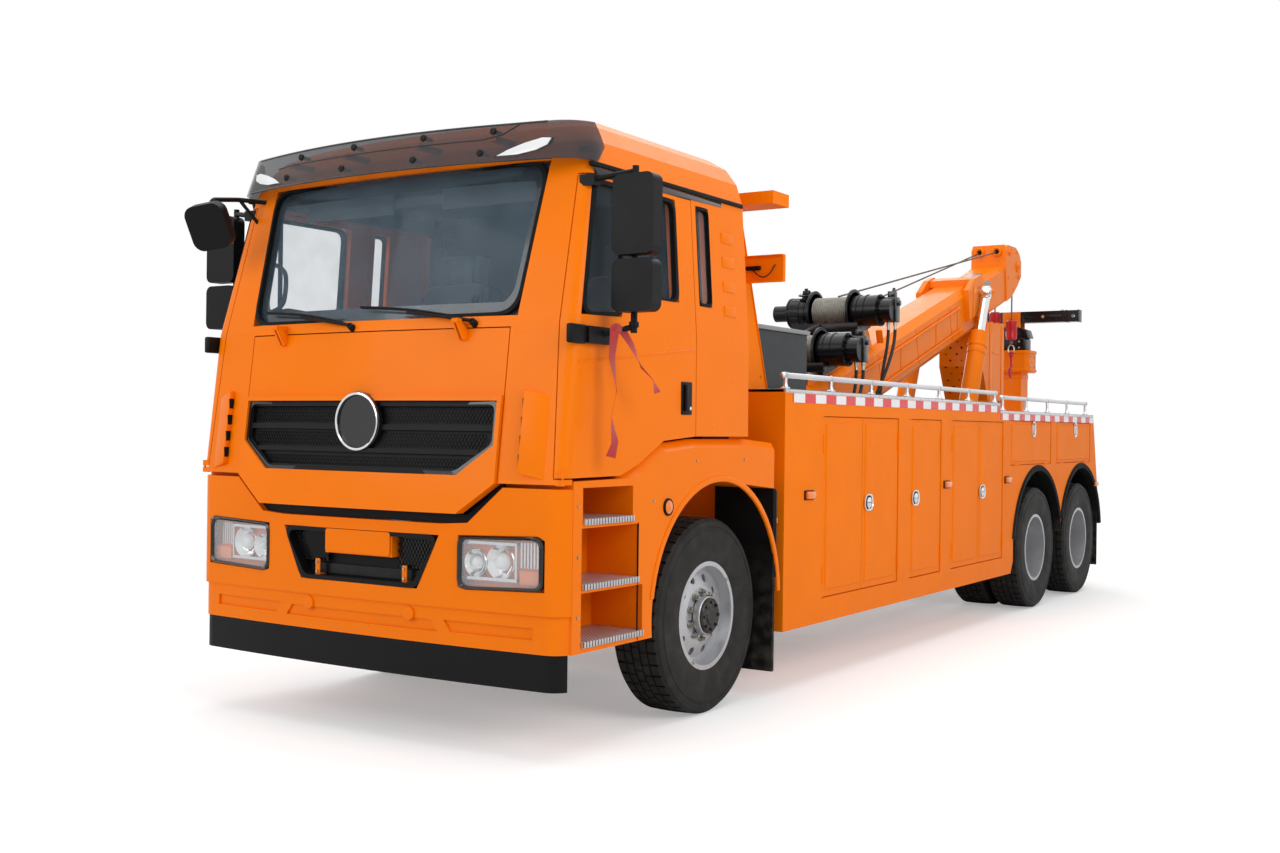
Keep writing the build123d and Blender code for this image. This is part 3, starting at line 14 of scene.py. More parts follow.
import bmesh
import bpy
from mathutils import Matrix, Vector
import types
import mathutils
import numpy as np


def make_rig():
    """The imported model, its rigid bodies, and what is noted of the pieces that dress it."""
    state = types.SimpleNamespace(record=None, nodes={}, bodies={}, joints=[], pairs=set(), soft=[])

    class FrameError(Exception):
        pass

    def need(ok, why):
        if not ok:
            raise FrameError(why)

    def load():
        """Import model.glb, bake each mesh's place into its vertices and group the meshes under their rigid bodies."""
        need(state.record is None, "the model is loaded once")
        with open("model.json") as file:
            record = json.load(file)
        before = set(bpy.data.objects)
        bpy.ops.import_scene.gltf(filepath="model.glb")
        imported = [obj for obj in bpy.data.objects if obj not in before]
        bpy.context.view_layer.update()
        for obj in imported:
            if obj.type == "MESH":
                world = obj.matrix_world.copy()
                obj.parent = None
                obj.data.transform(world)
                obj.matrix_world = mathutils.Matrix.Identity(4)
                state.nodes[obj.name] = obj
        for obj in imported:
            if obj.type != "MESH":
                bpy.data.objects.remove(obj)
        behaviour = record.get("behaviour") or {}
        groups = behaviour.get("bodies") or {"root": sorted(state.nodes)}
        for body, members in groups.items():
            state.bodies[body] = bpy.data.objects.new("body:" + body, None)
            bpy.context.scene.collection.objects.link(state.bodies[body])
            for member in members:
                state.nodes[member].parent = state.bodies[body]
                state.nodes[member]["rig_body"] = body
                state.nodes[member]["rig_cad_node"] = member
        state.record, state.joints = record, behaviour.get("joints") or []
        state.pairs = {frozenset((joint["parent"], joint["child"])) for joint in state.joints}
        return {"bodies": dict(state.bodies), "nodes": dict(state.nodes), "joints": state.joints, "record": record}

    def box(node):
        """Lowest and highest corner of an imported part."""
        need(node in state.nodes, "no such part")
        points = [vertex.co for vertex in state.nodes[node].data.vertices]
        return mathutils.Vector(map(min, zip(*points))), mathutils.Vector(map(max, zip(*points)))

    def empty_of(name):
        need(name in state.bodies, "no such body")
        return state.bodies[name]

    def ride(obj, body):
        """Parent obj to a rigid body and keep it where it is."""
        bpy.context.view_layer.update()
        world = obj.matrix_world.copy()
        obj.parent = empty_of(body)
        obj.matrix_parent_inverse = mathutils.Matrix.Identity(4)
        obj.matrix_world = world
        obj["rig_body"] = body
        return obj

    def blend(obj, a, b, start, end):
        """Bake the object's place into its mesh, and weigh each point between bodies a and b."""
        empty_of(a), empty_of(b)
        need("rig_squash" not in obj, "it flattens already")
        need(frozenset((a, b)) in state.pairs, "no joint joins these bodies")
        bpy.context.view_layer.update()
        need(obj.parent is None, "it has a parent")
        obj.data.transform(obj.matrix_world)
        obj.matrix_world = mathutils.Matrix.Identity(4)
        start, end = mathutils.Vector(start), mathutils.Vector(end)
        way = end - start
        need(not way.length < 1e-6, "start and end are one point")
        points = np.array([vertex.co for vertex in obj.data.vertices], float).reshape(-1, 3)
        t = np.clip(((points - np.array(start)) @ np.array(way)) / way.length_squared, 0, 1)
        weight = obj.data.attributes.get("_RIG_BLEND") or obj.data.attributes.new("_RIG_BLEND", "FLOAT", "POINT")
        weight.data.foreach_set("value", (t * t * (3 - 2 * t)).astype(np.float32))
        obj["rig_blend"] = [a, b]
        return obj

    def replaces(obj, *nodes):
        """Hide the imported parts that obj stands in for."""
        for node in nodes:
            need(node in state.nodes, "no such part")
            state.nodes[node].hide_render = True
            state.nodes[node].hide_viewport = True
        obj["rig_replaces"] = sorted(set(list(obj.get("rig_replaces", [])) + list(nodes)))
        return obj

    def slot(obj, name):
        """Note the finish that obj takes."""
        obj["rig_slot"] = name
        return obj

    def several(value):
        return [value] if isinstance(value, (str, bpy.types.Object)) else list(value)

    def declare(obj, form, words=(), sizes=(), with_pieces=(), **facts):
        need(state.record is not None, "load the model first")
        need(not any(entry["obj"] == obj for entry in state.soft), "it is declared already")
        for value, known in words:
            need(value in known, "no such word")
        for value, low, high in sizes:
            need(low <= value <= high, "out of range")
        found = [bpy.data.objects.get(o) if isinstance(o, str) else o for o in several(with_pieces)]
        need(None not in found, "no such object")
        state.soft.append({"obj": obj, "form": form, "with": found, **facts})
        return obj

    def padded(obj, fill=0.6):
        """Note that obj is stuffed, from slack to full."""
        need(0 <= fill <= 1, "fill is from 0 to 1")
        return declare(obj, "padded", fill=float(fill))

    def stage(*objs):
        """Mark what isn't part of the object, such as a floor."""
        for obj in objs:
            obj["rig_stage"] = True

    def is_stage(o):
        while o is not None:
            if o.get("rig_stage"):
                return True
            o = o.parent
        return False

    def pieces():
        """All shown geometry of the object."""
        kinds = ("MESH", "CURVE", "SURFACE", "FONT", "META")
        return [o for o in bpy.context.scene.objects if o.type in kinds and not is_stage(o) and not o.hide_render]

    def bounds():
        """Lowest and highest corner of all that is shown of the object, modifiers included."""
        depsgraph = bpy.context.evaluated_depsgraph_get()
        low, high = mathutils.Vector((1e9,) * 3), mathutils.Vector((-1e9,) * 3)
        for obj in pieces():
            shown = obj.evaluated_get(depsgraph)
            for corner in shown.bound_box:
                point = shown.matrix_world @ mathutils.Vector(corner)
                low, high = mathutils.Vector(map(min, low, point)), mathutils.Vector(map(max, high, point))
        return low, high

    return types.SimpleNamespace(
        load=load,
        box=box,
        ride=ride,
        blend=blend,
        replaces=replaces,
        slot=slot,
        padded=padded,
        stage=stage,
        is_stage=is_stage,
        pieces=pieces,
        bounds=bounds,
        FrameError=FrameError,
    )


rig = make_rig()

LOG = logging.getLogger("tow_truck")
Colour = tuple[float, float, float]
Point = tuple[float, float, float]
Range = tuple[float, float]

FRONT_AXLE = -3.71
SIZE_FILE = "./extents.json"
MADE: dict[str, bpy.types.Material] = {}


class Side(float, Enum):
    """The vehicle's two sides, each worth the sign of its X."""

    LEFT = 1.0
    RIGHT = -1.0

    def __str__(self) -> str:
        """The side's name, as the pieces' names end."""
        return self.name.lower()


class SeatPart(Enum):
    """The soft parts of a seat."""

    CUSHION = "cushion"
    BACK = "back"
    HEADREST = "headrest"


def at(x: float, y: float, z: float) -> Vector:
    """Moves a place from the front axle's frame to the truck's own."""
    return Vector((x, y + FRONT_AXLE, z))


def ring(centre: Vector, radius: float, count: int, first: float = 0.0) -> list[Vector]:
    """Evenly spaced places round a centre, on a circle across the X axis."""
    turns = [tau * (n + first) / count for n in range(count)]
    return [centre + Vector((0.0, cos(turn), sin(turn))) * radius for turn in turns]


def bowed(x: float, nose: float, half: float, bow: float) -> float:
    """The Y of a bowed front at an X, by its nose, its half width and its bow."""
    radius = (half * half + bow * bow) / (2 * bow)
    return nose + radius - sqrt(max(radius * radius - x * x, 0.0))


class Value:
    """A socket of a material's graph, on which Python's operators add Math nodes."""

    def __init__(self, graph: "Graph", socket: bpy.types.NodeSocket) -> None:
        """Wraps an output socket of the graph."""
        self.graph = graph
        self.socket = socket

    def _math(self, operation: str, first: "Value | float", second: "Value | float") -> "Value":
        """Adds a Math node for one operation on two values."""
        return self.graph.node("ShaderNodeMath", {"operation": operation}, {0: first, 1: second})

    def __add__(self, other: "Value | float") -> "Value":
        """The sum of two values."""
        return self._math("ADD", self, other)

    __radd__ = __add__

    def __mul__(self, other: "Value | float") -> "Value":
        """The product of two values."""
        return self._math("MULTIPLY", self, other)

    __rmul__ = __mul__

    def __sub__(self, other: "Value | float") -> "Value":
        """This value less another."""
        return self._math("SUBTRACT", self, other)

    def __rsub__(self, other: "Value | float") -> "Value":
        """Another value less this one."""
        return self._math("SUBTRACT", other, self)

    def __truediv__(self, other: "Value | float") -> "Value":
        """This value divided by another."""
        return self._math("DIVIDE", self, other)

    def __gt__(self, other: "Value | float") -> "Value":
        """1 where this value is the greater one, and 0 elsewhere."""
        return self._math("GREATER_THAN", self, other)

    def sine(self) -> "Value":
        """The sine of this value."""
        return self._math("SINE", self, 0.0)

    def angle(self, other: "Value") -> "Value":
        """The angle of the point whose height is this value and whose run is the other."""
        return self._math("ARCTAN2", self, other)


class Graph:
    """A material's node graph, built from a few kinds of call."""

    def __init__(self, name: str) -> None:
        """Makes an empty material of that name."""
        self.material = bpy.data.materials.new(name)
        self.material.use_nodes = True
        self.tree = self.material.node_tree
        self.tree.nodes.clear()
        self.output = self.tree.nodes.new("ShaderNodeOutputMaterial")

    def feed(self, socket: bpy.types.NodeSocket, value: object) -> None:
        """Links a value to a socket, or sets the socket's own number, vector or colour."""
        if isinstance(value, Value):
            self.tree.links.new(value.socket, socket)
        elif isinstance(value, tuple) and len(value) == 3 and socket.type == "RGBA":
            socket.default_value = (*value, 1.0)
        else:
            socket.default_value = value

    def node(self, kind: str, settings: dict | None = None, sockets: dict | None = None,
             output: str | int = 0) -> Value:
        """Adds a node.

        Args:
            kind: The node's Blender type.
            settings: The node's own properties, set before its sockets; stops are a ramp's.
            sockets: Numbers, vectors, colours or values by socket name or place.
            output: The output socket that is wanted.

        Returns:
            That output, wrapped.
        """
        node = self.tree.nodes.new(kind)
        for name, value in (settings or {}).items():
            if name == "stops":
                self._ramp(node.color_ramp, value)
            else:
                setattr(node, name, value)
        for name, value in (sockets or {}).items():
            self.feed(node.inputs[name], value)
        return Value(self, node.outputs[output])

    @staticmethod
    def _ramp(ramp: bpy.types.ColorRamp, stops: Sequence[Range]) -> None:
        """Sets a ramp's stops, each a place and a grey."""
        while len(ramp.elements) < len(stops):
            ramp.elements.new(1.0)
        for element, (place, grey) in zip(ramp.elements, stops):
            element.position = place
            element.color = (grey, grey, grey, 1.0)

    def place(self) -> Value:
        """The surface point in the piece's own coordinates, in metres."""
        return self.node("ShaderNodeTexCoord", output="Object")

    def parts(self, vector: Value) -> tuple[Value, Value, Value]:
        """A vector's three parts."""
        split = self.node("ShaderNodeSeparateXYZ", None, {0: vector})
        outputs = split.socket.node.outputs
        return tuple(Value(self, outputs[n]) for n in range(3))

    def noise(self, scale: float, detail: float = 4.0, place: Value | None = None) -> Value:
        """Soft noise between 0 and 1, by its scale in lumps a metre."""
        return self.node("ShaderNodeTexNoise", None,
                         {"Vector": place or self.place(), "Scale": scale, "Detail": detail}, "Fac")

    def ramp(self, value: Value, *stops: tuple[float, float]) -> Value:
        """A value passed through a grey ramp."""
        return self.node("ShaderNodeValToRGB", {"stops": stops}, {"Fac": value})

    def mix(self, factor: Value, first: Value | Colour, second: Value | Colour) -> Value:
        """A blend of two colours."""
        return self.node("ShaderNodeMix", {"data_type": "RGBA"}, {0: factor, 6: first, 7: second}, 2)

    def bump(self, height: Value, distance: float, strength: float = 1.0) -> Value:
        """A normal from a height."""
        return self.node("ShaderNodeBump", None,
                         {"Height": height, "Distance": distance, "Strength": strength})

    def surface(self, **sockets: object) -> bpy.types.Material:
        """Ends the graph in a Principled shader.

        Args:
            sockets: The shader's sockets by name, with underscores for spaces.

        Returns:
            The finished material.
        """
        named = {name.replace("_", " "): value for name, value in sockets.items()}
        shader = self.node("ShaderNodeBsdfPrincipled", None, named)
        self.tree.links.new(shader.socket, self.output.inputs["Surface"])
        return self.material


@dataclass(frozen=True)
class Finish:
    """A finish whose tint and roughness vary softly, with a fine grain and dust near the ground."""

    name: str
    colour: Colour
    roughness: float = 0.45
    metallic: float = 0.0
    mottle: float = 0.12
    mottle_scale: float = 3.0
    grain: float = 0.00005
    grain_scale: float = 600.0
    dust: float = 0.0
    coat: float = 0.0
    gloss: float = 0.3

    def tint(self, graph: Graph) -> Value:
        """The base colour with its slow variation and the dust near the ground."""
        darker = tuple(part * (1.0 - self.mottle) for part in self.colour)
        clouds = graph.ramp(graph.noise(self.mottle_scale), (0.3, 0.0), (0.7, 1.0))
        base = graph.mix(clouds, darker, self.colour)
        if not self.dust:
            return base
        height = graph.parts(graph.place())[2]
        low = graph.ramp(height, (0.0, 1.0), (0.9, 0.0))
        spots = graph.ramp(graph.noise(14.0, 8.0), (0.4, 0.0), (0.75, 1.0))
        return graph.mix(low * spots * self.dust, base, (0.3, 0.26, 0.21))

    def rough(self, graph: Graph) -> Value:
        """The roughness with soft rubbed patches."""
        return graph.noise(9.0, 6.0) * (self.roughness * 0.5) + self.roughness * 0.75

    def normal(self, graph: Graph) -> Value:
        """The normal with the finish's fine grain."""
        return graph.bump(graph.noise(self.grain_scale, 2.0), self.grain)

    def build(self) -> bpy.types.Material:
        """The material, made once and then shared."""
        if self.name not in MADE:
            MADE[self.name] = self.make(Graph(f"{self.name}_finish"))
        return MADE[self.name]

    def make(self, graph: Graph) -> bpy.types.Material:
        """Builds the finish's graph."""
        return graph.surface(Base_Color=self.tint(graph), Roughness=self.rough(graph),
                             Normal=self.normal(graph), Metallic=self.metallic, Specular_IOR_Level=self.gloss,
                             Coat_Weight=self.coat, Coat_Roughness=0.05)


@dataclass(frozen=True)
class GlossPaint(Finish):
    """Sprayed gloss paint: a soft orange peel under a clear coat, with fine dust low down."""

    def normal(self, graph: Graph) -> Value:
        """The long waves of sprayed paint, with its fine peel."""
        peel = graph.noise(60.0, 2.0) + graph.noise(7.0, 1.0) * 3.0
        return graph.bump(peel, 0.0004, 0.35)


@dataclass(frozen=True)
class BrushedMetal(Finish):
    """Bare metal with fine marks drawn along one axis."""

    along: Point = (40.0, 2.0, 40.0)

    def normal(self, graph: Graph) -> Value:
        """Long thin marks."""
        place = graph.node("ShaderNodeMapping", None, {"Vector": graph.place(), "Scale": self.along})
        return graph.bump(graph.noise(12.0, 6.0, place), 0.0003, 0.5)


@dataclass(frozen=True)
class ChequerPlate(Finish):
    """Tread plate with raised round bumps in rows, and holes between them where it is pierced."""

    pitch: float = 0.024
    pierced: float = 1.0

    def make(self, graph: Graph) -> bpy.types.Material:
        """Builds the bumps from two crossed waves."""
        x, y, _ = graph.parts(graph.place())
        turn = tau / self.pitch
        waves = (x * turn).sine() * (y * turn).sine()
        bumps = graph.ramp(waves, (0.35, 0.0), (0.7, 1.0))
        # Painted shade: the holes are tinted near-black for the dark space seen through them.
        holes = graph.ramp(waves * -1.0, (0.55, 0.0), (0.62, 1.0)) * self.pierced
        tint = graph.mix(holes, self.tint(graph), (0.03, 0.03, 0.03))
        return graph.surface(Base_Color=tint, Roughness=self.rough(graph), Metallic=self.metallic,
                             Normal=graph.bump(bumps - holes, 0.003))


@dataclass(frozen=True)
class TyreRubber(Finish):
    """Tyre rubber: matt, dusty, with fine rings on the sidewall."""

    hub: Point = (0.0, 0.0, 0.54)

    def make(self, graph: Graph) -> bpy.types.Material:
        """Builds the rings about the wheel's axis."""
        _, y, z = graph.parts(graph.place())
        run, rise = y - self.hub[1], z - self.hub[2]
        radius = graph.node("ShaderNodeMath", {"operation": "SQRT"}, {0: run * run + rise * rise})
        rings = (radius * 1400.0).sine()
        wall = 1.0 - graph.ramp(radius, (0.49, 0.0), (0.5, 1.0))
        grit = graph.noise(420.0, 5.0)
        dust = graph.ramp(graph.noise(11.0, 8.0), (0.45, 0.0), (0.8, 0.6))
        tint = graph.mix(dust, self.colour, (0.045, 0.042, 0.038))
        height = rings * wall * 0.5 + grit
        return graph.surface(Base_Color=tint, Roughness=self.rough(graph),
                             Normal=graph.bump(height, 0.0006, 0.6), Specular_IOR_Level=0.15)


@dataclass(frozen=True)
class Glazing(Finish):
    """Thin tinted glass: the pane shows what lies behind it, and reflects at its edges."""

    alpha: float = 0.3

    def make(self, graph: Graph) -> bpy.types.Material:
        """Builds the pane, a little smeared."""
        smear = graph.ramp(graph.noise(5.0, 6.0), (0.35, 0.0), (0.8, 0.06))
        return graph.surface(Base_Color=graph.mix(smear, self.colour, (0.3, 0.3, 0.3)),
                             Alpha=smear + self.alpha,
                             Roughness=smear + self.roughness, Specular_IOR_Level=self.gloss)


@dataclass(frozen=True)
class WireRope(Finish):
    """Twisted wire rope along a straight line from a start to an end, with painted shade in its grooves."""

    start: Point = (0.0, 0.0, 0.0)
    end: Point = (0.0, 1.0, 0.0)
    lay: float = 0.07

    def make(self, graph: Graph) -> bpy.types.Material:
        """Builds the strands from the angle about the line and the way along it."""
        axis = Vector(self.end) - Vector(self.start)
        across = axis.orthogonal().normalized()
        third = axis.normalized().cross(across)
        run = graph.node("ShaderNodeVectorMath", {"operation": "SUBTRACT"},
                         {0: graph.place(), 1: self.start})
        parts = [graph.node("ShaderNodeVectorMath", {"operation": "DOT_PRODUCT"}, {0: run, 1: tuple(way)},
                            "Value")
                 for way in (across, third, axis.normalized())]
        turn = parts[0].angle(parts[1]) * 6.0 + parts[2] * (tau / self.lay)
        strands = turn.sine()
        # Painted shade: the troughs between the strands are darkened towards near-black.
        dark = graph.ramp(strands, (0.0, 1.0), (0.6, 0.0))
        tint = graph.mix(dark, self.tint(graph), (0.03, 0.03, 0.03))
        return graph.surface(Base_Color=tint, Roughness=self.rough(graph), Metallic=self.metallic,
                             Normal=graph.bump(strands, 0.003))


@dataclass(frozen=True)
class StripedTape(Finish):
    """Reflective tape in red and white lengths with a fine prism pattern."""

    length: float = 0.15
    upright: float = 0.0

    def make(self, graph: Graph) -> bpy.types.Material:
        """Builds the two colours from the place along the truck."""
        x, y, z = graph.parts(graph.place())
        red = ((z if self.upright else y) * (pi / self.length)).sine() > 0.0
        prism = (y * 900.0).sine() * (z * 900.0).sine() + (x * 900.0).sine()
        tint = graph.mix(red, (0.82, 0.82, 0.82), (0.7, 0.006, 0.014))
        return graph.surface(Base_Color=tint, Roughness=0.25, Normal=graph.bump(prism, 0.0004),
                             Coat_Weight=0.15)


@dataclass(frozen=True)
class Cloth(Finish):
    """Woven cloth with a soft sheen."""

    thread: float = 0.003

    def make(self, graph: Graph) -> bpy.types.Material:
        """Builds the weave from crossed waves."""
        x, y, z = graph.parts(graph.place())
        turn = tau / self.thread
        weave = (x * turn).sine() * (z * turn).sine() + (y * turn).sine()
        return graph.surface(Base_Color=self.tint(graph), Roughness=self.rough(graph),
                             Normal=graph.bump(weave, 0.0005), Sheen_Weight=0.3)


ORANGE: Colour = (0.88, 0.185, 0.001)
CAB_PAINT = GlossPaint("cab_paint", ORANGE, 0.3, mottle=0.04, coat=0.04, dust=0.06, gloss=0.08)
BODY_PAINT = GlossPaint("body_paint", (0.9, 0.195, 0.001), 0.42, mottle=0.05, coat=0.0, dust=0.08, gloss=0.05)
BOOM_PAINT = GlossPaint("boom_paint", (0.89, 0.2, 0.003), 0.36, mottle=0.05, coat=0.04, gloss=0.1)
BLACK_PLASTIC = Finish("black_plastic", (0.006, 0.006, 0.007), 0.42, grain=0.0003, grain_scale=900.0,
                       gloss=0.12)
SATIN_BLACK = Finish("satin_black", (0.005, 0.005, 0.006), 0.26, grain=0.0001, dust=0.3, gloss=0.25)
GLOSS_BLACK = Finish("gloss_black", (0.008, 0.008, 0.009), 0.14, coat=0.5)
FRAME_BLACK = Finish("frame_black", (0.007, 0.007, 0.008), 0.5, grain=0.0002, dust=0.4, gloss=0.12)
TANK_GREY = Finish("tank_grey", (0.016, 0.018, 0.02), 0.38, coat=0.08, gloss=0.2)
RUBBER = Finish("rubber", (0.006, 0.006, 0.006), 0.7, grain=0.0003, grain_scale=300.0, dust=0.3, gloss=0.12)
HOSE = Finish("hose", (0.01, 0.01, 0.01), 0.42, grain=0.0003, grain_scale=1200.0)
CHROME = Finish("chrome", (0.78, 0.79, 0.8), 0.09, 1.0, mottle=0.03, grain=0.00002)
SILVER = Finish("silver_steel", (0.5, 0.51, 0.53), 0.36, 0.55, grain=0.0002, dust=0.3)
ALUMINIUM = BrushedMetal("aluminium", (0.7, 0.7, 0.72), 0.32, 1.0)
ZINC = Finish("zinc", (0.45, 0.44, 0.4), 0.35, 1.0, mottle=0.3, mottle_scale=30.0)
TREAD = ChequerPlate("tread_plate", (0.62, 0.62, 0.64), 0.38, 0.8, dust=0.3)
GLASS = Glazing("glass", (0.22, 0.33, 0.42), 0.02, alpha=0.11, gloss=0.3)
SIDE_GLASS = Glazing("side_glass", (0.1, 0.15, 0.19), 0.03, alpha=0.08, gloss=0.3)
SMOKED = Glazing("smoked_visor", (0.042, 0.043, 0.05), 0.08, alpha=0.66, gloss=0.3)
SMOKED_EDGE = Finish("smoked_edge", (0.03, 0.026, 0.026), 0.15, coat=0.5)
LENS = Glazing("clear_lens", (0.8, 0.83, 0.85), 0.03, alpha=0.16)
AMBER = Finish("amber_lens", (0.86, 0.2, 0.008), 0.16, coat=0.8, grain=0.0006, grain_scale=220.0)
RED_LENS = Finish("red_lens", (0.55, 0.01, 0.012), 0.16, coat=0.8, grain=0.0006, grain_scale=220.0)
CLEAR_WHITE = Finish("white_lens", (0.8, 0.81, 0.82), 0.16, coat=0.8, grain=0.0006, grain_scale=220.0)
RED_STEEL = GlossPaint("red_steel", (0.5, 0.006, 0.008), 0.3, coat=0.1)
GREY_PLASTIC = Finish("grey_plastic", (0.03, 0.032, 0.035), 0.55, grain=0.0004, grain_scale=700.0)
LINING = Cloth("cab_cloth", (0.04, 0.045, 0.052), 0.85, mottle=0.2, thread=0.004)
PAPER = Finish("paper", (0.75, 0.76, 0.77), 0.7, grain=0.0001)
SEAT_CLOTH = Cloth("seat_cloth", (0.05, 0.053, 0.06), 0.8, mottle=0.2)
RIBBON = Cloth("ribbon", (0.66, 0.004, 0.006), 0.5, thread=0.0015)
MIRROR = Finish("mirror", (0.8, 0.82, 0.84), 0.03, 1.0, mottle=0.02, grain=0.0)
TAPE = StripedTape("striped_tape", (0.8, 0.8, 0.8))
RED_TAPE = StripedTape("striped_rear_tape", (0.8, 0.8, 0.8), upright=1.0, length=0.1)
DECK_PLATE = ChequerPlate("deck_plate", (0.3, 0.31, 0.32), 0.42, 0.7, dust=0.0, pierced=0.0, pitch=0.036)
GREY_STEEL = Finish("grey_steel", (0.26, 0.27, 0.28), 0.4, 0.3, dust=0.0)
ROPE_GREY = BrushedMetal("drum_rope", (0.3, 0.285, 0.25), 0.5, 0.7, mottle=0.3, mottle_scale=25.0,
                         along=(30.0, 4.0, 4.0))


class Shape:
    """A mesh under construction from bmesh operators, in the truck's own frame."""

    def __init__(self) -> None:
        """Starts with an empty mesh."""
        self.mesh = bmesh.new()

    def _finish(self, verts: Iterable[bmesh.types.BMVert], edge: float, segments: int) -> None:
        """Rounds the edges of what was just added."""
        if edge <= 0.0:
            return
        edges = {line for vert in verts for line in vert.link_edges}
        bmesh.ops.bevel(self.mesh, geom=list(edges), offset=edge, offset_type="OFFSET", segments=segments,
                        profile=0.5, affect="EDGES", clamp_overlap=True, material=-1)

    def box(self, low: Vector, high: Vector, edge: float = 0.0, segments: int = 2,
            turn: Matrix | None = None) -> "Shape":
        """Adds a box between two corners.

        Args:
            low: The corner with the lowest coordinates.
            high: The corner with the highest.
            edge: How far its edges are rounded.
            segments: Faces across each rounding.
            turn: A turn about the box's own middle.

        Returns:
            This shape.
        """
        size = Vector(high) - Vector(low)
        middle = (Vector(high) + Vector(low)) / 2
        matrix = Matrix.Translation(middle) @ (turn or Matrix.Identity(4)) @ Matrix.Diagonal((*size, 1.0))
        made = bmesh.ops.create_cube(self.mesh, size=1.0, matrix=matrix)
        self._finish(made["verts"], edge, segments)
        return self

    def rod(self, start: Vector, end: Vector, radius: float, tip: float | None = None, sides: int = 20,
            edge: float = 0.0) -> "Shape":
        """Adds a round bar or cone between two points."""
        start, end = Vector(start), Vector(end)
        way = end - start
        turn = Vector((0, 0, 1)).rotation_difference(way).to_matrix().to_4x4()
        made = bmesh.ops.create_cone(self.mesh, cap_ends=True, segments=sides, radius1=radius,
                                     radius2=radius if tip is None else tip, depth=way.length,
                                     matrix=Matrix.Translation((start + end) / 2) @ turn)
        if edge:
            ends = [line for vert in made["verts"] for line in vert.link_edges
                    if any(len(face.verts) == sides for face in line.link_faces)]
            bmesh.ops.bevel(self.mesh, geom=list(set(ends)), offset=edge, segments=2, profile=0.5,
                            affect="EDGES", clamp_overlap=True, material=-1)
        return self

    def ball(self, centre: Vector, radius: float, stretch: Point = (1, 1, 1)) -> "Shape":
        """Adds a ball, which may be stretched."""
        matrix = Matrix.Translation(centre) @ Matrix.Diagonal((*stretch, 1.0))
        bmesh.ops.create_uvsphere(self.mesh, u_segments=16, v_segments=10, radius=radius, matrix=matrix)
        return self

    def spun(self, profile: Sequence[Range], centre: Vector, axis: Vector,
             steps: int = 48) -> "Shape":
        """Adds a turned form.

        Args:
            profile: Points as the way along the axis and the radius.
            centre: The profile's origin on the axis.
            axis: The axis' direction.
            steps: Faces round the form.

        Returns:
            This shape.
        """
        way = Vector(axis).normalized()
        out = way.orthogonal().normalized()
        verts = [self.mesh.verts.new(Vector(centre) + way * run + out * radius) for run, radius in profile]
        edges = [self.mesh.edges.new(pair) for pair in zip(verts, verts[1:])]
        bmesh.ops.spin(self.mesh, geom=verts + edges, cent=centre, axis=way, angle=tau, steps=steps,
                       use_merge=True, use_duplicate=False)
        bmesh.ops.remove_doubles(self.mesh, verts=self.mesh.verts, dist=1e-5)
        return self

    def slab(self, outline: Sequence[Vector], thick: Vector, edge: float = 0.0, segments: int = 2) -> "Shape":
        """Adds a flat outline pushed out along a vector, with rounded edges."""
        verts = [self.mesh.verts.new(point) for point in outline]
        face = self.mesh.faces.new(verts)
        made = bmesh.ops.extrude_face_region(self.mesh, geom=[face])["geom"]
        moved = [part for part in made if isinstance(part, bmesh.types.BMVert)]
        bmesh.ops.translate(self.mesh, verts=moved, vec=thick)
        self._finish(verts + moved, edge, segments)
        return self

    def ringed(self, rows: Sequence[Sequence[Vector]], closed: bool = True) -> "Shape":
        """Adds a skin through a row of point loops, bridged from each loop to the next."""
        loops = []
        for row in rows:
            verts = [self.mesh.verts.new(point) for point in row]
            loops.append([self.mesh.edges.new(pair) for pair in zip(verts, verts[1:] + verts[:1])])
        for first, second in zip(loops, loops[1:] + (loops[:1] if closed else [])):
            bmesh.ops.bridge_loops(self.mesh, edges=first + second)
        if not closed:
            for end in (loops[0], loops[-1]):
                bmesh.ops.edgeloop_fill(self.mesh, edges=end)
        return self

    def piece(self, name: str, finish: Finish, body: str = "chassis", smooth: float = 35.0,
              slot: str | None = None, replaces: Sequence[str] = (),
              bend: tuple[str, Vector, Vector] | None = None) -> bpy.types.Object:
        """Ends the shape as an object that rides on a body.

        Args:
            name: The piece's name.
            finish: Its material.
            body: The CAD body that carries it.
            smooth: Edges sharper than this many degrees stay sharp.
            slot: The record's material slot, where the piece has one.
            replaces: CAD nodes that the piece stands for.
            bend: A second body and the places where the piece starts and ends its turn to it.

        Returns:
            The new object.
        """
        bmesh.ops.recalc_face_normals(self.mesh, faces=self.mesh.faces)
        for edge in self.mesh.edges:
            wide = len(edge.link_faces) == 2 and edge.calc_face_angle(0.0) > radians(smooth)
            edge.smooth = not wide
        for face in self.mesh.faces:
            face.smooth = True
        data = bpy.data.meshes.new(name)
        self.mesh.to_mesh(data)
        self.mesh.free()
        data.materials.append(finish.build())
        made = bpy.data.objects.new(name, data)
        bpy.context.collection.objects.link(made)
        if bend:
            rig.blend(made, body, *bend)
        else:
            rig.ride(made, body)
        if slot:
            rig.slot(made, slot)
        if replaces:
            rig.replaces(made, *replaces)
        LOG.info("%s on %s: %d faces", name, body, len(data.polygons))
        return made

    def side_box(self, side: float, x: Range, y: Range, z: Range, edge: float = 0.0,
                 segments: int = 2) -> "Shape":
        """Adds a box on one side of the truck.

        Args:
            side: The side's sign.
            x: The box's two distances from the truck's middle.
            y: Its range along the truck.
            z: Its range of heights.
            edge: How far its edges are rounded.
            segments: Faces across each rounding.

        Returns:
            This shape.
        """
        low, high = sorted((side * x[0], side * x[1]))
        return self.box(at(low, y[0], z[0]), at(high, y[1], z[1]), edge, segments)

    def stud(self, foot: Vector, way: Point, radius: float, tip: float | None = None, sides: int = 6,
             edge: float = 0.0) -> "Shape":
        """Adds a bolt head or a short round bar that stands on a place along a vector."""
        return self.rod(foot, foot + Vector(way), radius, tip, sides, edge)

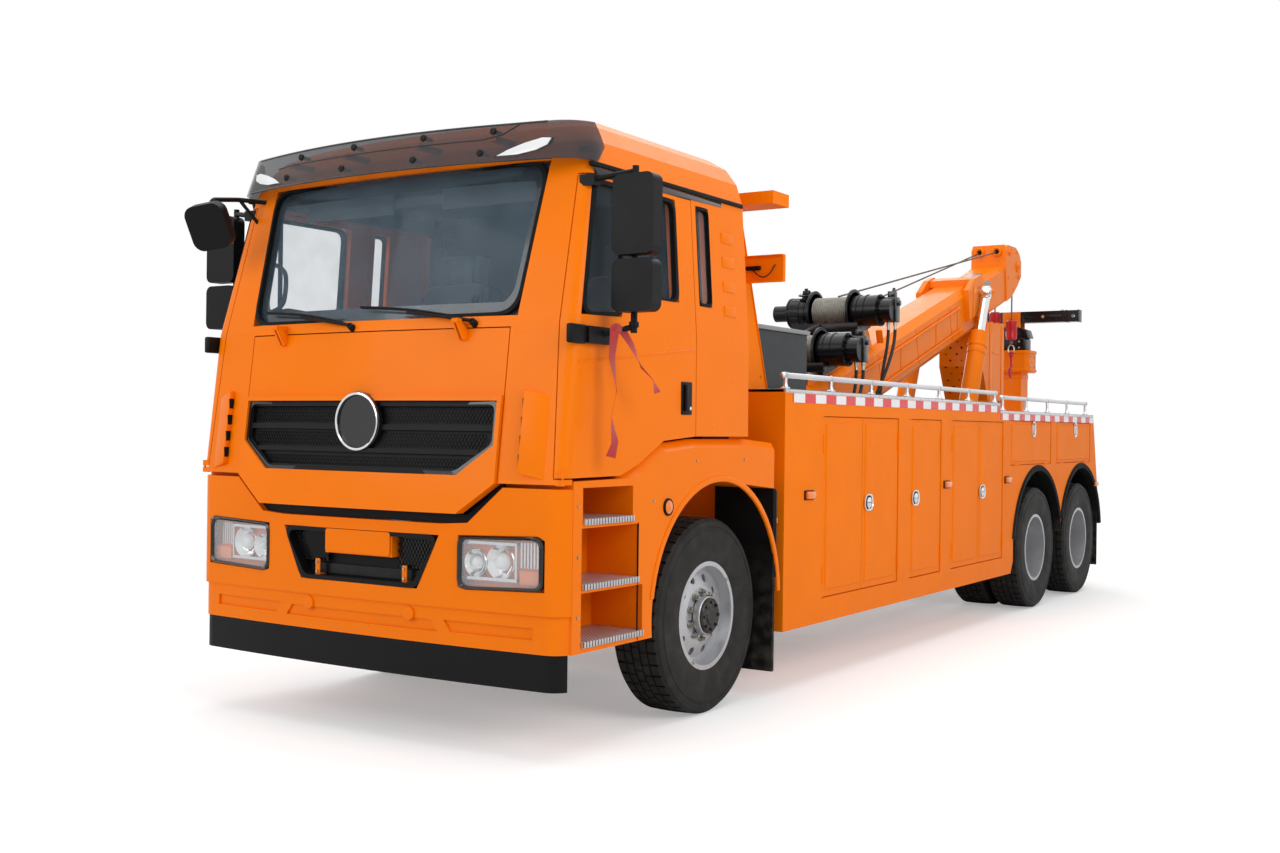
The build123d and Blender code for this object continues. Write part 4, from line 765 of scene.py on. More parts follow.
    def cell(self, place: Vector, size: float, turn: float = 0.0) -> None:
        """Adds one raised hexagon of a honeycomb with its hollow, facing the front."""
        spot = Matrix.Translation(place) @ Matrix.Rotation(pi / 2, 4, "X") @ Matrix.Rotation(turn, 4, "Z")
        made = bmesh.ops.create_circle(self.mesh, cap_ends=True, segments=6, radius=size * 0.47, matrix=spot)
        faces = list({face for vert in made["verts"] for face in vert.link_faces})
        bmesh.ops.inset_individual(self.mesh, faces=faces, thickness=size * 0.14, depth=-0.006)


def hose(name: str, points: Sequence[Vector], radius: float, finish: Finish, body: str = "chassis",
         bend: tuple[str, Vector, Vector] | None = None) -> bpy.types.Object:
    """A smooth hose, wire or bent tube through control points, held by the truck.

    Args:
        name: The piece's name.
        points: The control points.
        radius: The hose's radius.
        finish: Its material.
        body: The CAD body that carries it.
        bend: A second body and the places where the hose starts and ends its turn to it.

    Returns:
        The new object: a curve, or a mesh where it bends with a joint.
    """
    curve = bpy.data.curves.new(name, "CURVE")
    curve.dimensions = "3D"
    curve.bevel_depth = radius
    curve.bevel_resolution = 3
    curve.use_fill_caps = True
    spline = curve.splines.new("NURBS")
    spline.points.add(len(points) - 1)
    for control, point in zip(spline.points, points):
        control.co = (*point, 1.0)
    spline.order_u = 3
    spline.use_endpoint_u = True
    spline.resolution_u = 8
    curve.materials.append(finish.build())
    made = bpy.data.objects.new(name, curve)
    bpy.context.collection.objects.link(made)
    LOG.info("%s on %s: %d control points", name, body, len(points))
    if not bend:
        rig.ride(made, body)
        return made
    mesh = bpy.data.meshes.new_from_object(made)
    mesh.name = name
    bpy.data.objects.remove(made)
    tube = bpy.data.objects.new(name, mesh)
    bpy.context.collection.objects.link(tube)
    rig.blend(tube, body, *bend)
    return tube


@dataclass
class Studio:
    """The camera, the lights, the white surround and the pale floor."""

    place: Point = (4.9753, -10.3201, 1.5684)
    azimuth: float = 32.846
    pitch: float = 0.069
    roll: float = 0.696
    focal_px: float = 1381.065
    width_px: float = 1280.0
    sensor: float = 36.0
    ambient: float = 0.46
    floor_glow: float = 0.32

    def camera(self) -> None:
        """Places the camera where the photograph was taken."""
        turn, tilt, lean = radians(self.azimuth), radians(self.pitch), radians(self.roll)
        ahead = Vector((-sin(turn) * cos(tilt), cos(turn) * cos(tilt), sin(tilt)))
        level = Vector((cos(turn), sin(turn), 0.0))
        above = level.cross(ahead)
        right = level * cos(lean) + above * sin(lean)
        top = above * cos(lean) - level * sin(lean)
        matrix = Matrix((right, top, -ahead)).transposed().to_4x4()
        matrix.translation = self.place
        data = bpy.data.cameras.new("camera")
        data.sensor_width = self.sensor
        data.lens = self.sensor * self.focal_px / self.width_px
        data.clip_end = 200.0
        camera = bpy.data.objects.new("camera", data)
        camera.matrix_world = matrix
        bpy.context.collection.objects.link(camera)
        bpy.context.scene.camera = camera

    def lamp(self, name: str, place: Point, target: Point, size: tuple[float, float], watts: float) -> None:
        """Adds one soft rectangular lamp that faces a target."""
        data = bpy.data.lights.new(name, "AREA")
        data.shape = "RECTANGLE"
        data.size, data.size_y = size
        data.energy = watts
        lamp = bpy.data.objects.new(name, data)
        lamp.location = place
        way = Vector(target) - Vector(place)
        lamp.rotation_euler = way.to_track_quat("-Z", "Y").to_euler()
        bpy.context.collection.objects.link(lamp)

    def lamps(self) -> None:
        """The overhead softbox, the key from the left front, a front fill and a rear lamp."""
        self.lamp("overhead", (0.0, 0.0, 9.0), (0.0, 0.0, 0.0), (9.0, 14.0), 600.0)
        self.lamp("key", (10.0, -6.0, 6.0), (0.0, -1.0, 1.4), (7.0, 5.0), 470.0)
        self.lamp("front", (-3.0, -13.0, 5.0), (0.0, -3.0, 1.4), (8.0, 5.0), 360.0)
        self.lamp("rear", (-7.0, 11.0, 6.0), (0.0, 3.0, 1.4), (8.0, 5.0), 450.0)

    def surround(self) -> None:
        """A white world to the camera and in reflections, and a softer one as light."""
        world = bpy.data.worlds.new("surround")
        world.use_nodes = True
        tree = world.node_tree
        tree.nodes.clear()
        path = tree.nodes.new("ShaderNodeLightPath")
        link = path.outputs["Is Camera Ray"]
        for ray in ("Is Glossy Ray", "Is Transmission Ray"):
            seen = tree.nodes.new("ShaderNodeMath")
            seen.operation = "MAXIMUM"
            tree.links.new(link, seen.inputs[0])
            tree.links.new(path.outputs[ray], seen.inputs[1])
            link = seen.outputs[0]
        backs = []
        for strength in (self.ambient, 1.0):
            back = tree.nodes.new("ShaderNodeBackground")
            back.inputs["Color"].default_value = (1.0, 1.0, 1.0, 1.0)
            back.inputs["Strength"].default_value = strength
            backs.append(back)
        both = tree.nodes.new("ShaderNodeMixShader")
        tree.links.new(link, both.inputs[0])
        tree.links.new(backs[0].outputs[0], both.inputs[1])
        tree.links.new(backs[1].outputs[0], both.inputs[2])
        output = tree.nodes.new("ShaderNodeOutputWorld")
        tree.links.new(both.outputs[0], output.inputs["Surface"])
        bpy.context.scene.world = world

    def floor(self) -> None:
        """A wide pale floor that keeps the truck's soft shadow."""
        mesh = bmesh.new()
        bmesh.ops.create_circle(mesh, cap_ends=True, segments=64, radius=90.0)
        data = bpy.data.meshes.new("floor")
        mesh.to_mesh(data)
        mesh.free()
        graph = Graph("pale_floor")
        clouds = graph.noise(0.6, 3.0)
        shader = graph.node("ShaderNodeBsdfPrincipled", None, {
            "Base Color": graph.mix(clouds, (0.8, 0.8, 0.8), (0.82, 0.82, 0.82)),
            "Roughness": 0.7, "Specular IOR Level": 0.2})
        seen = graph.node("ShaderNodeLightPath", output="Is Camera Ray")
        near = graph.node("ShaderNodeAddShader", None, {
            0: shader, 1: graph.node("ShaderNodeEmission", None,
                                     {"Color": (1.0, 1.0, 1.0), "Strength": seen * self.floor_glow})})
        x, y, _ = graph.parts(graph.place())
        reach = graph.node("ShaderNodeMath", {"operation": "SQRT"}, {0: x * x * 2.2 + y * y * 0.8})
        edge = graph.ramp(reach / 12.0, (0.42, 0.0), (0.95, 1.0))
        white = graph.node("ShaderNodeEmission", None,
                           {"Color": (1.0, 1.0, 1.0), "Strength": seen * 0.2 + 0.8})
        both = graph.node("ShaderNodeMixShader", None, {0: edge, 1: near, 2: white})
        graph.tree.links.new(both.socket, graph.output.inputs["Surface"])
        data.materials.append(graph.material)
        floor = bpy.data.objects.new("floor", data)
        bpy.context.collection.objects.link(floor)
        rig.stage(floor)

    def build(self) -> None:
        """Sets up the whole studio."""
        bpy.context.scene.view_settings.view_transform = "Standard"
        self.camera()
        self.surround()
        self.lamps()
        self.floor()


@dataclass
class Coatings:
    """The finishes of the CAD nodes that are shown as they are."""

    plan: dict[str, Finish] = field(default_factory=lambda: {
        "cab_shell": CAB_PAINT, "front_panel": CAB_PAINT, "bumper": CAB_PAINT, "fenders": CAB_PAINT,
        "door_left": CAB_PAINT, "door_right": CAB_PAINT, "deck_body": BODY_PAINT, "gantry": BODY_PAINT,
        "boom": BOOM_PAINT, "boom_extension": BOOM_PAINT, "sheave_blocks": BOOM_PAINT,
        "underlift_mast": BOOM_PAINT, "underlift_slide": BOOM_PAINT, "underlift_arm": BOOM_PAINT,
        "front_grille": BLACK_PLASTIC, "bumper_lip": BLACK_PLASTIC, "mirror_left": BLACK_PLASTIC,
        "mirror_right": BLACK_PLASTIC, "kerb_mirror": BLACK_PLASTIC, "chassis_frame": FRAME_BLACK,
        "axles": FRAME_BLACK, "knuckle_left": FRAME_BLACK, "knuckle_right": FRAME_BLACK,
        "engine_block": FRAME_BLACK, "winches": SATIN_BLACK, "crossbar": SATIN_BLACK,
        "oil_tank": TANK_GREY, "lift_barrels": BOOM_PAINT, "lift_rods": CHROME, "cab_glass": GLASS,
        "door_glass_left": SIDE_GLASS, "door_glass_right": SIDE_GLASS, "sun_visor": SMOKED,
        "lamps": LENS, "bright_trim": ALUMINIUM, "mud_flaps": RUBBER, "cab_interior": GREY_PLASTIC,
        "rim_front_left": SILVER, "rim_front_right": SILVER,
    })

    def paint(self, node: str, finish: Finish) -> None:
        """Gives a CAD node its finish."""
        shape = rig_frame()["nodes"][node]
        if not shape.material_slots:
            shape.data.materials.append(None)
        for place in shape.material_slots:
            place.material = finish.build()

    def build(self) -> None:
        """Coats every node in the plan, and the locker leaves."""
        for node, finish in self.plan.items():
            self.paint(node, finish)
        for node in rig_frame()["nodes"]:
            if node.startswith("locker_"):
                self.paint(node, BODY_PAINT)


FRAME: dict = {}


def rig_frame() -> dict:
    """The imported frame, loaded once."""
    if not FRAME:
        FRAME.update(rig.load())
    return FRAME


@dataclass
class Wheel:
    """One tyre with its tread, built on a wheel's own axis."""

    radius: float = 0.54
    width: float = 0.3
    bead: float = 0.2853
    groove: float = 0.016
    steps: int = 240
    pitch: int = 5

    def profile(self) -> list[tuple[float, float]]:
        """The tyre's section: sidewalls with their beads, shoulders and four grooves."""
        half, top = self.width / 2, self.radius
        wall = [(half - 0.035, self.bead), (half - 0.018, self.bead + 0.012), (half - 0.01, 0.33),
                (half - 0.002, 0.375), (half, 0.43), (half - 0.003, 0.47), (half - 0.007, 0.474),
                (half - 0.008, 0.488), (half - 0.004, 0.492), (half - 0.008, 0.518),
                (half - 0.026, top - 0.008)]
        ribs = []
        for start, end in ((-0.122, -0.078), (-0.068, -0.03), (-0.02, 0.02), (0.03, 0.068), (0.078, 0.122)):
            crown = [top - 0.0035 * (abs(x) / 0.122) ** 2 - 0.0003 for x in (start, end)]
            ribs += [(start, crown[0]), (end, crown[1])]
            if end < 0.1:
                ribs += [(end + 0.002, top - self.groove), (end + 0.008, top - self.groove)]
        return [(-x, r) for x, r in wall] + ribs + list(reversed(wall))

    def tread(self, shape: Shape, centre: Vector) -> None:
        """Cuts the cross grooves: every few steps a narrow face of each rib sinks in."""
        axis_y, axis_z = centre.y, centre.z
        floor = self.radius - 0.006
        sunk = []
        for face in shape.mesh.faces:
            middle = face.calc_center_median()
            run, rise = middle.y - axis_y, middle.z - axis_z
            if hypot(run, rise) < floor:
                continue
            across = middle.x - centre.x
            step = int((atan2(rise, run) / tau + 1.0) * self.steps)
            shift = 2 if abs(across) < 0.025 else 0
            if (step + shift) % self.pitch == 0 and abs(across) < 0.125:
                sunk.append(face)
        made = bmesh.ops.extrude_discrete_faces(shape.mesh, faces=sunk)["faces"]
        for face in made:
            depth = 0.012 if abs(face.calc_center_median().x - centre.x) > 0.07 else 0.006
            for vert in face.verts:
                way = Vector((0.0, vert.co.y - axis_y, vert.co.z - axis_z)).normalized()
                vert.co -= way * depth

    def build(self, name: str, centre: Vector, body: str, replaces: Sequence[str] = ()) -> None:
        """Makes the tyre about a centre on its axle."""
        shape = Shape().spun(self.profile(), centre, Vector((1, 0, 0)), self.steps)
        self.tread(shape, centre)
        finish = TyreRubber(f"rubber_{name}", (0.018, 0.0175, 0.017), 0.62, hub=tuple(centre))
        shape.piece(name, finish, body, 30.0, "tyre", replaces)


@dataclass
class Wheels:
    """All ten tyres, the twin rims, the wheel nuts and the hubs."""

    hub_z: float = 0.54
    front_x: float = 1.03
    outer_x: float = 1.095
    inner_x: float = 0.75
    rear_y: tuple[float, float] = (5.775, 7.175)
    nuts: int = 10

    def nut_ring(self, shape: Shape, centre: Vector, side: float, circle: float, height: float) -> None:
        """Adds the nuts with their studs round a hub."""
        way = Vector((side, 0.0, 0.0))
        for foot in ring(centre, circle, self.nuts, 0.5):
            shape.rod(foot, foot + way * height, 0.017, 0.016, 6, 0.001)
            shape.rod(foot, foot + way * (height + 0.012), 0.01, 0.01, 10)
            shape.rod(foot - way * 0.002, foot + way * 0.004, 0.023, 0.022, 16)

    def hub(self, name: str, body: str, shape: Shape, bolts: list[Vector], axis: Vector) -> None:
        """Ends a hub's turned cap with its ring of bolts."""
        for foot in bolts:
            shape.stud(foot, axis * 0.01, 0.009, 0.009)
        shape.piece(name, SATIN_BLACK, body)

    def front(self, side: Side) -> None:
        """The front tyre, nuts, hub cap and balance weights on one side."""
        body = f"wheel_front_{side}"
        centre = at(side * self.front_x, 0.0, self.hub_z)
        axis = Vector((side, 0.0, 0.0))
        Wheel().build(f"front_tyre_{side}", centre, body, [f"tyre_front_{side}"])
        bolts = Shape()
        self.nut_ring(bolts, centre + axis * 0.09, side, 0.13, 0.026)
        bolts.piece(f"front_nuts_{side}", ZINC, body)
        cap = Shape().spun([(0.092, 0.108), (0.104, 0.112), (0.112, 0.104), (0.152, 0.098), (0.16, 0.088),
                            (0.16, 0.052), (0.166, 0.046), (0.166, 0.0)], centre, axis, 40)
        self.hub(f"front_hub_{side}", body, cap, ring(centre + axis * 0.158, 0.074, 8), axis)
        weights = Shape()
        places = ring(centre + axis * 0.133, 0.279, 9)
        for foot in (places[1], places[6]):
            weights.box(foot - Vector((0.006, 0.01, 0.01)), foot + Vector((0.006, 0.01, 0.01)), 0.003)
        weights.piece(f"balance_weights_{side}", ZINC, body)

    def rim_islands(self, node: str) -> bmesh.types.BMesh:
        """A merged copy of a twin set's mesh without its tyres."""
        mesh = bmesh.new()
        mesh.from_mesh(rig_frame()["nodes"][node].data)
        bmesh.ops.remove_doubles(mesh, verts=mesh.verts, dist=0.00002)
        low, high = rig.box(node)
        axis_y, axis_z = (low[1] + high[1]) / 2, (low[2] + high[2]) / 2
        seen: set = set()
        drop = []
        for start in mesh.verts:
            if start in seen:
                continue
            island, queue = [], [start]
            seen.add(start)
            while queue:
                vert = queue.pop()
                island.append(vert)
                for edge in vert.link_edges:
                    other = edge.other_vert(vert)
                    if other not in seen:
                        seen.add(other)
                        queue.append(other)
            if max(hypot(v.co.y - axis_y, v.co.z - axis_z) for v in island) > 0.4:
                drop += island
        bmesh.ops.delete(mesh, geom=drop, context="VERTS")
        return mesh

    def rear(self, number: int, side: Side) -> None:
        """One twin set: two tyres, the rims, the nuts and the hub."""
        body = f"wheels_rear_{number}_{side}"
        y = self.rear_y[number - 1]
        outer = at(side * self.outer_x, y, self.hub_z)
        Wheel().build(f"outer_tyre_{number}_{side}", outer, body, [body])
        Wheel().build(f"inner_tyre_{number}_{side}", at(side * self.inner_x, y, self.hub_z), body)
        rims = Shape()
        rims.mesh.free()
        rims.mesh = self.rim_islands(body)
        rims.piece(f"twin_rims_{number}_{side}", SILVER, body, 35.0, "rim")
        axis = Vector((side, 0.0, 0.0))
        meet = at(side * 0.9325, y, self.hub_z)
        bolts = Shape()
        self.nut_ring(bolts, meet, side, 0.158, 0.03)
        bolts.piece(f"rear_nuts_{number}_{side}", ZINC, body)
        cap = Shape().spun([(0.0, 0.132), (0.05, 0.134), (0.06, 0.126), (0.14, 0.119), (0.149, 0.108),
                            (0.149, 0.06), (0.156, 0.052), (0.156, 0.0)], meet, axis, 40)
        self.hub(f"rear_hub_{number}_{side}", body, cap, ring(meet + axis * 0.146, 0.09, 10), axis)

    def build(self) -> None:
        """Makes every wheel."""
        for side in Side:
            self.front(side)
            for number in (1, 2):
                self.rear(number, side)


def rounded(outline: Sequence[Range], radius: float, steps: int = 6) -> list[tuple[float, float]]:
    """A flat outline with round corners.

    Args:
        outline: The corners in two directions.
        radius: The corners' radius.
        steps: Points round each corner.

    Returns:
        The outline's points.
    """
    made = []
    count = len(outline)
    for n, corner in enumerate(outline):
        here = Vector(corner)
        back = (Vector(outline[n - 1]) - here).normalized()
        ahead = (Vector(outline[(n + 1) % count]) - here).normalized()
        reach = radius / max(0.2, (1.0 - back.dot(ahead)) / 2.0) ** 0.5 * 0.9
        for step in range(steps + 1):
            t = step / steps
            first, last = here + back * reach, here + ahead * reach
            made.append(tuple(first * (1 - t) ** 2 + here * 2 * t * (1 - t) + last * t ** 2))
    return made


@dataclass
class CabForm:
    """The cab's outer surface, from the same sections as the frame's."""

    sections: tuple[tuple[float, float, float, float], ...] = (
        (1.15, -1.57, 0.085, 1.245), (2.06, -1.462, 0.085, 1.241), (2.835, -1.281, 0.1, 1.19),
        (2.96, -1.238, 0.104, 1.15), (3.05, -1.18, 0.108, 1.085), (3.108, -1.085, 0.11, 0.99),
        (3.14, -0.94, 0.11, 0.85))

    def at_height(self, z: float) -> tuple[float, float, float]:
        """The nose's place, the bow and the half width at a height."""
        rows = self.sections
        low, high = next(((a, b) for a, b in zip(rows, rows[1:]) if z <= b[0]), (rows[-2], rows[-1]))
        share = (z - low[0]) / (high[0] - low[0])
        return tuple(a + (b - a) * share for a, b in zip(low[1:], high[1:]))

    def front(self, x: float, z: float, out: float = 0.0) -> Vector:
        """A point on the bowed front, moved out by a distance."""
        nose, bow, half = self.at_height(z)
        return at(x, bowed(x, nose, half, bow) - out, z)

    def side(self, y: float, z: float, sign: float, out: float = 0.0) -> Vector:
        """A point on a cab side, moved out by a distance."""
        return at(sign * (self.at_height(z)[2] + out), y, z)


CAB = CabForm()


def wrapped(shape: Shape, face: Callable[[float, float, float], Vector], outline: Sequence[Range], out: float,
            thick: float, strips: int) -> Shape:
    """Adds a thin panel that follows a bowed face.

    Args:
        shape: The shape that takes it.
        face: Gives the face's point for an X, a Z and a distance outwards.
        outline: The panel's corners in X and Z.
        out: How far its face stands out.
        thick: Its thickness.
        strips: The upright strips that it is cut into.

    Returns:
        The shape.
    """
    mesh = shape.mesh
    flat = mesh.faces.new([mesh.verts.new((x, 0.0, z)) for x, z in outline])
    parts = [flat, *flat.verts, *flat.edges]
    low, high = min(x for x, _ in outline), max(x for x, _ in outline)
    for n in range(1, strips):
        parts = bmesh.ops.bisect_plane(mesh, geom=parts, plane_co=(low + (high - low) * n / strips, 0, 0),
                                       plane_no=(1, 0, 0))["geom"]
    faces = [part for part in parts if isinstance(part, bmesh.types.BMFace) and part.is_valid]
    made = bmesh.ops.extrude_face_region(mesh, geom=faces)["geom"]
    outer = {part for part in made if isinstance(part, bmesh.types.BMVert)}
    inner = {vert for one in faces if one.is_valid for vert in one.verts} - outer
    for group, way in ((outer, out), (inner, out - thick)):
        for vert in group:
            vert.co = face(vert.co.x, vert.co.z, way)
    return shape


def front_frame(shape: Shape, outline: Sequence[Range], width: float, out: float,
                thick: float) -> None:
    """Adds a closed frame of an even width that follows the bowed front."""
    middle = Vector((0.0, sum(z for _, z in outline) / len(outline)))
    rows = []
    for x, z in outline:
        way = (middle - Vector((x, z)))
        inward = Vector((x, z)) + Vector((way.x / max(abs(way.x), 0.3),
                                          way.y / max(abs(way.y), 0.12))) * width
        rows.append([CAB.front(x, z, out - thick), CAB.front(x, z, out), CAB.front(*inward, out),
                     CAB.front(*inward, out - thick)])
    shape.ringed(rows)


@dataclass
class CabFront:
    """The windshield's border and wipers, the grille, the round disc and the corner vents."""

    glass_corners: tuple[Range, ...] = ((-0.913, 2.102), (0.913, 2.102), (0.953, 2.866), (-0.953, 2.866))
    disc_z: float = 1.585
    disc_radius: float = 0.15

    def windshield(self) -> None:
        """The black border behind the glass's edge and the rubber seal round it."""
        edge = rounded(self.glass_corners, 0.09)
        seal = Shape()
        front_frame(seal, edge, 0.016, 0.004, 0.03)
        seal.piece("windshield_seal", RUBBER)
        border = Shape()
        front_frame(border, rounded([(x * 0.99, z) for x, z in self.glass_corners], 0.09), 0.055, -0.0285,
                    0.002)
        border.piece("windshield_border", GLOSS_BLACK)
        shade = Shape()
        wrapped(shade, CAB.front, [(-0.935, 2.775), (0.935, 2.775), (0.94, 2.865), (-0.94, 2.865)], -0.0285,
                0.002, 37)
        wrapped(shade, CAB.front, [(-0.905, 2.104), (0.905, 2.104), (0.907, 2.17), (-0.907, 2.17)], -0.0285,
                0.002, 36)
        shade.piece("windshield_shade", GLOSS_BLACK)

    def wiper(self, name: str, pivot: float, tip: float) -> None:
        """One wiper: its arm, blade and spring."""
        z_low, z_high = 2.078, 2.165
        base = CAB.front(pivot, z_low, 0.03)
        mid = CAB.front(pivot + (tip - pivot) * 0.45, z_low + 0.045, 0.035)
        end = CAB.front(pivot + (tip - pivot) * 0.55, z_high - 0.035, 0.028)
        arm = Shape().rod(CAB.front(pivot, z_low - 0.02, -0.01), base, 0.02, 0.016, 16, 0.002)
        arm.rod(base, mid, 0.009, 0.007, 8).rod(mid, end, 0.006, 0.006, 8)
        arm.box(mid - Vector((0.025, 0.006, 0.008)), mid + Vector((0.025, 0.006, 0.008)), 0.003)
        reach = (tip - pivot)
        count = 14
        points = [CAB.front(pivot + reach * (0.1 + 0.9 * n / count), z_low + 0.018 + 0.075 * n / count
                            + 0.012 * sin(pi * n / count), 0.014) for n in range(count + 1)]
        for a, b in zip(points, points[1:]):
            arm.rod(a, b, 0.0065, 0.0065, 6)
            arm.rod(a - Vector((0, -0.01, 0.006)), b - Vector((0, -0.01, 0.006)), 0.004, 0.004, 6)
        arm.piece(name, BLACK_PLASTIC)

    def honeycomb(self, shape: Shape, z_low: float, z_high: float, x_low: float, x_high: float,
                  out: float, skip: float = 0.0, cell: float = 0.021) -> None:
        """Adds rows of raised hexagons that follow the bowed front between two heights."""
        rise = cell * 0.866
        rows = int((z_high - z_low) / rise)
        for row in range(rows):
            z = z_low + rise * (row + 0.5)
            shift = cell / 2 if row % 2 else 0.0
            count = int((x_high - x_low) / cell)
            for n in range(count):
                x = x_low + cell * (n + 0.5) + shift
                if x > x_high - cell * 0.4 or (skip and hypot(x, z - self.disc_z) < skip):
                    continue
                shape.cell(CAB.front(x, z, out), cell, pi / 6)

    def grille(self) -> None:
        """The honeycomb bands, the round disc and the outer frame's lip."""
        mesh = Shape()
        for z_low, z_high, half in ((1.578, 1.672, 0.82), (1.458, 1.538, 0.8), (1.355, 1.424, 0.69)):
            self.honeycomb(mesh, z_low, z_high, -half, half, -0.022, 0.165)
        mesh.piece("grille_honeycomb", GLOSS_BLACK, "front_panel")
        lip = Shape()
        edge = rounded(((-0.659, 1.333), (0.659, 1.333), (0.857, 1.48), (0.857, 1.691), (-0.857, 1.691),
                        (-0.857, 1.48)), 0.03, 4)
        front_frame(lip, edge, 0.018, 0.006, 0.02)
        lip.piece("grille_lip", GLOSS_BLACK, "front_panel")
        disc = Shape()
        centre = CAB.front(0.0, self.disc_z, -0.01)
        disc.spun([(0.0, self.disc_radius), (0.024, self.disc_radius), (0.032, self.disc_radius - 0.006),
                    (0.03, self.disc_radius - 0.016), (0.02, self.disc_radius - 0.02),
                    (0.018, 0.0)], centre, Vector((0, -1, 0)), 64)
        disc.piece("grille_disc", GLOSS_BLACK, "front_panel")
        rim = Shape()
        rim.spun([(0.02, self.disc_radius - 0.001), (0.034, self.disc_radius - 0.004),
                  (0.036, self.disc_radius - 0.01), (0.033, self.disc_radius - 0.015),
                  (0.022, self.disc_radius - 0.017), (0.02, self.disc_radius - 0.001)], centre,
                  Vector((0, -1, 0)), 64)
        rim.piece("grille_disc_rim", CHROME, "front_panel")

    def corner_vents(self, side: Side) -> None:
        """The corner's air deflector: a plate raised at its inner edge, its wall's four slots in painted shade."""
        plate, slots = Shape(), Shape()
        inner, outer, proud = 1.01, 1.135, 0.034
        corners = ((inner, 1.35, proud), (outer, 1.32, 0.004), (outer, 1.715, 0.004), (inner, 1.745, proud))
        plate.slab([CAB.front(side * x, z, out) for x, z, out in corners], Vector((0.0, 0.04, 0.0)), 0.008, 3)
        plate.piece(f"deflector_{side}", CAB_PAINT)
        # Painted shade: black boxes on the raised wall stand for the dark insides of the slots.
        for n in range(4):
            z = 1.385 + n * 0.088
            face = CAB.front(side * inner, z, 0.0)
            xs = sorted((face.x - side * 0.0015, face.x + side * 0.004))
            slots.box(Vector((xs[0], face.y - 0.027, z)), Vector((xs[1], face.y + 0.004, z + 0.054)), 0.001)
        slots.piece(f"vent_slots_{side}", BLACK_PLASTIC)

    def visor_face(self, x: float, z: float, out: float = 0.0) -> Vector:
        """A point on the smoked visor's front."""
        share = (z - 2.85) / 0.195
        return at(x, bowed(x, -1.45 + 0.055 * share, 1.195 - 0.03 * share, 0.17) - out, z)

    def visor(self) -> None:
        """The visor's studs, its crease, its raised upper lip and the pointed lamps in its ends."""
        studs, crease, lens, bed = Shape(), Shape(), Shape(), Shape()
        for x, z in ((-0.602, 3.003), (-0.176, 3.008), (0.296, 3.008), (0.703, 3.008), (-0.697, 2.899),
                     (-0.236, 2.898),
                     (0.257, 2.896), (0.653, 2.9)):
            studs.rod(self.visor_face(x, z, -0.004), self.visor_face(x, z, 0.009), 0.019, 0.016, 20, 0.003)
            studs.rod(self.visor_face(x, z, -0.06), self.visor_face(x, z, -0.008), 0.011, sides=12)
        studs.piece("visor_studs", BLACK_PLASTIC)
        for line, tall in (((-0.8, 2.962), (-0.7, 2.97), (0.652, 2.97), (0.76, 2.99), (0.842, 3.036)),
                           0.005), \
                (((-1.02, 3.04), (0.8, 3.04), (0.98, 3.042)), 0.006), (((-1.04, 2.853), (1.04, 2.853)),
                                                                       0.006):
            points = []
            for (x0, z0), (x1, z1) in zip(line, line[1:]):
                steps = max(2, int(abs(x1 - x0) / 0.06))
                points += [(x0 + (x1 - x0) * n / steps, z0 + (z1 - z0) * n / steps) for n in range(steps)]
            points.append(line[-1])
            rows = [[self.visor_face(x, z - tall, -0.002), self.visor_face(x, z - tall * 0.5, 0.004),
                     self.visor_face(x, z + tall * 0.5, 0.004), self.visor_face(x, z + tall, -0.002)] for x,
                     z in points]
            crease.ringed(rows, closed=False)
        crease.piece("visor_crease", SMOKED_EDGE)
        edge = ((0.735, 2.872), (0.8, 2.905), (0.89, 2.938), (0.985, 2.962), (1.035, 2.958), (1.02, 2.92),
                (0.96, 2.893),
                (0.86, 2.874))
        for side in Side:
            for shape, out, thick, shrink in ((bed, 0.003, 0.008, 1.0), (lens, 0.008, 0.006, 0.9)):
                middle = Vector((0.9, 2.915))
                points = [middle + (Vector(p) - middle) * shrink for p in edge]
                shape.slab([self.visor_face(side * p.x, p.y, out) for p in points], Vector((0, thick, 0)),
                           0.002)
        bed.piece("visor_lamp_beds", GLOSS_BLACK)
        lens.piece("visor_lamps", CLEAR_WHITE)

    def build(self) -> None:
        """Makes everything on the cab's front."""
        self.windshield()
        self.wiper("wiper_left", 0.677, -0.067)
        self.wiper("wiper_right", -0.111, -0.802)
        self.visor()
        self.grille()
        for side in Side:
            self.corner_vents(side)


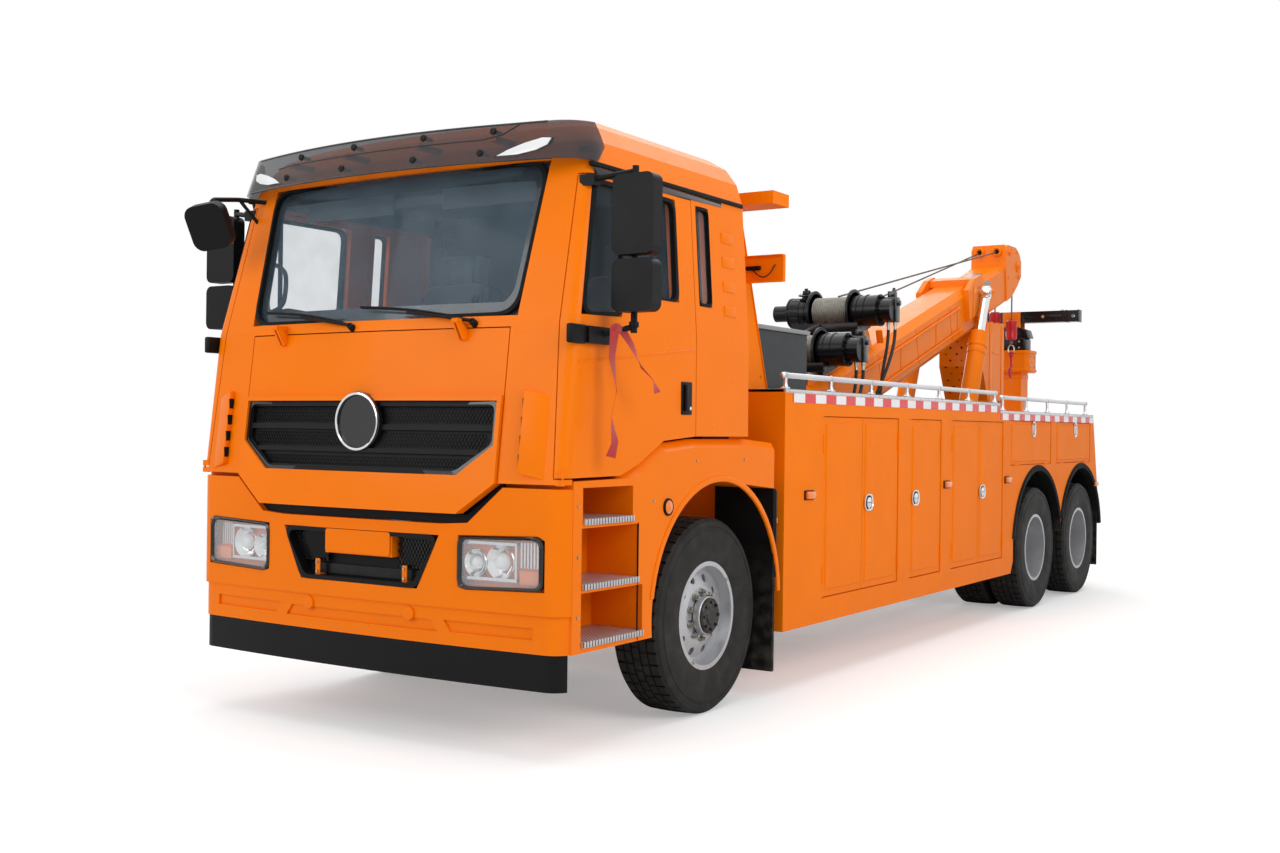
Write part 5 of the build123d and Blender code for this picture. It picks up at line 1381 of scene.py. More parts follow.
@dataclass
class CabSides:
    """Window seals, door handles, mirror glass, pressed ribs, gutters, the mirror foot and the ribbon."""

    door_window: tuple[Range, ...] = (
        (-1.335, 2.1), (-1.0, 2.11), (-0.93, 2.225), (-0.445, 2.225), (-0.445, 2.765), (-1.18, 2.765))
    quarter_window: tuple[Range, ...] = ((-0.235, 2.225), (-0.1, 2.225), (-0.1, 2.765), (-0.235, 2.765))
    mirror_x: float = 1.43
    mirror_y: float = -1.165

    def side_frame(self, outline: Sequence[Range], width: float, side: float, out: float,
                   thick: float, corner: float) -> Shape:
        """A closed frame on the cab's side, round a window."""
        shape = Shape()
        edge = rounded(outline, corner, 5)
        middle = Vector((sum(y for y, _ in edge) / len(edge), sum(z for _, z in edge) / len(edge)))
        rows = []
        for y, z in edge:
            way = (middle - Vector((y, z))).normalized() * width * 1.2
            rows.append([CAB.side(y, z, side, out - thick), CAB.side(y, z, side, out),
                         CAB.side(y + way.x, z + way.y, side, out),
                         CAB.side(y + way.x, z + way.y, side, out - thick)])
        return shape.ringed(rows)

    def windows(self, side: Side) -> None:
        """The rubber seals and the vent window's upright."""
        door = f"door_{side}"
        seal = self.side_frame(self.door_window, 0.022, side, 0.003, 0.03, 0.05)
        seal.piece(f"door_seal_{side}", RUBBER, door)
        quarter = self.side_frame(self.quarter_window, 0.014, side, 0.003, 0.03, 0.03)
        quarter.piece(f"quarter_seal_{side}", RUBBER)
        bar = Shape().box(*self.span(side, (-0.965, -0.945), (2.215, 2.76), (-0.024, -0.002)), 0.003)
        bar.piece(f"vent_upright_{side}", RUBBER, door)

    def span(self, side: float, y: tuple[float, float], z: tuple[float, float],
             out: tuple[float, float]) -> tuple[Vector, Vector]:
        """The corners of a box on the cab's side, by its range along, up and outwards."""
        base = CAB.at_height((z[0] + z[1]) / 2)[2]
        xs = sorted(side * (base + o) for o in out)
        return at(xs[0], y[0], z[0]), at(xs[1], y[1], z[1])

    def handle(self, side: Side) -> None:
        """The door handle: a black pocket with a grip, and the lock."""
        door = f"door_{side}"
        shape = Shape().box(*self.span(side, (-0.438, -0.328), (1.64, 1.815), (-0.01, 0.006)), 0.01, 3)
        shape.box(*self.span(side, (-0.418, -0.398), (1.66, 1.8), (0.004, 0.024)), 0.006, 3)
        shape.piece(f"handle_pocket_{side}", BLACK_PLASTIC, door)
        lock = Shape()
        lock.rod(CAB.side(-0.352, 1.675, side, 0.004), CAB.side(-0.352, 1.675, side, 0.01), 0.01, edge=0.001)
        lock.piece(f"door_lock_{side}", CHROME, door)

    def mirrors(self, side: Side) -> None:
        """The mirrors' glass, their housings' seams and the foot's clamps."""
        door = f"door_{side}"
        x, back = side * self.mirror_x, self.mirror_y + 0.04
        glass = Shape()
        for low, high in ((2.4, 2.75), (2.13, 2.35)):
            glass.box(at(x - 0.1, back - 0.001, low), at(x + 0.1, back + 0.002, high), 0.0, 2)
        glass.piece(f"mirror_glass_{side}", MIRROR, door)
        clamps = Shape()
        for z in (2.06, 2.42, 2.72, 2.2):
            tube = at(side * (self.mirror_x - 0.04), self.mirror_y + 0.045, z)
            clamps.rod(tube - Vector((0, 0, 0.014)), tube + Vector((0, 0, 0.014)), 0.024, edge=0.003)
        clamps.box(*self.span(side, (-1.45, -1.32), (1.96, 2.05), (-0.012, 0.022)), 0.01, 3)
        clamps.piece(f"mirror_clamps_{side}", BLACK_PLASTIC, door)

    def ribs(self, side: Side) -> None:
        """Four pressed ribs behind the quarter window and the crease on the door."""
        shape = Shape()
        for n in range(4):
            z = 2.19 + n * 0.135
            shape.box(*self.span(side, (0.03, 0.16), (z, z + 0.06), (-0.01, 0.007)), 0.006, 3)
        shape.piece(f"pressed_ribs_{side}", CAB_PAINT)
        Shape().slab([CAB.side(y, z, side, 0.012) for y, z in
                      ((-1.2, 2.822), (0.29, 2.822), (0.29, 2.846), (-1.2, 2.846))],
                     Vector((-side * 0.03, 0, 0)), 0.004).piece(f"gutter_{side}", RUBBER)
        top = Shape()
        top.slab([CAB.side(y, z, side, 0.004) for y, z in
                  ((-1.16, 2.775), (0.05, 2.795), (0.05, 2.82), (-1.18, 2.82))],
                  Vector((-side * 0.012, 0, 0)), 0.003)
        top.piece(f"window_rail_{side}", GLOSS_BLACK)
        crease = Shape()
        crease.slab([CAB.side(y, z, side, 0.004) for y, z in
                     ((-1.36, 1.868), (-0.3, 1.985), (-0.3, 1.995), (-1.36, 1.88))],
                     Vector((-side * 0.012, 0, 0)), 0.003)
        crease.piece(f"door_crease_{side}", CAB_PAINT, f"door_{side}")
        repeater = Shape().box(*self.span(side, (-1.19, -1.06), (1.985, 2.01), (-0.004, 0.008)), 0.004)
        repeater.piece(f"side_repeater_{side}", AMBER, f"door_{side}")

    def ribbon(self) -> None:
        """The red ribbon tied round the left mirror's foot, with two loose tails."""
        shape = Shape()
        knot = at(1.33, -1.18, 2.04)
        tails = (
            [(1.335, -1.2, 2.045), (1.33, -1.215, 1.9), (1.352, -1.205, 1.74), (1.335, -1.222, 1.62),
             (1.35, -1.212, 1.5), (1.338, -1.228, 1.43)],
            [(1.34, -1.17, 2.05), (1.372, -1.12, 1.97), (1.395, -1.06, 1.86), (1.42, -0.99, 1.8),
             (1.425, -0.96, 1.74)],
        )
        for points in tails:
            rows = []
            for n, (x, y, z) in enumerate(points):
                lean = 0.016 * cos(n * 1.3)
                across = Vector((lean, 0.018, 0.006 * sin(n * 2.1)))
                middle = at(x, y, z)
                rows.append((shape.mesh.verts.new(middle - across), shape.mesh.verts.new(middle + across)))
            for (a, b), (c, d) in zip(rows, rows[1:]):
                shape.mesh.faces.new((a, b, d, c))
        bmesh.ops.subdivide_edges(shape.mesh, edges=shape.mesh.edges[:], cuts=3, smooth=0.6,
                                  use_grid_fill=True)
        bmesh.ops.solidify(shape.mesh, geom=shape.mesh.faces[:], thickness=0.0012)
        shape.ball(knot, 0.03, (0.9, 1.1, 0.8))
        shape.piece("ribbon", RIBBON, "door_left", 60.0)

    def kerb(self) -> None:
        """The kerb mirror's glass and joint."""
        turn = Matrix.Rotation(radians(20), 4, "Z") @ Matrix.Rotation(radians(25), 4, "X")
        middle = at(-1.08, -1.57, 2.64)
        back = middle + (turn @ Vector((0, 0.031, 0)))
        glass = Shape()
        glass.box(back - Vector((0.098, 0.002, 0.108)), back + Vector((0.098, 0.002, 0.108)), turn=turn)
        glass.piece("kerb_mirror_glass", MIRROR)

    def build(self) -> None:
        """Makes everything on the cab's sides."""
        for side in Side:
            self.windows(side)
            self.handle(side)
            self.mirrors(side)
            self.ribs(side)
        self.ribbon()
        self.kerb()


@dataclass
class BumperFront:
    """The headlamps, the intake with its brackets, painted shade in the grooves and the towing eyes' covers."""

    nose: float = -1.525
    bow: float = 0.05
    half: float = 1.25
    lamp: tuple[Range, ...] = (
        (0.662, 0.806), (0.7, 0.796), (1.13, 0.812), (1.132, 1.03), (1.1, 1.048), (0.662, 1.034))

    def face(self, x: float, z: float, out: float = 0.0) -> Vector:
        """A point on the bumper's bowed face, whose corners are round."""
        corner = 0.11
        y = bowed(x, self.nose, self.half, self.bow)
        run = abs(x) - (self.half - corner)
        if run > 0:
            y += corner - sqrt(max(corner ** 2 - run ** 2, 0.0))
        return at(x, y - out, z)

    def curved(self, shape: Shape, outline: Sequence[Range], out: float, thick: float,
               strips: int = 16) -> Shape:
        """Adds a thin panel that follows the bumper's face."""
        return wrapped(shape, self.face, outline, out, thick, strips)

    def headlamp(self, side: Side) -> None:
        """One headlamp: housing, two round reflectors with projectors, amber part, strip and lens."""
        outline = [(side * x, z) for x, z in rounded(self.lamp, 0.03, 4)]
        back = Shape()
        self.curved(back, outline, -0.074, 0.004)
        back.piece(f"lamp_back_{side}", GLOSS_BLACK, "chassis", replaces=["lamps"] if side > 0 else ())
        bowls = Shape()
        for x, z, radius in ((0.735, 0.915, 0.062), (0.88, 0.925, 0.078)):
            centre = self.face(side * x, z, -0.07)
            bowls.spun([(0.0, 0.0), (0.004, radius * 0.45), (0.018, radius * 0.8), (0.04, radius),
                        (0.044, radius + 0.004), (0.04, radius + 0.007), (0.0, radius + 0.005)],
                       centre, Vector((0, -1, 0)), 40)
        bowls.piece(f"lamp_bowls_{side}", CHROME)
        inner = Shape()
        for low_x, high_x, low_z, high_z in ((0.668, 0.98, 0.835, 0.85), (0.668, 0.98, 1.006, 1.02),
                                             (0.968, 0.98, 0.835, 1.02)):
            self.curved(inner, [(side * low_x, low_z), (side * high_x, low_z), (side * high_x, high_z),
                                (side * low_x, high_z)], -0.022, 0.04, 6)
        for n in range(7):
            x = 0.995 + n * 0.018
            self.curved(inner, [(side * x, 0.905), (side * (x + 0.01), 0.905), (side * (x + 0.01), 1.025),
                                (side * x, 1.025)], -0.03, 0.03, 1)
        inner.piece(f"lamp_bezel_{side}", CHROME)
        bulbs = Shape()
        for x, z, radius in ((0.735, 0.915, 0.03), (0.88, 0.925, 0.042)):
            centre = self.face(side * x, z, -0.052)
            bulbs.spun([(0.0, radius), (0.012, radius), (0.024, radius * 0.8), (0.032, radius * 0.45),
                        (0.034, 0.0)], centre, Vector((0, -1, 0)), 32)
        bulbs.piece(f"lamp_projectors_{side}", CLEAR_WHITE)
        amber = Shape()
        self.curved(amber, [(side * x, z) for x, z in ((0.995, 0.828), (1.118, 0.828), (1.118, 0.892),
                                                       (0.995, 0.892))], -0.024, 0.03, 6)
        amber.piece(f"lamp_indicator_{side}", AMBER)
        lens = Shape()
        self.curved(lens, outline, -0.002, 0.004, 20)
        lens.piece(f"lamp_lens_{side}", LENS)
        trim = Shape()
        rows = []
        middle = Vector((side * 0.9, 0.922))
        for x, z in outline:
            way = (middle - Vector((x, z))).normalized() * 0.01
            rows.append([self.face(x - way.x * 1.4, z - way.y * 1.4, -0.02),
                         self.face(x - way.x * 1.4, z - way.y * 1.4, 0.004),
                         self.face(x - way.x * 0.4, z - way.y * 0.4, 0.01),
                         self.face(x + way.x * 1.3, z + way.y * 1.3, 0.001),
                         self.face(x + way.x * 1.3, z + way.y * 1.3, -0.02)])
        trim.ringed(rows)
        trim.piece(f"lamp_trim_{side}", GLOSS_BLACK)

    def tail_lamps(self) -> None:
        """The tail lamps: housing, red, amber and clear lenses."""
        red, amber, clear, housing = Shape(), Shape(), Shape(), Shape()
        for side in Side:
            for shape, low, high in ((red, 0.99, 1.07), (amber, 1.075, 1.13), (clear, 1.135, 1.185),
                                     (red, 0.925, 0.985)):
                shape.side_box(side, (low, high), (7.802, 7.842), (0.94, 1.03), 0.008, 3)
            housing.side_box(side, (0.915, 1.195), (7.801, 7.826), (0.928, 1.042), 0.01, 3)
        red.piece("tail_lamps_red", RED_LENS, replaces=["lamps"])
        amber.piece("tail_lamps_amber", AMBER)
        clear.piece("tail_lamps_clear", CLEAR_WHITE)
        housing.piece("tail_lamp_housings", BLACK_PLASTIC)

    def intake(self) -> None:
        """The black intake: its surround, honeycomb, bare plate panel, painted brackets and bar."""
        surround = Shape()
        rows = []
        outline = rounded(((-0.4, 0.77), (0.4, 0.77), (0.534, 1.039), (-0.534, 1.039)), 0.04, 5)
        for x, z in outline:
            way = (Vector((0.0, 0.905)) - Vector((x, z)))
            way = Vector((way.x / max(abs(way.x), 0.2), way.y / max(abs(way.y), 0.08))) * 0.022
            rows.append([self.face(x, z, -0.05), self.face(x, z, 0.004),
                         self.face(x + way.x, z + way.y, 0.004),
                         self.face(x + way.x, z + way.y, -0.06)])
        surround.ringed(rows)
        surround.piece("intake_surround", BLACK_PLASTIC)
        comb = Shape()
        cell = 0.021
        for row in range(9):
            z = 0.87 + row * cell * 0.866
            for n in range(-26, 27):
                x = (n + (0.5 if row % 2 else 0.0)) * cell
                if abs(x) < 0.245 or abs(x) > 0.375 + (z - 0.77) * 0.5:
                    continue
                comb.cell(self.face(x, z, -0.038), cell)
        for side in Side:
            self.curved(comb, [(side * 0.25, 0.862), (side * 0.44, 0.862), (side * 0.52, 1.03),
                               (side * 0.25, 1.03)], -0.05, 0.004, 8)
        comb.piece("intake_honeycomb", GLOSS_BLACK)
        plate = Shape()
        self.curved(plate,
                    rounded(((-0.222, 0.918), (0.222, 0.918), (0.222, 1.036), (-0.222, 1.036)), 0.012, 3),
                    0.002, 0.008, 10)
        plate.piece("plate_panel", CAB_PAINT)
        brackets = Shape()
        bolts = Shape()
        for side in Side:
            x = side * 0.3
            brackets.box(self.face(x, 0.845, 0.0) + Vector((-0.016, 0.02, -0.055)),
                         self.face(x, 0.845, 0.0) + Vector((0.016, 0.028, 0.03)), 0.003)
            brackets.box(self.face(x, 0.845, 0.0) + Vector((-0.016, 0.02, -0.055)),
                         self.face(x, 0.845, 0.0) + Vector((0.016, 0.07, -0.047)), 0.003)
            for dz in (-0.035, 0.012):
                head = self.face(x, 0.845 + dz, -0.02)
                bolts.rod(head, head + Vector((0, -0.007, 0)), 0.008, 0.008, 6)
        brackets.piece("plate_brackets", CAB_PAINT)
        bolts.piece("bracket_bolts", ZINC)
        bar = Shape()
        self.curved(bar, [(-0.385, 0.8), (0.385, 0.8), (0.385, 0.85), (-0.385, 0.85)], -0.06, 0.03, 12)
        bar.piece("intake_bar", SATIN_BLACK)

    def lines(self) -> None:
        """Painted shade: a black strip set back in the gap under the front panel; and the towing eyes' covers."""
        gap = Shape()
        low = ((-0.905, 1.272), (-0.7, 1.098), (0.7, 1.098), (0.905, 1.272))
        high = ((-0.88, 1.292), (-0.676, 1.142), (0.676, 1.142), (0.88, 1.292))
        # Painted shade: black strips 35 mm behind the bumper's face make the gap read dark.
        for n in (1, 2, 0):
            part = self.curved(Shape(), [low[n], low[n + 1], high[n + 1], high[n]], -0.035, 0.004, 12)
            copy = bpy.data.meshes.new("gap_part")
            part.mesh.to_mesh(copy)
            part.mesh.free()
            gap.mesh.from_mesh(copy)
            bpy.data.meshes.remove(copy)
        gap.piece("panel_gap_cover", BLACK_PLASTIC)
        hooks = Shape()
        for side in Side:
            hooks.stud(self.face(side * 0.345, 0.645, -0.012), (0, -0.014, 0), 0.034, 0.034, 32, 0.003)
        hooks.piece("tow_eye_covers", CAB_PAINT)

    def build(self) -> None:
        """Makes the bumper's pieces and the tail lamps."""
        for side in Side:
            self.headlamp(side)
        self.tail_lamps()
        self.intake()
        self.lines()


@dataclass
class StepsAndFenders:
    """Tread plates, markers, arch lips, splash liners and the flap's fixing strip."""

    steps: tuple[tuple[float, float, float], ...] = ((1.135, -1.323, -0.895), (0.83, -1.33, -0.843),
                                                     (0.56, -1.33, -0.8))
    inner_x: float = 0.94
    outer_x: float = 1.262
    fender_x: float = 1.25
    arch: tuple[float, float, float] = (-0.02, 0.594, 0.691)

    def treads(self, side: Side) -> None:
        """The bright tread plates with their turned front edges."""
        shape = Shape()
        for z, y_low, y_high in self.steps:
            run = (y_low + 0.006, y_high - 0.006)
            shape.side_box(side, (self.inner_x + 0.004, self.outer_x + 0.002), run, (z - 0.004, z + 0.0035),
                           0.0015)
            shape.side_box(side, (self.outer_x - 0.002, self.outer_x + 0.003), run, (z - 0.024, z + 0.0035),
                           0.0015)
        shape.piece(f"step_plates_{side}", TREAD)

    def arch_lip(self, side: Side) -> None:
        """The pressed lip that follows the front wheel arch."""
        y, z, radius = self.arch
        shape = Shape()
        count = 36
        rows = []
        for n in range(count + 1):
            angle = radians(2.0) + (pi - radians(11.0)) * n / count
            way = Vector((0.0, cos(angle), sin(angle)))
            centre = at(0.0, y, z)
            inner, outer = centre + way * (radius - 0.004), centre + way * (radius + 0.03)
            xs = (side * (self.fender_x - 0.012), side * (self.fender_x + 0.007))
            rows.append([Vector((x, p.y, p.z)) for x, p in
                         ((xs[0], inner), (xs[1], inner), (xs[1], outer), (xs[0], outer))])
        shape.ringed(rows, closed=False)
        bmesh.ops.bevel(shape.mesh, geom=[e for e in shape.mesh.edges if e.calc_face_angle(0.0) > 1.0],
                        offset=0.006, segments=2, profile=0.5, affect="EDGES", material=-1)
        shape.piece(f"arch_lip_{side}", CAB_PAINT)

    def markers(self, side: Side) -> None:
        """The round amber lamp on the fender and the small one on the mudguard."""
        centre = at(side * self.fender_x, -0.567, 1.165)
        axis = Vector((side, 0, 0))
        lens = Shape().spun([(0.0, 0.036), (0.01, 0.035), (0.016, 0.026), (0.018, 0.0)], centre, axis, 32)
        lens.side_box(side, (1.238, 1.252), (0.655, 0.664), (1.02, 1.05), 0.002)
        lens.piece(f"fender_marker_{side}", AMBER)
        rim = Shape().spun([(0.0, 0.046), (0.008, 0.045), (0.012, 0.038), (0.0, 0.036)], centre, axis, 32)
        rim.piece(f"fender_marker_ring_{side}", BLACK_PLASTIC)
        guard = Shape().side_box(side, (0.852, 1.249), (0.64, 0.664), (0.7, 1.215), 0.008, 3)
        for n in range(3):
            guard.stud(at(side * (0.92 + n * 0.13), 0.62, 0.6), (0, -0.008, 0), 0.014, 0.012, 12)
        guard.piece(f"mudguard_{side}", BLACK_PLASTIC)

    def lines(self, side: Side) -> None:
        """The step box's bolts and the seam between fender and step box."""
        seam = Shape().side_box(side, (self.fender_x - 0.006, self.fender_x + 0.0015), (-0.845, -0.84),
                                (0.515, 1.1))
        seam.piece(f"step_seam_{side}", RUBBER)
        bolts = Shape()
        for y, z in ((-1.36, 1.2), (-1.36, 0.96), (-1.36, 0.68), (-0.7, 1.2), (-0.28, 1.4), (0.25, 1.4)):
            bolts.stud(at(side * (self.fender_x - 0.004), y, z), (side * 0.009, 0, 0), 0.009, 0.008)
        bolts.piece(f"fender_bolts_{side}", ZINC)

    def build(self) -> None:
        """Makes both sides."""
        for side in Side:
            self.treads(side)
            self.arch_lip(side)
            self.markers(side)
            self.lines(side)


@dataclass
class DeckBody:
    """The body's latches, hinges, stripe, edging, arch trims, markers, deck plates and rear details."""

    half: float = 1.25
    front: float = 0.748
    step: float = 4.7
    rear: float = 7.605
    tops: tuple[float, float] = (1.811, 1.75)
    door_latches: tuple[float, ...] = (1.99, 2.825, 4.262)
    flap_latches: tuple[float, ...] = (5.62, 6.95)
    hinge_edges: tuple[float, ...] = (1.285, 2.505, 3.34, 3.565, 4.785)
    arches: tuple[float, float] = (5.775, 7.175)
    rail_posts: tuple[tuple[float, float, int, float, float], ...] = (
        (0.79, 0.63667, 7, 1.811, 1.895), (4.82, 0.63875, 5, 1.75, 1.865))

    def latch(self, side: Side, y: float, z: float, half: Range, body: str, number: int) -> None:
        """One bright oval paddle latch: its rim, dark dish, paddle and lock."""
        half_y, half_z = half
        outline = rounded([(y - half_y, z - half_z), (y + half_y, z - half_z), (y + half_y, z + half_z),
                           (y - half_y, z + half_z)], 0.045, 6)
        section = ((-0.002, 0.0), (0.008, 0.0), (0.01, 0.1), (0.004, 0.2), (-0.002, 0.2))
        rim = Shape().ringed([[at(side * (self.half + out), py + (y - py) * inward, pz + (z - pz) * inward)
                               for out, inward in section] for py, pz in outline])
        rim.slab([at(side * (self.half + 0.001), y + (py - y) * 0.5, z + (pz - z) * 0.62) for py,
                  pz in outline],
                 Vector((side * 0.008, 0, 0)), 0.002)
        rim.stud(at(side * self.half, y, z - half_z * 0.72), (side * 0.006, 0, 0), 0.008, sides=20)
        rim.piece(f"latch_{number}_{side}", CHROME, body)
        dish = Shape().slab([at(side * (self.half - 0.001), y + (py - y) * 0.86, z + (pz - z) * 0.86)
                             for py, pz in outline], Vector((side * 0.003, 0, 0)))
        dish.piece(f"latch_dish_{number}_{side}", BLACK_PLASTIC, body)

    def latches(self, side: Side) -> None:
        """All latches of one side, each on its own leaf."""
        for number, (y, leaf) in enumerate(zip(self.door_latches, (2, 3, 5))):
            self.latch(side, y, 1.09, (0.07, 0.056), f"locker_door_{leaf}_{side}", number + 1)
        for number, y in enumerate(self.flap_latches):
            self.latch(side, y, 1.6, (0.052, 0.072), f"locker_flap_{number + 1}_{side}", number + 4)

    def hinges(self, side: Side) -> None:
        """The painted hinge barrels on the doors' edges and under the flaps, and the side lamps."""
        shape = Shape()
        x = side * (self.half - 0.001)
        knuckles = ((-0.058, -0.021, 0.0085), (-0.019, 0.019, 0.0085), (0.021, 0.058, 0.0085),
                    (-0.062, 0.062, 0.0045))
        for y in self.hinge_edges:
            for z in (0.66, 1.485):
                for low, high, radius in knuckles:
                    edge = 0.001 if high < 0.06 else 0.0
                    shape.rod(at(x, y, z + low), at(x, y, z + high), radius, sides=14, edge=edge)
        for y in (5.575 - 0.42, 6.915 - 0.42, 5.575 + 0.42, 6.915 + 0.42):
            for low, high in ((-0.06, -0.021), (-0.019, 0.019), (0.021, 0.06)):
                shape.rod(at(x, y + low, 1.291), at(x, y + high, 1.291), 0.0085, sides=14, edge=0.001)
        shape.piece(f"locker_hinges_{side}", BODY_PAINT)
        lamp, foot = Shape(), Shape()
        start = self.half - 0.001
        for y, z in ((1.08, 1.17), (3.455, 1.17), (4.89, 1.17), (7.69, 1.06)):
            foot.side_box(side, (start, start + 0.008), (y - 0.066, y + 0.066), (z - 0.03, z + 0.03), 0.004)
            lamp.side_box(side, (start, start + 0.03), (y - 0.054, y + 0.054), (z - 0.023, z + 0.023), 0.01,
                          3)
        foot.piece(f"side_lamp_feet_{side}", BLACK_PLASTIC)
        lamp.piece(f"side_lamps_{side}", AMBER)

    def edging(self, side: Side) -> None:
        """The striped tape, the aluminium angle on the top edge with its rivets, and the rail's feet."""
        tape, angle, rivets, feet = Shape(), Shape(), Shape(), Shape()
        skin = (self.half - 0.002, self.half + 0.0025)
        spans = ((self.front + 0.1, self.front + 0.002, self.step - 0.004, self.tops[0]),
                 (self.step + 0.004, self.step + 0.004, self.rear - 0.01, self.tops[1]))
        for low, start, high, top in spans:
            tape.side_box(side, skin, (low, high), (top - 0.076, top - 0.021), 0.0004, 1)
            angle.side_box(side, skin, (start, high), (top - 0.019, top + 0.004), 0.001)
            angle.side_box(side, (self.half - 0.055, skin[1]), (start, high), (top, top + 0.004), 0.001)
            for n in range(int((high - start) / 0.15)):
                spot = at(side * (self.half + 0.002), start + 0.05 + n * 0.15, top - 0.01)
                rivets.stud(spot, (side * 0.003, 0, 0), 0.004, 0.003, 8)
        rail = side * (self.half - 0.022)
        for first, pitch, count, top, height in self.rail_posts:
            for n in range(count):
                feet.spun([(0.0, 0.03), (0.006, 0.03), (0.012, 0.018), (0.03, 0.0125), (0.034, 0.0125)],
                          at(rail, first + n * pitch, top + 0.004), Vector((0, 0, 1)), 24)
                feet.spun([(-0.008, 0.019), (0.0, 0.0205), (0.008, 0.019)],
                          at(rail, first + n * pitch, height),
                          Vector((0, 1, 0)), 24)
        for y, z in ((0.76, 1.895), (4.64, 1.895), (4.79, 1.865), (7.405, 1.865)):
            feet.ball(at(rail, y, z), 0.0185)
        tape.piece(f"striped_tape_{side}", TAPE)
        angle.piece(f"top_angle_{side}", ALUMINIUM)
        rivets.piece(f"angle_rivets_{side}", ZINC)
        feet.piece(f"rail_feet_{side}", ALUMINIUM)

    def arch_trims(self, side: Side) -> None:
        """The rubber trims round the rear arches and the liners behind them."""
        radius, base, count = 0.69, 0.545, 40
        between = sum(self.arches) / 2
        back, proud, flush = (side * (self.half + out) for out in (-0.06, 0.016, -0.002))
        hidden = (side * 0.705, side * (self.half - 0.05))
        trims, liners = Shape(), Shape()
        for y in self.arches:
            rows, shells = [], []
            centre = at(0.0, y, base)
            for n in range(count + 1):
                angle = radians(9.0) + (pi - radians(18.0)) * n / count
                way = Vector((0.0, cos(angle), sin(angle)))
                edge = centre + way * (radius - 0.006)
                narrow = abs(angle - pi / 2) > radians(72) and (y < between) == (cos(angle) > 0)
                out = centre + way * (radius + (0.009 if narrow else 0.05))
                section = ((back, edge), (proud - side * 0.006, edge), (proud, edge.lerp(out, 0.25)),
                           (proud, edge.lerp(out, 0.7)), (flush, out), (back, edge + way * 0.005))
                rows.append([Vector((x, p.y, p.z)) for x, p in section])
                inner = centre + way * (radius - 0.012)
                outer = inner + way * 0.008
                section = ((hidden[0], inner), (hidden[1], inner), (hidden[1], outer), (hidden[0], outer))
                shells.append([Vector((x, p.y, p.z)) for x, p in section])
            trims.ringed(rows, closed=False)
            liners.ringed(shells, closed=False)
        trims.piece(f"arch_trims_{side}", RUBBER, smooth=45.0)
        liners.piece(f"arch_liners_{side}", BLACK_PLASTIC)

    def deck(self) -> None:
        """Tread plates on the deck and walks, and the well's edge angles."""
        plates, edges = Shape(), Shape()
        front, back = self.tops
        thick = 0.003
        plates.box(at(-1.19, 0.765, front), at(1.19, 2.86, front + thick), 0.0008)
        for side in Side:
            for low, high, top in ((2.885, 4.655, front), (4.705, 7.59, back)):
                cuts = max(1, round((high - low) / 1.4))
                step = (high - low) / cuts
                for n in range(cuts):
                    run = (low + n * step + 0.003, low + (n + 1) * step - 0.003)
                    plates.side_box(side, (0.475, 1.19), run, (top, top + thick), 0.0008)
                edges.side_box(side, (0.452, 0.474), (low, high), (top - 0.03, top + 0.012), 0.003)
        plates.piece("deck_plates", DECK_PLATE)
        edges.piece("well_edges", BODY_PAINT)

    def tail(self) -> None:
        """The rear: tape on the posts' slopes, the under-run beam, bolts, reflectors and flap strips."""
        tape, beam, strips, reds, steel = Shape(), Shape(), Shape(), Shape(), Shape()
        lean = (7.8 - 7.605) / (1.75 - 0.98)
        for side in Side:
            xs = sorted((side * 1.15, side * 1.225))
            for n in range(6):
                z = 1.1 + n * 0.1
                y = 7.8 - (z - 0.98) * lean
                tape.slab([at(xs[0], y + 0.0015, z), at(xs[1], y + 0.0015, z),
                           at(xs[1], y - 0.0238, z + 0.094),
                           at(xs[0], y - 0.0238, z + 0.094)], Vector((0, 0.002, 0)))
                steel.stud(at(side * (0.76 + n * 0.09), 7.82, 0.882), (0, 0.008, 0), 0.008, 0.007)
            strips.side_box(side, (0.71, 1.24), (7.812, 7.822), (0.866, 0.898), 0.003)
            strips.side_box(side, (0.95, 1.238), (0.644, 0.652), (1.12, 1.15), 0.003)
            reds.stud(at(side * 0.82, 7.812, 0.985), (0, 0.012, 0), 0.04, 0.037, 32, 0.003)
            for z in (0.62, 0.74):
                steel.stud(at(side * 0.48, 7.7, z), (0, 0.035, 0), 0.016)
            beam.side_box(side, (0.47, 0.55), (7.5, 7.72), (0.56, 0.9), 0.006)
            beam.side_box(side, (0.3, 1.16), (7.7, 7.79), (0.5, 0.6), 0.012, 3)
        tape.piece("rear_tape", RED_TAPE)
        beam.piece("under_run_beam", FRAME_BLACK)
        strips.piece("flap_strips", ALUMINIUM)
        reds.piece("rear_reflectors", RED_LENS)
        steel.piece("rear_bolts", ZINC)

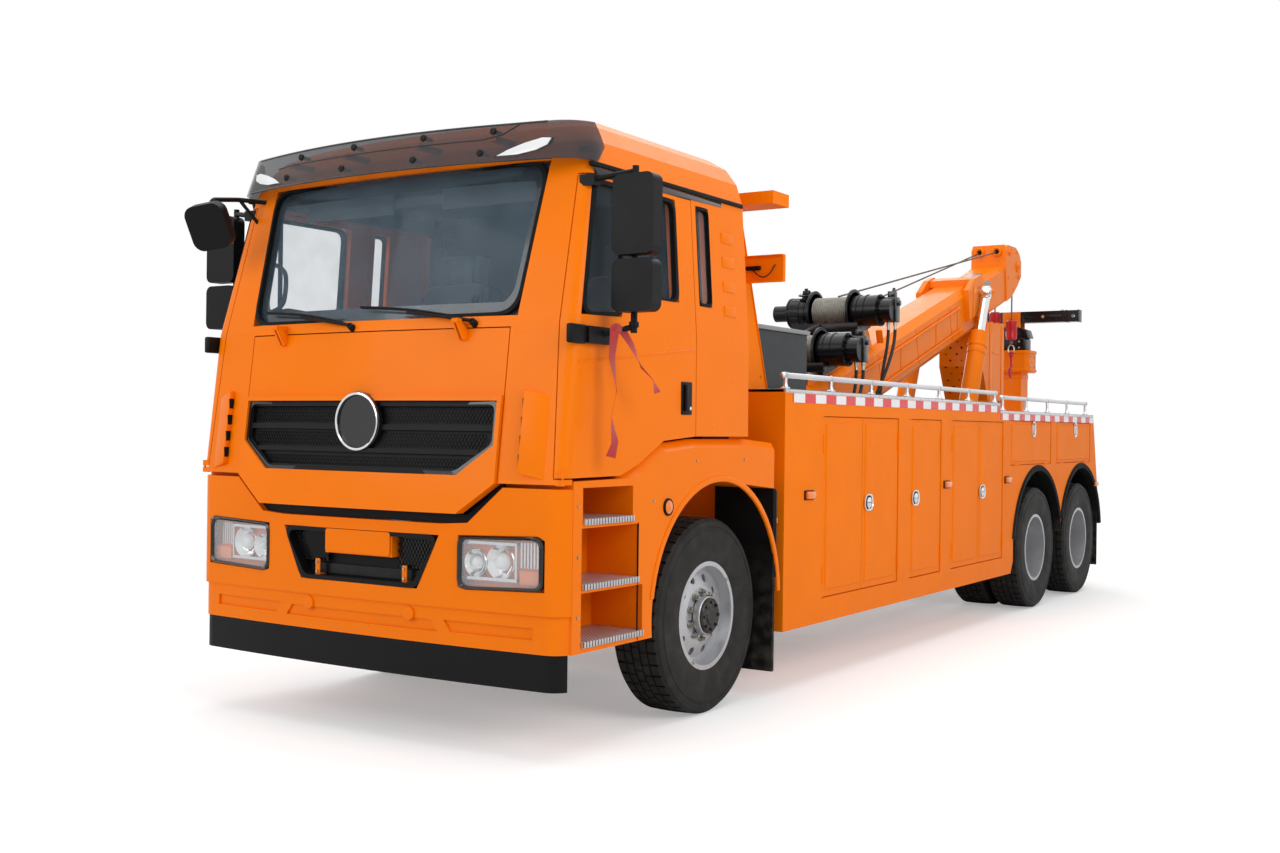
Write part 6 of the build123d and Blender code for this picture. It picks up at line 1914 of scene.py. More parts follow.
    def gantry(self) -> None:
        """The gantry's wire, plug, flanges and bolts, and the tank's rim, filler, gauge and hoses."""
        flange, black = Shape(), Shape()
        for z, low, high in ((2.45, 0.7, 0.728), (2.606, 0.7, 0.728)):
            flange.box(at(-1.249, low - 0.012, z - 0.003), at(1.249, high + 0.001, z + 0.003), 0.001)
        for side in Side:
            flange.slab([at(side * 0.852, 1.096, 1.815), at(side * 0.948, 1.096, 1.815),
                         at(side * 0.948, 0.717, 2.89),
                         at(side * 0.852, 0.717, 2.89)], Vector((0, 0.006, 0.002)), 0.001)
            for y, z in ((0.62, 2.8), (0.62, 2.5), (0.8, 1.9), (1.02, 1.9)):
                spot = at(side * 0.94, y, z)
                flange.rod(spot, spot + Vector((side * 0.008, 0, 0)), 0.011, 0.01, 6)
        flange.piece("gantry_flanges", BODY_PAINT)
        black.box(at(1.005, 0.68, 2.52), at(1.105, 0.7, 2.545), 0.006, 3)
        black.rod(at(0.6, 0.696, 2.95), at(0.6, 0.696, 2.61), 0.006, sides=10)
        black.piece("gantry_plug", BLACK_PLASTIC)
        hose("gantry_wire", [at(*p) for p in ((1.045, 0.69, 2.53), (1.075, 0.688, 2.495), (1.13, 0.686, 2.47),
             (1.175, 0.688, 2.5), (1.195, 0.69, 2.54), (1.2, 0.697, 2.548))], 0.0035, HOSE)
        rim, fittings = Shape(), Shape()
        for low, high in (((-0.716, 1.133), (0.716, 1.139)), ((-0.716, 2.167), (0.716, 2.173)),
                          ((-0.717, 1.133), (-0.711, 2.173)), ((0.711, 1.133), (0.717, 2.173))):
            rim.box(at(*low, 2.233), at(*high, 2.262), 0.001)
        rim.piece("tank_rim", GREY_STEEL)
        fittings.spun([(0.0, 0.055), (0.03, 0.055), (0.034, 0.062), (0.06, 0.062), (0.066, 0.05),
                       (0.066, 0.0)],
                      at(0.3, 1.45, 2.259), Vector((0, 0, 1)), 32)
        fittings.box(at(-0.3, 1.6, 2.259), at(0.05, 1.95, 2.275), 0.006)
        for x in (-0.28, -0.125, 0.03):
            for y in (1.62, 1.775, 1.93):
                fittings.rod(at(x, y, 2.272), at(x, y, 2.284), 0.01, 0.009, 6)
        for z in (1.9, 2.14):
            fittings.rod(at(0.7, 1.32, z), at(0.722, 1.32, z), 0.014, sides=12)
        fittings.rod(at(0.716, 1.32, 1.88), at(0.716, 1.32, 2.16), 0.008, sides=12)
        fittings.piece("tank_fittings", ZINC)
        for n, x in enumerate((-0.45, -0.32, 0.18)):
            hose(f"tank_hose_{n + 1}",
                 [at(*p) for p in ((x, 2.15, 2.02), (x, 2.23, 2.02), (x * 0.95, 2.33, 1.97),
                 (x * 0.9, 2.4, 1.87), (x * 0.8, 2.42, 1.815))], 0.017, HOSE)

    def build(self) -> None:
        """Makes the body's pieces on both sides."""
        for side in Side:
            self.latches(side)
            self.hinges(side)
            self.edging(side)
            self.arch_trims(side)
        self.deck()
        self.tail()
        self.gantry()


@dataclass
class Crane:
    """The winch drums with rope, valve blocks, hoses, ropes, weights and hooks, and the boom's trim."""

    drums: tuple[Range, ...] = ((3.485, 2.211), (4.125, 2.574))
    rope: float = 0.008
    head: tuple[float, float] = (8.43, 3.398)
    sheave: float = 0.126
    pivot: tuple[float, float] = (3.35, 1.684)
    angle: float = 17.5

    def along(self, s: float, h: float, x: float) -> Vector:
        """A place by its distance along and above the boom's axis."""
        rise = radians(self.angle)
        return at(x, self.pivot[0] + s * cos(rise) - h * sin(rise),
                  self.pivot[1] + s * sin(rise) + h * cos(rise))

    def drum(self, number: int, y: float, z: float) -> None:
        """The rope on one drum, turn by turn, the clutch, the ribs, the bolts and the valve block."""
        turns, wound = 20, 0.121
        profile = [(-0.168, 0.104)]
        for n in range(turns):
            start = -0.165 + n * 0.0165
            profile += [(start, wound - 0.006), (start + 0.0035, wound), (start + 0.008, wound + 0.0022),
                        (start + 0.0125, wound), (start + 0.016, wound - 0.006)]
        profile.append((0.168, 0.104))
        axis, middle = Vector((1, 0, 0)), at(0, y, z)
        Shape().spun(profile, middle, axis, 40).piece(f"drum_rope_{number}", ROPE_GREY, "boom", 25.0)
        trim = Shape()
        for x in (-0.19, 0.17):
            trim.spun([(0.0, 0.12), (0.0, 0.18), (0.004, 0.185), (0.016, 0.185), (0.02, 0.18), (0.02, 0.12)],
                      at(x, y, z), axis, 56)
        for low, high, radius in ((0.235, 0.25, 0.137), (0.3, 0.315, 0.137), (0.405, 0.422, 0.134),
                                  (-0.3, -0.285, 0.131), (-0.405, -0.385, 0.131), (-0.245, -0.232, 0.131)):
            trim.spun([(low, radius - 0.012), (low + 0.003, radius), (high - 0.003, radius),
                       (high, radius - 0.012)],
                      middle, axis, 40)
        for x, reach, length in ((0.42, 0.115, 0.014), (-0.4, 0.108, -0.014)):
            for spot in ring(at(x, y, z), reach, 10):
                trim.stud(spot, axis * length, 0.01, 0.009)
        for spot in ring(at(-0.33, y, z), 0.122, 14):
            trim.box(spot - Vector((0.04, 0.006, 0.006)), spot + Vector((0.04, 0.006, 0.006)), 0.002)
        top = at(-0.245, y - 0.02, z + 0.09)
        for low, high, radius, tip, sides, edge in (
                ((0.0, 0.0), (0.02, 0.06), 0.045, 0.045, 24, 0.004),
                ((0.02, 0.06), (0.024, 0.072), 0.075, 0.075, 32, 0.004),
                ((0.024, 0.072), (0.032, 0.1), 0.04, 0.03, 24, 0.004),
                ((0.032, 0.1), (0.036, 0.116), 0.016, 0.014, 6, 0.0)):
            start, end = (top + Vector((0, -back, rise)) for back, rise in (low, high))
            trim.rod(start, end, radius, tip, sides, edge)
        trim.box(at(-0.3, y - 0.215, z - 0.185), at(0.3, y - 0.165, z - 0.11), 0.006)
        trim.piece(f"winch_trim_{number}", SATIN_BLACK, "boom")
        self.valves(number, y, z)

    def valves(self, number: int, y: float, z: float) -> None:
        """The valve block at a winch's end, with its unions."""
        x, block, unions = 0.505, Shape(), Shape()
        block.box(at(x - 0.07, y + 0.015, z - 0.1), at(x + 0.04, y + 0.105, z + 0.11), 0.008, 3)
        block.box(at(x - 0.045, y + 0.03, z + 0.105), at(x + 0.02, y + 0.09, z + 0.16), 0.006, 3)
        block.rod(at(x, y + 0.06, z + 0.155), at(x, y + 0.06, z + 0.188), 0.018, 0.012, 12, 0.002)
        block.rod(at(x - 0.09, y + 0.06, z + 0.06), at(x + 0.06, y + 0.06, z + 0.06), 0.024, sides=16,
                  edge=0.003)
        block.rod(at(x - 0.012, y + 0.01, z - 0.02), at(x - 0.012, y + 0.125, z - 0.02), 0.026, sides=16,
                  edge=0.003)
        block.piece(f"valve_block_{number}", GLOSS_BLACK, "boom")
        for dx in (-0.045, 0.015):
            unions.stud(at(x + dx, y + 0.06, z - 0.13), (0, 0, 0.032), 0.017, 0.017)
            unions.stud(at(x + dx, y + 0.06, z - 0.16), (0, 0, 0.03), 0.014, 0.012, 16)
        unions.piece(f"valve_unions_{number}", ZINC, "boom")

    def hoses(self) -> None:
        """The hoses from the valve blocks into the well; they bend as the boom lifts."""
        for number, (y, z) in enumerate(self.drums):
            for n, dx in enumerate((-0.045, 0.015)):
                x = 0.505 + dx
                lean = 0.055 if n else 0.0
                points = [(x, y + 0.06, z - 0.15), (x, y + 0.062, z - 0.26),
                          (x - 0.03, y + 0.02 - lean, z - 0.5),
                          (0.44 - 0.03 * n, y - 0.06 - lean, 1.82),
                          (0.438 - 0.03 * n, y - 0.075 - lean, 1.62),
                          (0.432 - 0.03 * n, y - 0.08 - lean, 1.42),
                          (0.425 - 0.025 * n, y - 0.085 - lean, 1.332)]
                hose(f"winch_hose_{number + 1}_{n + 1}", [at(*p) for p in points], 0.0135, HOSE, "boom",
                     ("chassis", at(*points[1]), at(*points[5])))
        saddle = Shape()
        for y in (3.395, 4.035):
            saddle.box(at(0.391, y - 0.1, 1.33), at(0.429, y + 0.03, 1.345), 0.004)
        saddle.piece("hose_ports", ZINC)

    def ropes(self) -> None:
        """The two winch ropes to the boom's head, and each rope's drop with its weight and hook."""
        head_y, head_z = self.head
        count = 12
        for number, (x, (y, z)) in enumerate(zip((-0.095, 0.095), self.drums), 1):
            start = at(x * 0.4, y - 0.012, z + 0.128)
            entry = at(x, head_y - 0.385, head_z + self.sheave)
            way = (entry - start).normalized()
            line, over = Shape(), Shape()
            for n in range(count):
                line.rod(start.lerp(entry, n / count), start.lerp(entry, (n + 1) / count), self.rope,
                         sides=10)
            line.piece(f"winch_rope_{number}", self.wire(f"wire_rope_{number}", start, entry), "boom",
                       bend=("boom_extension", start + way * 0.3, entry))
            over.rod(entry, at(x, head_y, head_z + self.sheave), self.rope, sides=10)
            points = [at(x, head_y + self.sheave * sin(a), head_z + self.sheave * cos(a))
                      for a in [radians(9.0) * n for n in range(11)]]
            for a, b in zip(points, points[1:]):
                over.rod(a, b, self.rope, sides=10)
            over.piece(f"sheave_rope_{number}", ROPE_GREY, "sheave_blocks")
            self.drop(number, x, head_y + self.sheave)

    @staticmethod
    def wire(name: str, start: Vector, end: Vector) -> WireRope:
        """The finish of a wire rope between two places."""
        return WireRope(name, (0.3, 0.3, 0.3), 0.4, 0.9, start=tuple(start), end=tuple(end))

    def drop(self, number: int, x: float, y: float) -> None:
        """One rope's hanging end: rope, red weight, thimble, swivel and hook with its latch."""
        low = 2.6 if number == 2 else 2.7
        start, end = at(x, y, self.head[1]), at(x, y, low - 0.06)
        finish = WireRope(f"drop_rope_{number}", (0.3, 0.3, 0.3), 0.4, 0.9, start=tuple(start),
                          end=tuple(end))
        line = Shape().rod(start, end, self.rope, sides=12)
        line.rod(at(x, y, low - 0.045), at(x, y, low - 0.005), 0.014, sides=12, edge=0.002)
        line.piece(f"hook_rope_{number}", finish, "sheave_blocks")
        weight = Shape()
        weight.spun([(0.0, 0.0), (0.0, 0.048), (0.012, 0.06), (0.1, 0.061), (0.104, 0.059), (0.108, 0.061),
                     (0.205, 0.06), (0.217, 0.048), (0.217, 0.0)], at(x, y, low), Vector((0, 0, 1)), 40)
        weight.piece(f"hook_weight_{number}", RED_STEEL, "sheave_blocks")
        eye = Shape()
        rows = []
        for n in range(20):
            turn = tau * n / 20
            ring = Vector((sin(turn) * 0.034, 0.0, cos(turn) * (0.052 if cos(turn) > 0 else 0.04)))
            out = ring.normalized()
            middle = at(x, y, low - 0.108) + ring
            rows.append([middle + out * 0.008 * cos(a) + Vector((0, 0.01 * sin(a), 0))
                         for a in [tau * k / 8 for k in range(8)]])
        eye.ringed(rows).piece(f"rope_thimble_{number}", ZINC, "sheave_blocks")
        hook = Shape()
        top = low - 0.15
        hook.rod(at(x, y, top), at(x, y, top - 0.045), 0.026, 0.02, 16, 0.004)
        hook.rod(at(x - 0.03, y, top + 0.006), at(x + 0.03, y, top + 0.006), 0.011, sides=12, edge=0.002)
        hook.rod(at(x, y, top - 0.04), at(x, y, top - 0.13), 0.013, 0.013, 12)
        rows = []
        for n in range(15):
            turn = radians(-20 + n * 17.5)
            middle = at(x, y - 0.052 * sin(turn), top - 0.205 + 0.058 * cos(turn))
            out = Vector((0, -sin(turn), cos(turn)))
            thick = 0.021 - 0.011 * (abs(n - 6) / 8) ** 1.5
            rows.append([middle + out * thick * cos(a) + Vector((thick * 0.75 * sin(a), 0, 0))
                         for a in [tau * k / 10 for k in range(10)]])
        hook.ringed(rows, closed=False)
        hook.rod(at(x, y, top - 0.15), at(x, y, top - 0.115), 0.02, 0.016, 12, 0.002)
        hook.piece(f"hook_{number}", RED_STEEL, "sheave_blocks", 50.0)
        latch = Shape()
        latch.box(at(x - 0.006, y - 0.02, top - 0.168), at(x + 0.006, y + 0.046, top - 0.16), 0.002,
                  turn=Matrix.Rotation(radians(-35), 4, "X"))
        latch.piece(f"hook_latch_{number}", ZINC, "sheave_blocks")

    def boom_trim(self) -> None:
        """The boom's ribs, collar plates, gussets, bolts, pins and pipework."""
        trim, bolts, pipes = Shape(), Shape(), Shape()
        for s in (1.3, 2.2, 3.1):
            for side in Side:
                trim.slab([self.along(s + a, b, side * 0.219) for a, b in
                           ((-0.004, -0.165), (0.004, -0.165), (0.004, 0.165), (-0.004, 0.165))],
                          Vector((side * 0.005, 0, 0)), 0.001)
        for side in Side:
            trim.slab([self.along(3.7 + a, b, side * 0.272) for a, b in
                       ((-0.12, -0.05), (0.02, -0.05), (0.05, 0.24), (-0.02, 0.24))],
                      Vector((side * 0.006, 0, 0)), 0.002)
            for s, h in ((3.82, 0.1), (3.82, -0.1), (3.99, 0.1), (3.99, -0.1)):
                bolts.stud(self.along(s, h, side * 0.241), (side * 0.014, 0, 0), 0.014, 0.013)
            x = side * 0.236
            for h in (-0.10725, 0.10725):
                pipes.rod(self.along(0.6, h, x), self.along(3.35, h, x), 0.009, sides=12)
            for s in (0.9, 1.8, 2.7, 3.3):
                middle, half = self.along(s, 0, side * 0.222), Vector((0.004, 0.02, 0.125))
                pipes.box(middle - half, middle + half, 0.002)
            bolts.stud(at(side * 0.43, *self.pivot), (side * 0.016, 0, 0), 0.06, 0.056, 24, 0.004)
        for x in (-0.15, -0.05, 0.05, 0.15):
            for s in (3.83, 3.98):
                bolts.rod(self.along(s, 0.265, x), self.along(s, 0.279, x), 0.013, 0.012, 6)
        for s in (0.75, 1.07, 1.39):
            for side in Side:
                trim.slab([self.along(s + a, b, side * 0.182) for a, b in
                           ((-0.008, 0.242), (0.008, 0.242), (0.008, 0.36), (-0.008, 0.36))],
                          Vector((side * 0.06, 0, 0)), 0.002)
        trim.piece("boom_gussets", BOOM_PAINT, "boom")
        bolts.piece("boom_bolts", ZINC, "boom")
        pipes.piece("boom_pipes", BOOM_PAINT, "boom")

    def extension_trim(self) -> None:
        """The extension's wear strips, the head's bosses and bolts, and painted shade in the ropes' eyes."""
        strip, head, holes = Shape(), Shape(), Shape()
        flat = [(4.15, -0.075), (4.15, 0.075), (4.56, 0.075), (4.56, -0.075)]
        strip.slab([self.along(s, 0.2005, x) for s, x in flat],
                   self.along(0, 0.0035, 0) - self.along(0, 0, 0), 0.001)
        for side in Side:
            strip.slab([self.along(s, h, side * 0.1505) for s, h in
                        ((4.1, 0.1), (4.46, 0.1), (4.4, 0.165), (4.1, 0.165))],
                        Vector((side * 0.032, 0, 0)), 0.001)
        strip.piece("extension_wear_strips", GREY_STEEL, "boom_extension")
        for side in Side:
            for y, z, radius in ((*self.head, 0.062), (8.15, 3.52, 0.03), (8.47, 3.29, 0.026)):
                spot = at(side * 0.194, y, z)
                head.stud(spot, (side * 0.014, 0, 0), radius, radius - 0.004, 28, 0.003)
                head.stud(spot, (side * 0.026, 0, 0), radius * 0.42, radius * 0.38)
            for y, z in ((8.12, 3.25), (8.3, 3.14), (8.2, 3.555), (8.4, 3.555)):
                head.stud(at(side * 0.194, y, z), (side * 0.01, 0, 0), 0.013, 0.012)
            head.spun([(0.0, 0.052), (-0.012, 0.05), (-0.018, 0.04), (-0.01, 0.031), (0.012, 0.029)],
                      at(side * 0.095, 8.018, 3.524), Vector((0, 1, 0)), 36)
            # Painted shade: a black disc inside each eye stands for its dark opening.
            holes.stud(at(side * 0.095, 8.04, 3.524), (0, 0.006, 0), 0.027, sides=24)
        head.piece("head_bosses", BOOM_PAINT, "boom_extension")
        holes.piece("rope_eyes", BLACK_PLASTIC, "boom_extension")

    def cylinders(self) -> None:
        """The lift cylinders' glands, seals, ports and pins."""
        length = 1.3
        foot, eye = at(0.33, 6.238, 1.25), at(0.33, 7.0, 2.98)
        way = (eye - foot).normalized()
        dark, bright, caps = Shape(), Shape(), Shape()
        for side in Side:
            base = Vector((side * foot.x, foot.y, foot.z))
            for start, end, radius in ((length - 0.03, length + 0.002, 0.096),
                                       (length - 0.11, length - 0.05, 0.094),
                                       (0.15, 0.19, 0.095)):
                dark.rod(base + way * start, base + way * end, radius, sides=40, edge=0.004)
            bright.stud(base + way * (length + 0.002), way * 0.014, 0.062, 0.056, 32, 0.003)
            for distance in (0.24, length - 0.18):
                bright.stud(base + way * distance + Vector((0, 0.085, -0.03)), (0, 0.04, -0.014), 0.018,
                            0.018)
            pipe = base + Vector((0, 0.1, -0.04))
            dark.rod(pipe + way * 0.26, pipe + way * (length - 0.18), 0.01, sides=12)
            end = at(side * 0.394, 7.0, 2.98)
            caps.stud(end, (side * 0.01, 0, 0), 0.04, 0.036, 24, 0.003)
            caps.stud(end, (side * 0.02, 0, 0), 0.012, 0.011)
        dark.piece("cylinder_glands", BOOM_PAINT, "lift_barrels")
        bright.piece("cylinder_seals", ZINC, "lift_barrels")
        caps.piece("cylinder_pin_caps", BOOM_PAINT, "lift_rods")

    def build(self) -> None:
        """Makes the crane's pieces."""
        for number, (y, z) in enumerate(self.drums, 1):
            self.drum(number, y, z)
        self.hoses()
        self.ropes()
        self.boom_trim()
        self.extension_trim()
        self.cylinders()


@dataclass
class Underlift:
    """The mast's guides, holes and rest pad, the slide's bolts, the arm's collar head and crossbar."""

    front: float = 7.39
    rear: float = 7.89
    fold: tuple[float, float] = (8.935, 0.85)

    def mast(self) -> None:
        """Guide strips, painted shade in the round holes in the front, the ribs and the rest pad's rubber."""
        guides, shade_dots, plates, pad = Shape(), Shape(), Shape(), Shape()
        for side in Side:
            for y in (self.front + 0.03, self.rear - 0.1):
                guides.side_box(side, (0.229, 0.236), (y, y + 0.07), (0.7, 2.7), 0.002)
            for z in (1.2, 1.6, 2.0, 2.4):
                plates.side_box(side, (0.229, 0.236), (self.front + 0.11, self.rear - 0.11),
                                (z - 0.006, z + 0.006), 0.002)
        # Painted shade: black discs on the front stand for the dark insides of the round holes.
        for row in range(9):
            for column in range(2):
                x = -0.16 + column * 0.12 + (0.05 if row % 2 else 0.0)
                z = 1.98 + row * 0.066
                wide = 0.012 if (row + column) % 3 else 0.008
                slope = 0.1895 if z > 2.26 else 0.19 * (z - 1.9) / 0.35
                shade_dots.stud(at(x, self.front - slope - 0.002, z), (0, 0.008, 0), wide, sides=14)
        pad.box(at(-0.119, 7.452, 2.757), at(0.119, 7.676, 2.775), 0.004,
                turn=Matrix.Rotation(radians(17.5), 4, "X"))
        for x in (-0.18, 0.18):
            for y in (7.47, 7.62, 7.8):
                plates.stud(at(x, y, 2.716), (0, 0, 0.02), 0.014, 0.013)
        guides.piece("mast_guides", BOOM_PAINT)
        shade_dots.piece("mast_holes", FRAME_BLACK)
        plates.piece("mast_ribs", BOOM_PAINT)
        pad.piece("boom_rest_pad", RUBBER)

    def slide(self) -> None:
        """The carriage's bolts and ribs, and the fold pin's head with its keeper."""
        ribs, bolts = Shape(), Shape()
        for side in Side:
            x = side * 0.11
            for z in (0.8, 1.0, 1.2):
                bolts.stud(at(side * 0.259, self.rear - 0.06, z), (side * 0.012, 0, 0), 0.015, 0.014)
            ribs.slab([at(x, self.rear + 0.07, 1.0), at(x, self.rear + 0.42, 1.0),
                       at(x, self.rear + 0.07, 1.32)],
                      Vector((-side * 0.02, 0, 0)), 0.002)
            pin = at(side * 0.183, *self.fold)
            bolts.stud(pin, (side * 0.012, 0, 0), 0.056, 0.052, 28, 0.003)
            bolts.box(pin + Vector((-0.006, -0.075, 0.03)), pin + Vector((0.006, 0.02, 0.046)), 0.002)
            ribs.side_box(side, (0.04, 0.09), (8.05, 8.5), (0.998, 1.006), 0.002)
        ribs.piece("slide_ribs", BOOM_PAINT, "underlift_slide")
        bolts.piece("slide_bolts", ZINC, "underlift_slide")

    def arm(self) -> None:
        """The folded arm's bands and bolts, its dark collar and the black head under the crossbar."""
        y = self.fold[0]
        bands, black, bolts = Shape(), Shape(), Shape()
        for z in (1.1, 2.18):
            bands.box(at(-0.136, y - 0.126, z), at(0.136, y + 0.126, z + 0.05), 0.006)
        corners = ((0.188, -0.168), (0.228, -0.128), (0.228, 0.128), (0.188, 0.168))
        collar = [*corners, *((-x, dy) for x, dy in reversed(corners))]
        for low, high in ((2.262, 2.29), (2.462, 2.498)):
            bands.slab([at(x, y + dy, low) for x, dy in collar], Vector((0, 0, high - low)), 0.004)
        black.box(at(-0.168, y - 0.112, 2.5), at(0.168, y + 0.112, 2.64), 0.02, 3)
        wedge = ((-0.2, 2.64), (0.2, 2.64), (0.17, 2.733), (0.045, 2.776), (-0.045, 2.776), (-0.17, 2.733))
        black.slab([at(x, y - 0.104, z) for x, z in wedge], Vector((0, 0.208, 0)), 0.008, 3)
        for side in Side:
            for z in (2.32, 2.43):
                for dy in (-0.07, 0.07):
                    bolts.stud(at(side * 0.219, y + dy, z), (side * 0.01, 0, 0), 0.013, 0.012)
            for z in (2.53, 2.6):
                bolts.stud(at(side * 0.1, y - 0.111, z), (0, -0.01, 0), 0.012, 0.011)
        bands.piece("arm_bands", BOOM_PAINT, "underlift_arm")
        black.piece("arm_head", SATIN_BLACK, "underlift_arm")
        bolts.piece("arm_bolts", ZINC, "underlift_arm")

    def crossbar(self) -> None:
        """The crossbar's end frames, wear strips, locking pins and the cap it turns on."""
        y, z = self.fold[0], 2.876
        black, steel = Shape(), Shape()
        black.spun([(-0.082, 0.0), (-0.082, 0.04), (-0.076, 0.046), (-0.06, 0.046)], at(0, y, z),
                   Vector((0, 1, 0)), 28)
        for side in Side:
            for x in (0.6, 0.735):
                low, high = sorted((side * x, side * (x + 0.01)))
                black.slab([at(low, y + a, z + b) for a, b in
                            ((-0.068, -0.068), (0.068, -0.068), (0.068, 0.068), (-0.068, 0.068))],
                           Vector((high - low, 0, 0)), 0.002)
            steel.stud(at(side * 0.545, y, z + 0.06), (0, 0, 0.018), 0.022, 0.018, 16, 0.003)
            steel.stud(at(side * 0.35, y - 0.07, z), (0, 0.008, 0), 0.02, 0.02)
            black.side_box(side, (0.14, 0.56), (y - 0.066, y - 0.062), (z - 0.02, z + 0.02), 0.002)
        black.piece("crossbar_frames", SATIN_BLACK, "crossbar")
        steel.piece("crossbar_pins", ZINC, "crossbar")

    def pipes(self) -> None:
        """The hoses of the mast's cylinder, which hang between the mast and the frame."""
        for n, x in enumerate((0.262, 0.3)):
            hose(f"mast_hose_{n + 1}",
                 [at(*p) for p in ((x, 7.62, 1.9), (x + 0.02, 7.6, 1.7), (x + 0.03, 7.5, 1.45),
                 (x + 0.03, 7.3, 1.33), (x + 0.03, 7.1, 1.31))], 0.012, HOSE)

    def build(self) -> None:
        """Makes the underlift's pieces."""
        self.mast()
        self.slide()
        self.arm()
        self.crossbar()
        self.pipes()


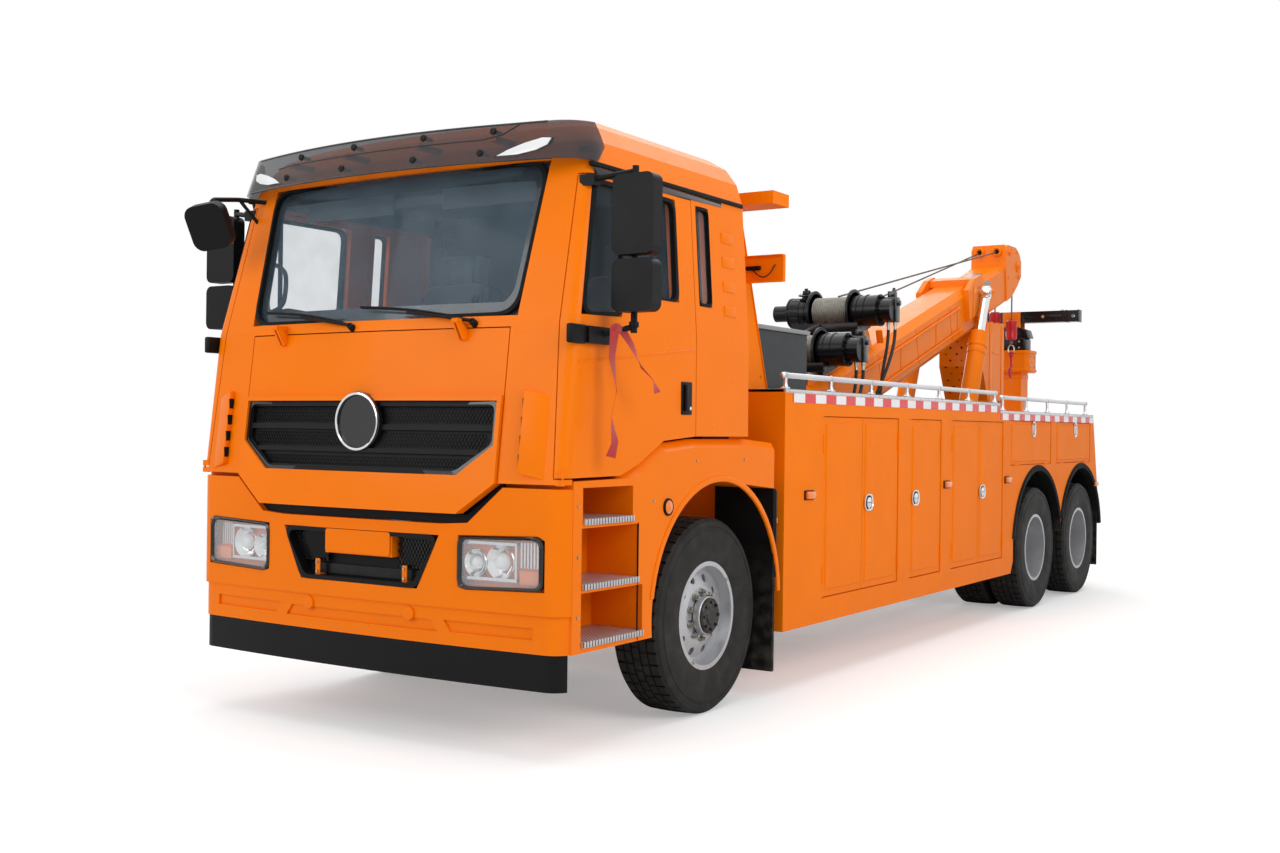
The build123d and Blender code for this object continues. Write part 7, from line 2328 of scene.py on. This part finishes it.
@dataclass
class Interior:
    """The dark lining, the two sprung seats, the dash, the wheel's hub, the screens and the grab handles."""

    seat_x: float = 0.62
    wheel: Point = (0.62, -0.835, 1.94)

    def lining(self) -> None:
        """The cloth lining of the back wall and roof, and the doors' inner boards."""
        cloth = Shape().box(at(-1.09, 0.224, 1.36), at(1.09, 0.236, 2.93), 0.004)
        cloth.box(at(-1.06, -1.05, 2.9), at(1.06, 0.225, 2.915), 0.004)
        for side in Side:
            cloth.side_box(side, (1.05, 1.062), (-1.05, 0.225), (2.8, 2.915), 0.004)
            cloth.side_box(side, (1.15, 1.164), (-0.08, 0.225), (1.4, 2.18), 0.004)
        cloth.piece("cab_lining", LINING)
        for side in Side:
            board = Shape().side_box(side, (1.15, 1.172), (-1.18, -0.33), (1.56, 2.07), 0.01, 3)
            board.side_box(side, (1.105, 1.155), (-0.9, -0.45), (1.88, 1.93), 0.014, 3)
            board.rod(at(side * 1.12, -0.42, 1.97), at(side * 1.12, -0.42, 1.78), 0.014, sides=14, edge=0.004)
            board.piece(f"door_board_{side}", GREY_PLASTIC, f"door_{side}")

    def seat(self, name: str, x: float) -> None:
        """One seat: a soft cushion and back with bolsters, the headrest, its stalks and the belt."""
        plan = (
            (SeatPart.CUSHION, (-0.32, 1.805), (0.5, 0.52, 0.1), 0.0),
            (SeatPart.BACK, (-0.07, 2.11), (0.48, 0.11, 0.66), radians(-11)),
            (SeatPart.HEADREST, (0.01, 2.525), (0.29, 0.095, 0.19), radians(-6)),
        )
        for part, middle, size, lean in plan:
            shape = Shape()
            turn = Matrix.Rotation(lean, 4, "X")
            centre, half = at(x, *middle), Vector(size) / 2
            shape.box(centre - half, centre + half, turn=turn)
            bmesh.ops.subdivide_edges(shape.mesh, edges=shape.mesh.edges[:], cuts=4, use_grid_fill=True)
            flat = part is SeatPart.CUSHION
            for vert in shape.mesh.verts:
                local = turn.inverted() @ (vert.co - centre)
                along = local.y / half.y if flat else local.z / half.z
                if (local.z > half.z * 0.9) if flat else (local.y < -half.y * 0.9):
                    bolster = 0.03 if abs(local.x / half.x) > 0.75 else -0.006
                    swell = 0.014 * (1 - along * along) + bolster
                    vert.co += turn @ Vector((0, 0, swell) if flat else (0, -swell, 0))
            finish = LINING if part is SeatPart.HEADREST else SEAT_CLOTH
            made = shape.piece(f"seat_{part.value}_{name}", finish, smooth=80.0)
            soft = made.modifiers.new("soft", "SUBSURF")
            soft.levels = soft.render_levels = 2
            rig.padded(made, fill=0.6)
        inner = x - 0.22 if x > 0 else x + 0.22
        belt = Shape().slab([at(inner - 0.024, -0.135, 2.36), at(inner + 0.024, -0.135, 2.36),
                             at(inner + 0.024, -0.235, 1.9), at(inner - 0.024, -0.235, 1.9)],
                             Vector((0, -0.003, 0)))
        belt.piece(f"seat_belt_{name}", BLACK_PLASTIC)
        stalks = Shape()
        for dx in (-0.07, 0.07):
            stalks.rod(at(x + dx, 0.005, 2.36), at(x + dx, 0.012, 2.46), 0.008, sides=10)
        stalks.piece(f"headrest_stalks_{name}", CHROME)

    def dash(self) -> None:
        """The dash's hood, screen, vents, switches, knobs and a blank sheet of paper on top."""
        hood, dark, knobs, sheet = Shape(), Shape(), Shape(), Shape()
        hood.box(at(0.33, -1.16, 1.985), at(0.91, -1.0, 2.075), 0.03, 4)
        hood.box(at(-0.16, -1.12, 1.84), at(0.3, -1.02, 2.05), 0.02, 3)
        hood.box(at(-1.0, -1.29, 2.03), at(1.0, -1.1, 2.058), 0.012, 3)
        hood.piece("dash_hood", GREY_PLASTIC)
        dark.box(at(0.38, -0.999, 1.99), at(0.86, -0.996, 2.06), 0.001)
        dark.box(at(-0.12, -1.019, 1.92), at(0.12, -1.015, 2.035), 0.001)
        for x in (-0.95, -0.3, 0.93):
            dark.box(at(x - 0.055, -1.052, 1.92), at(x + 0.055, -1.046, 1.985), 0.003)
        dark.piece("dash_screens", GLOSS_BLACK)
        for n in range(5):
            knobs.rod(at(-0.1 + n * 0.055, -1.021, 1.88), at(-0.1 + n * 0.055, -1.004, 1.88), 0.015, 0.013,
                      20, 0.002)
        middle = at(*self.wheel)
        way = Vector((0, 270, 170)).normalized()
        knobs.rod(middle - way * 0.02, middle + way * 0.03, 0.085, 0.07, 32, 0.012)
        for turn in (0.5, 2.64, 4.71):
            out = Vector((cos(turn), 0, 0)) + way.cross(Vector((1, 0, 0))) * sin(turn)
            knobs.rod(middle, middle + out * 0.225, 0.02, 0.014, 12, 0.004)
        knobs.piece("steering_hub", GREY_PLASTIC)
        sheet.slab([at(0.06, -1.26, 2.061), at(0.33, -1.24, 2.061), at(0.36, -1.13, 2.066),
                    at(0.09, -1.12, 2.064)],
                   Vector((0, 0, 0.001)))
        sheet.piece("paper_sheet", PAPER)

    def handles(self) -> None:
        """Grab handles on the front pillars, sun blinds and the overhead shelf."""
        for side in Side:
            hose(f"grab_handle_{side}", [at(side * x, y, z) for x, y, z in (
                (1.085, -1.15, 2.2), (1.0, -1.12, 2.215), (0.985, -1.105, 2.34), (1.0, -1.1, 2.46),
                (1.085, -1.12, 2.48))], 0.013, GREY_PLASTIC)
        shelf = Shape().box(at(-1.0, -1.06, 2.79), at(1.0, -0.8, 2.905), 0.02, 3)
        for side in Side:
            shelf.box(at(side * 0.5 - 0.33, -1.105, 2.7), at(side * 0.5 + 0.33, -1.092, 2.85), 0.006)
        shelf.piece("overhead_shelf", LINING)

    def build(self) -> None:
        """Makes the cab's inside."""
        self.lining()
        for side in Side:
            self.seat(str(side), side * self.seat_x)
        self.dash()
        self.handles()


def main() -> None:
    """Builds the studio and the whole truck, and writes the two boxes."""
    logging.basicConfig(level=logging.INFO, format="%(message)s")
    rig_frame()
    cad_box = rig.bounds()
    Studio().build()
    Coatings().build()
    Wheels().build()
    CabFront().build()
    CabSides().build()
    BumperFront().build()
    StepsAndFenders().build()
    DeckBody().build()
    Crane().build()
    Underlift().build()
    Interior().build()
    with open(SIZE_FILE, "w") as handle:
        json.dump({"cad": [list(corner) for corner in cad_box],
                   "visual": [list(corner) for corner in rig.bounds()]}, handle)


if __name__ == "__main__":
    main()
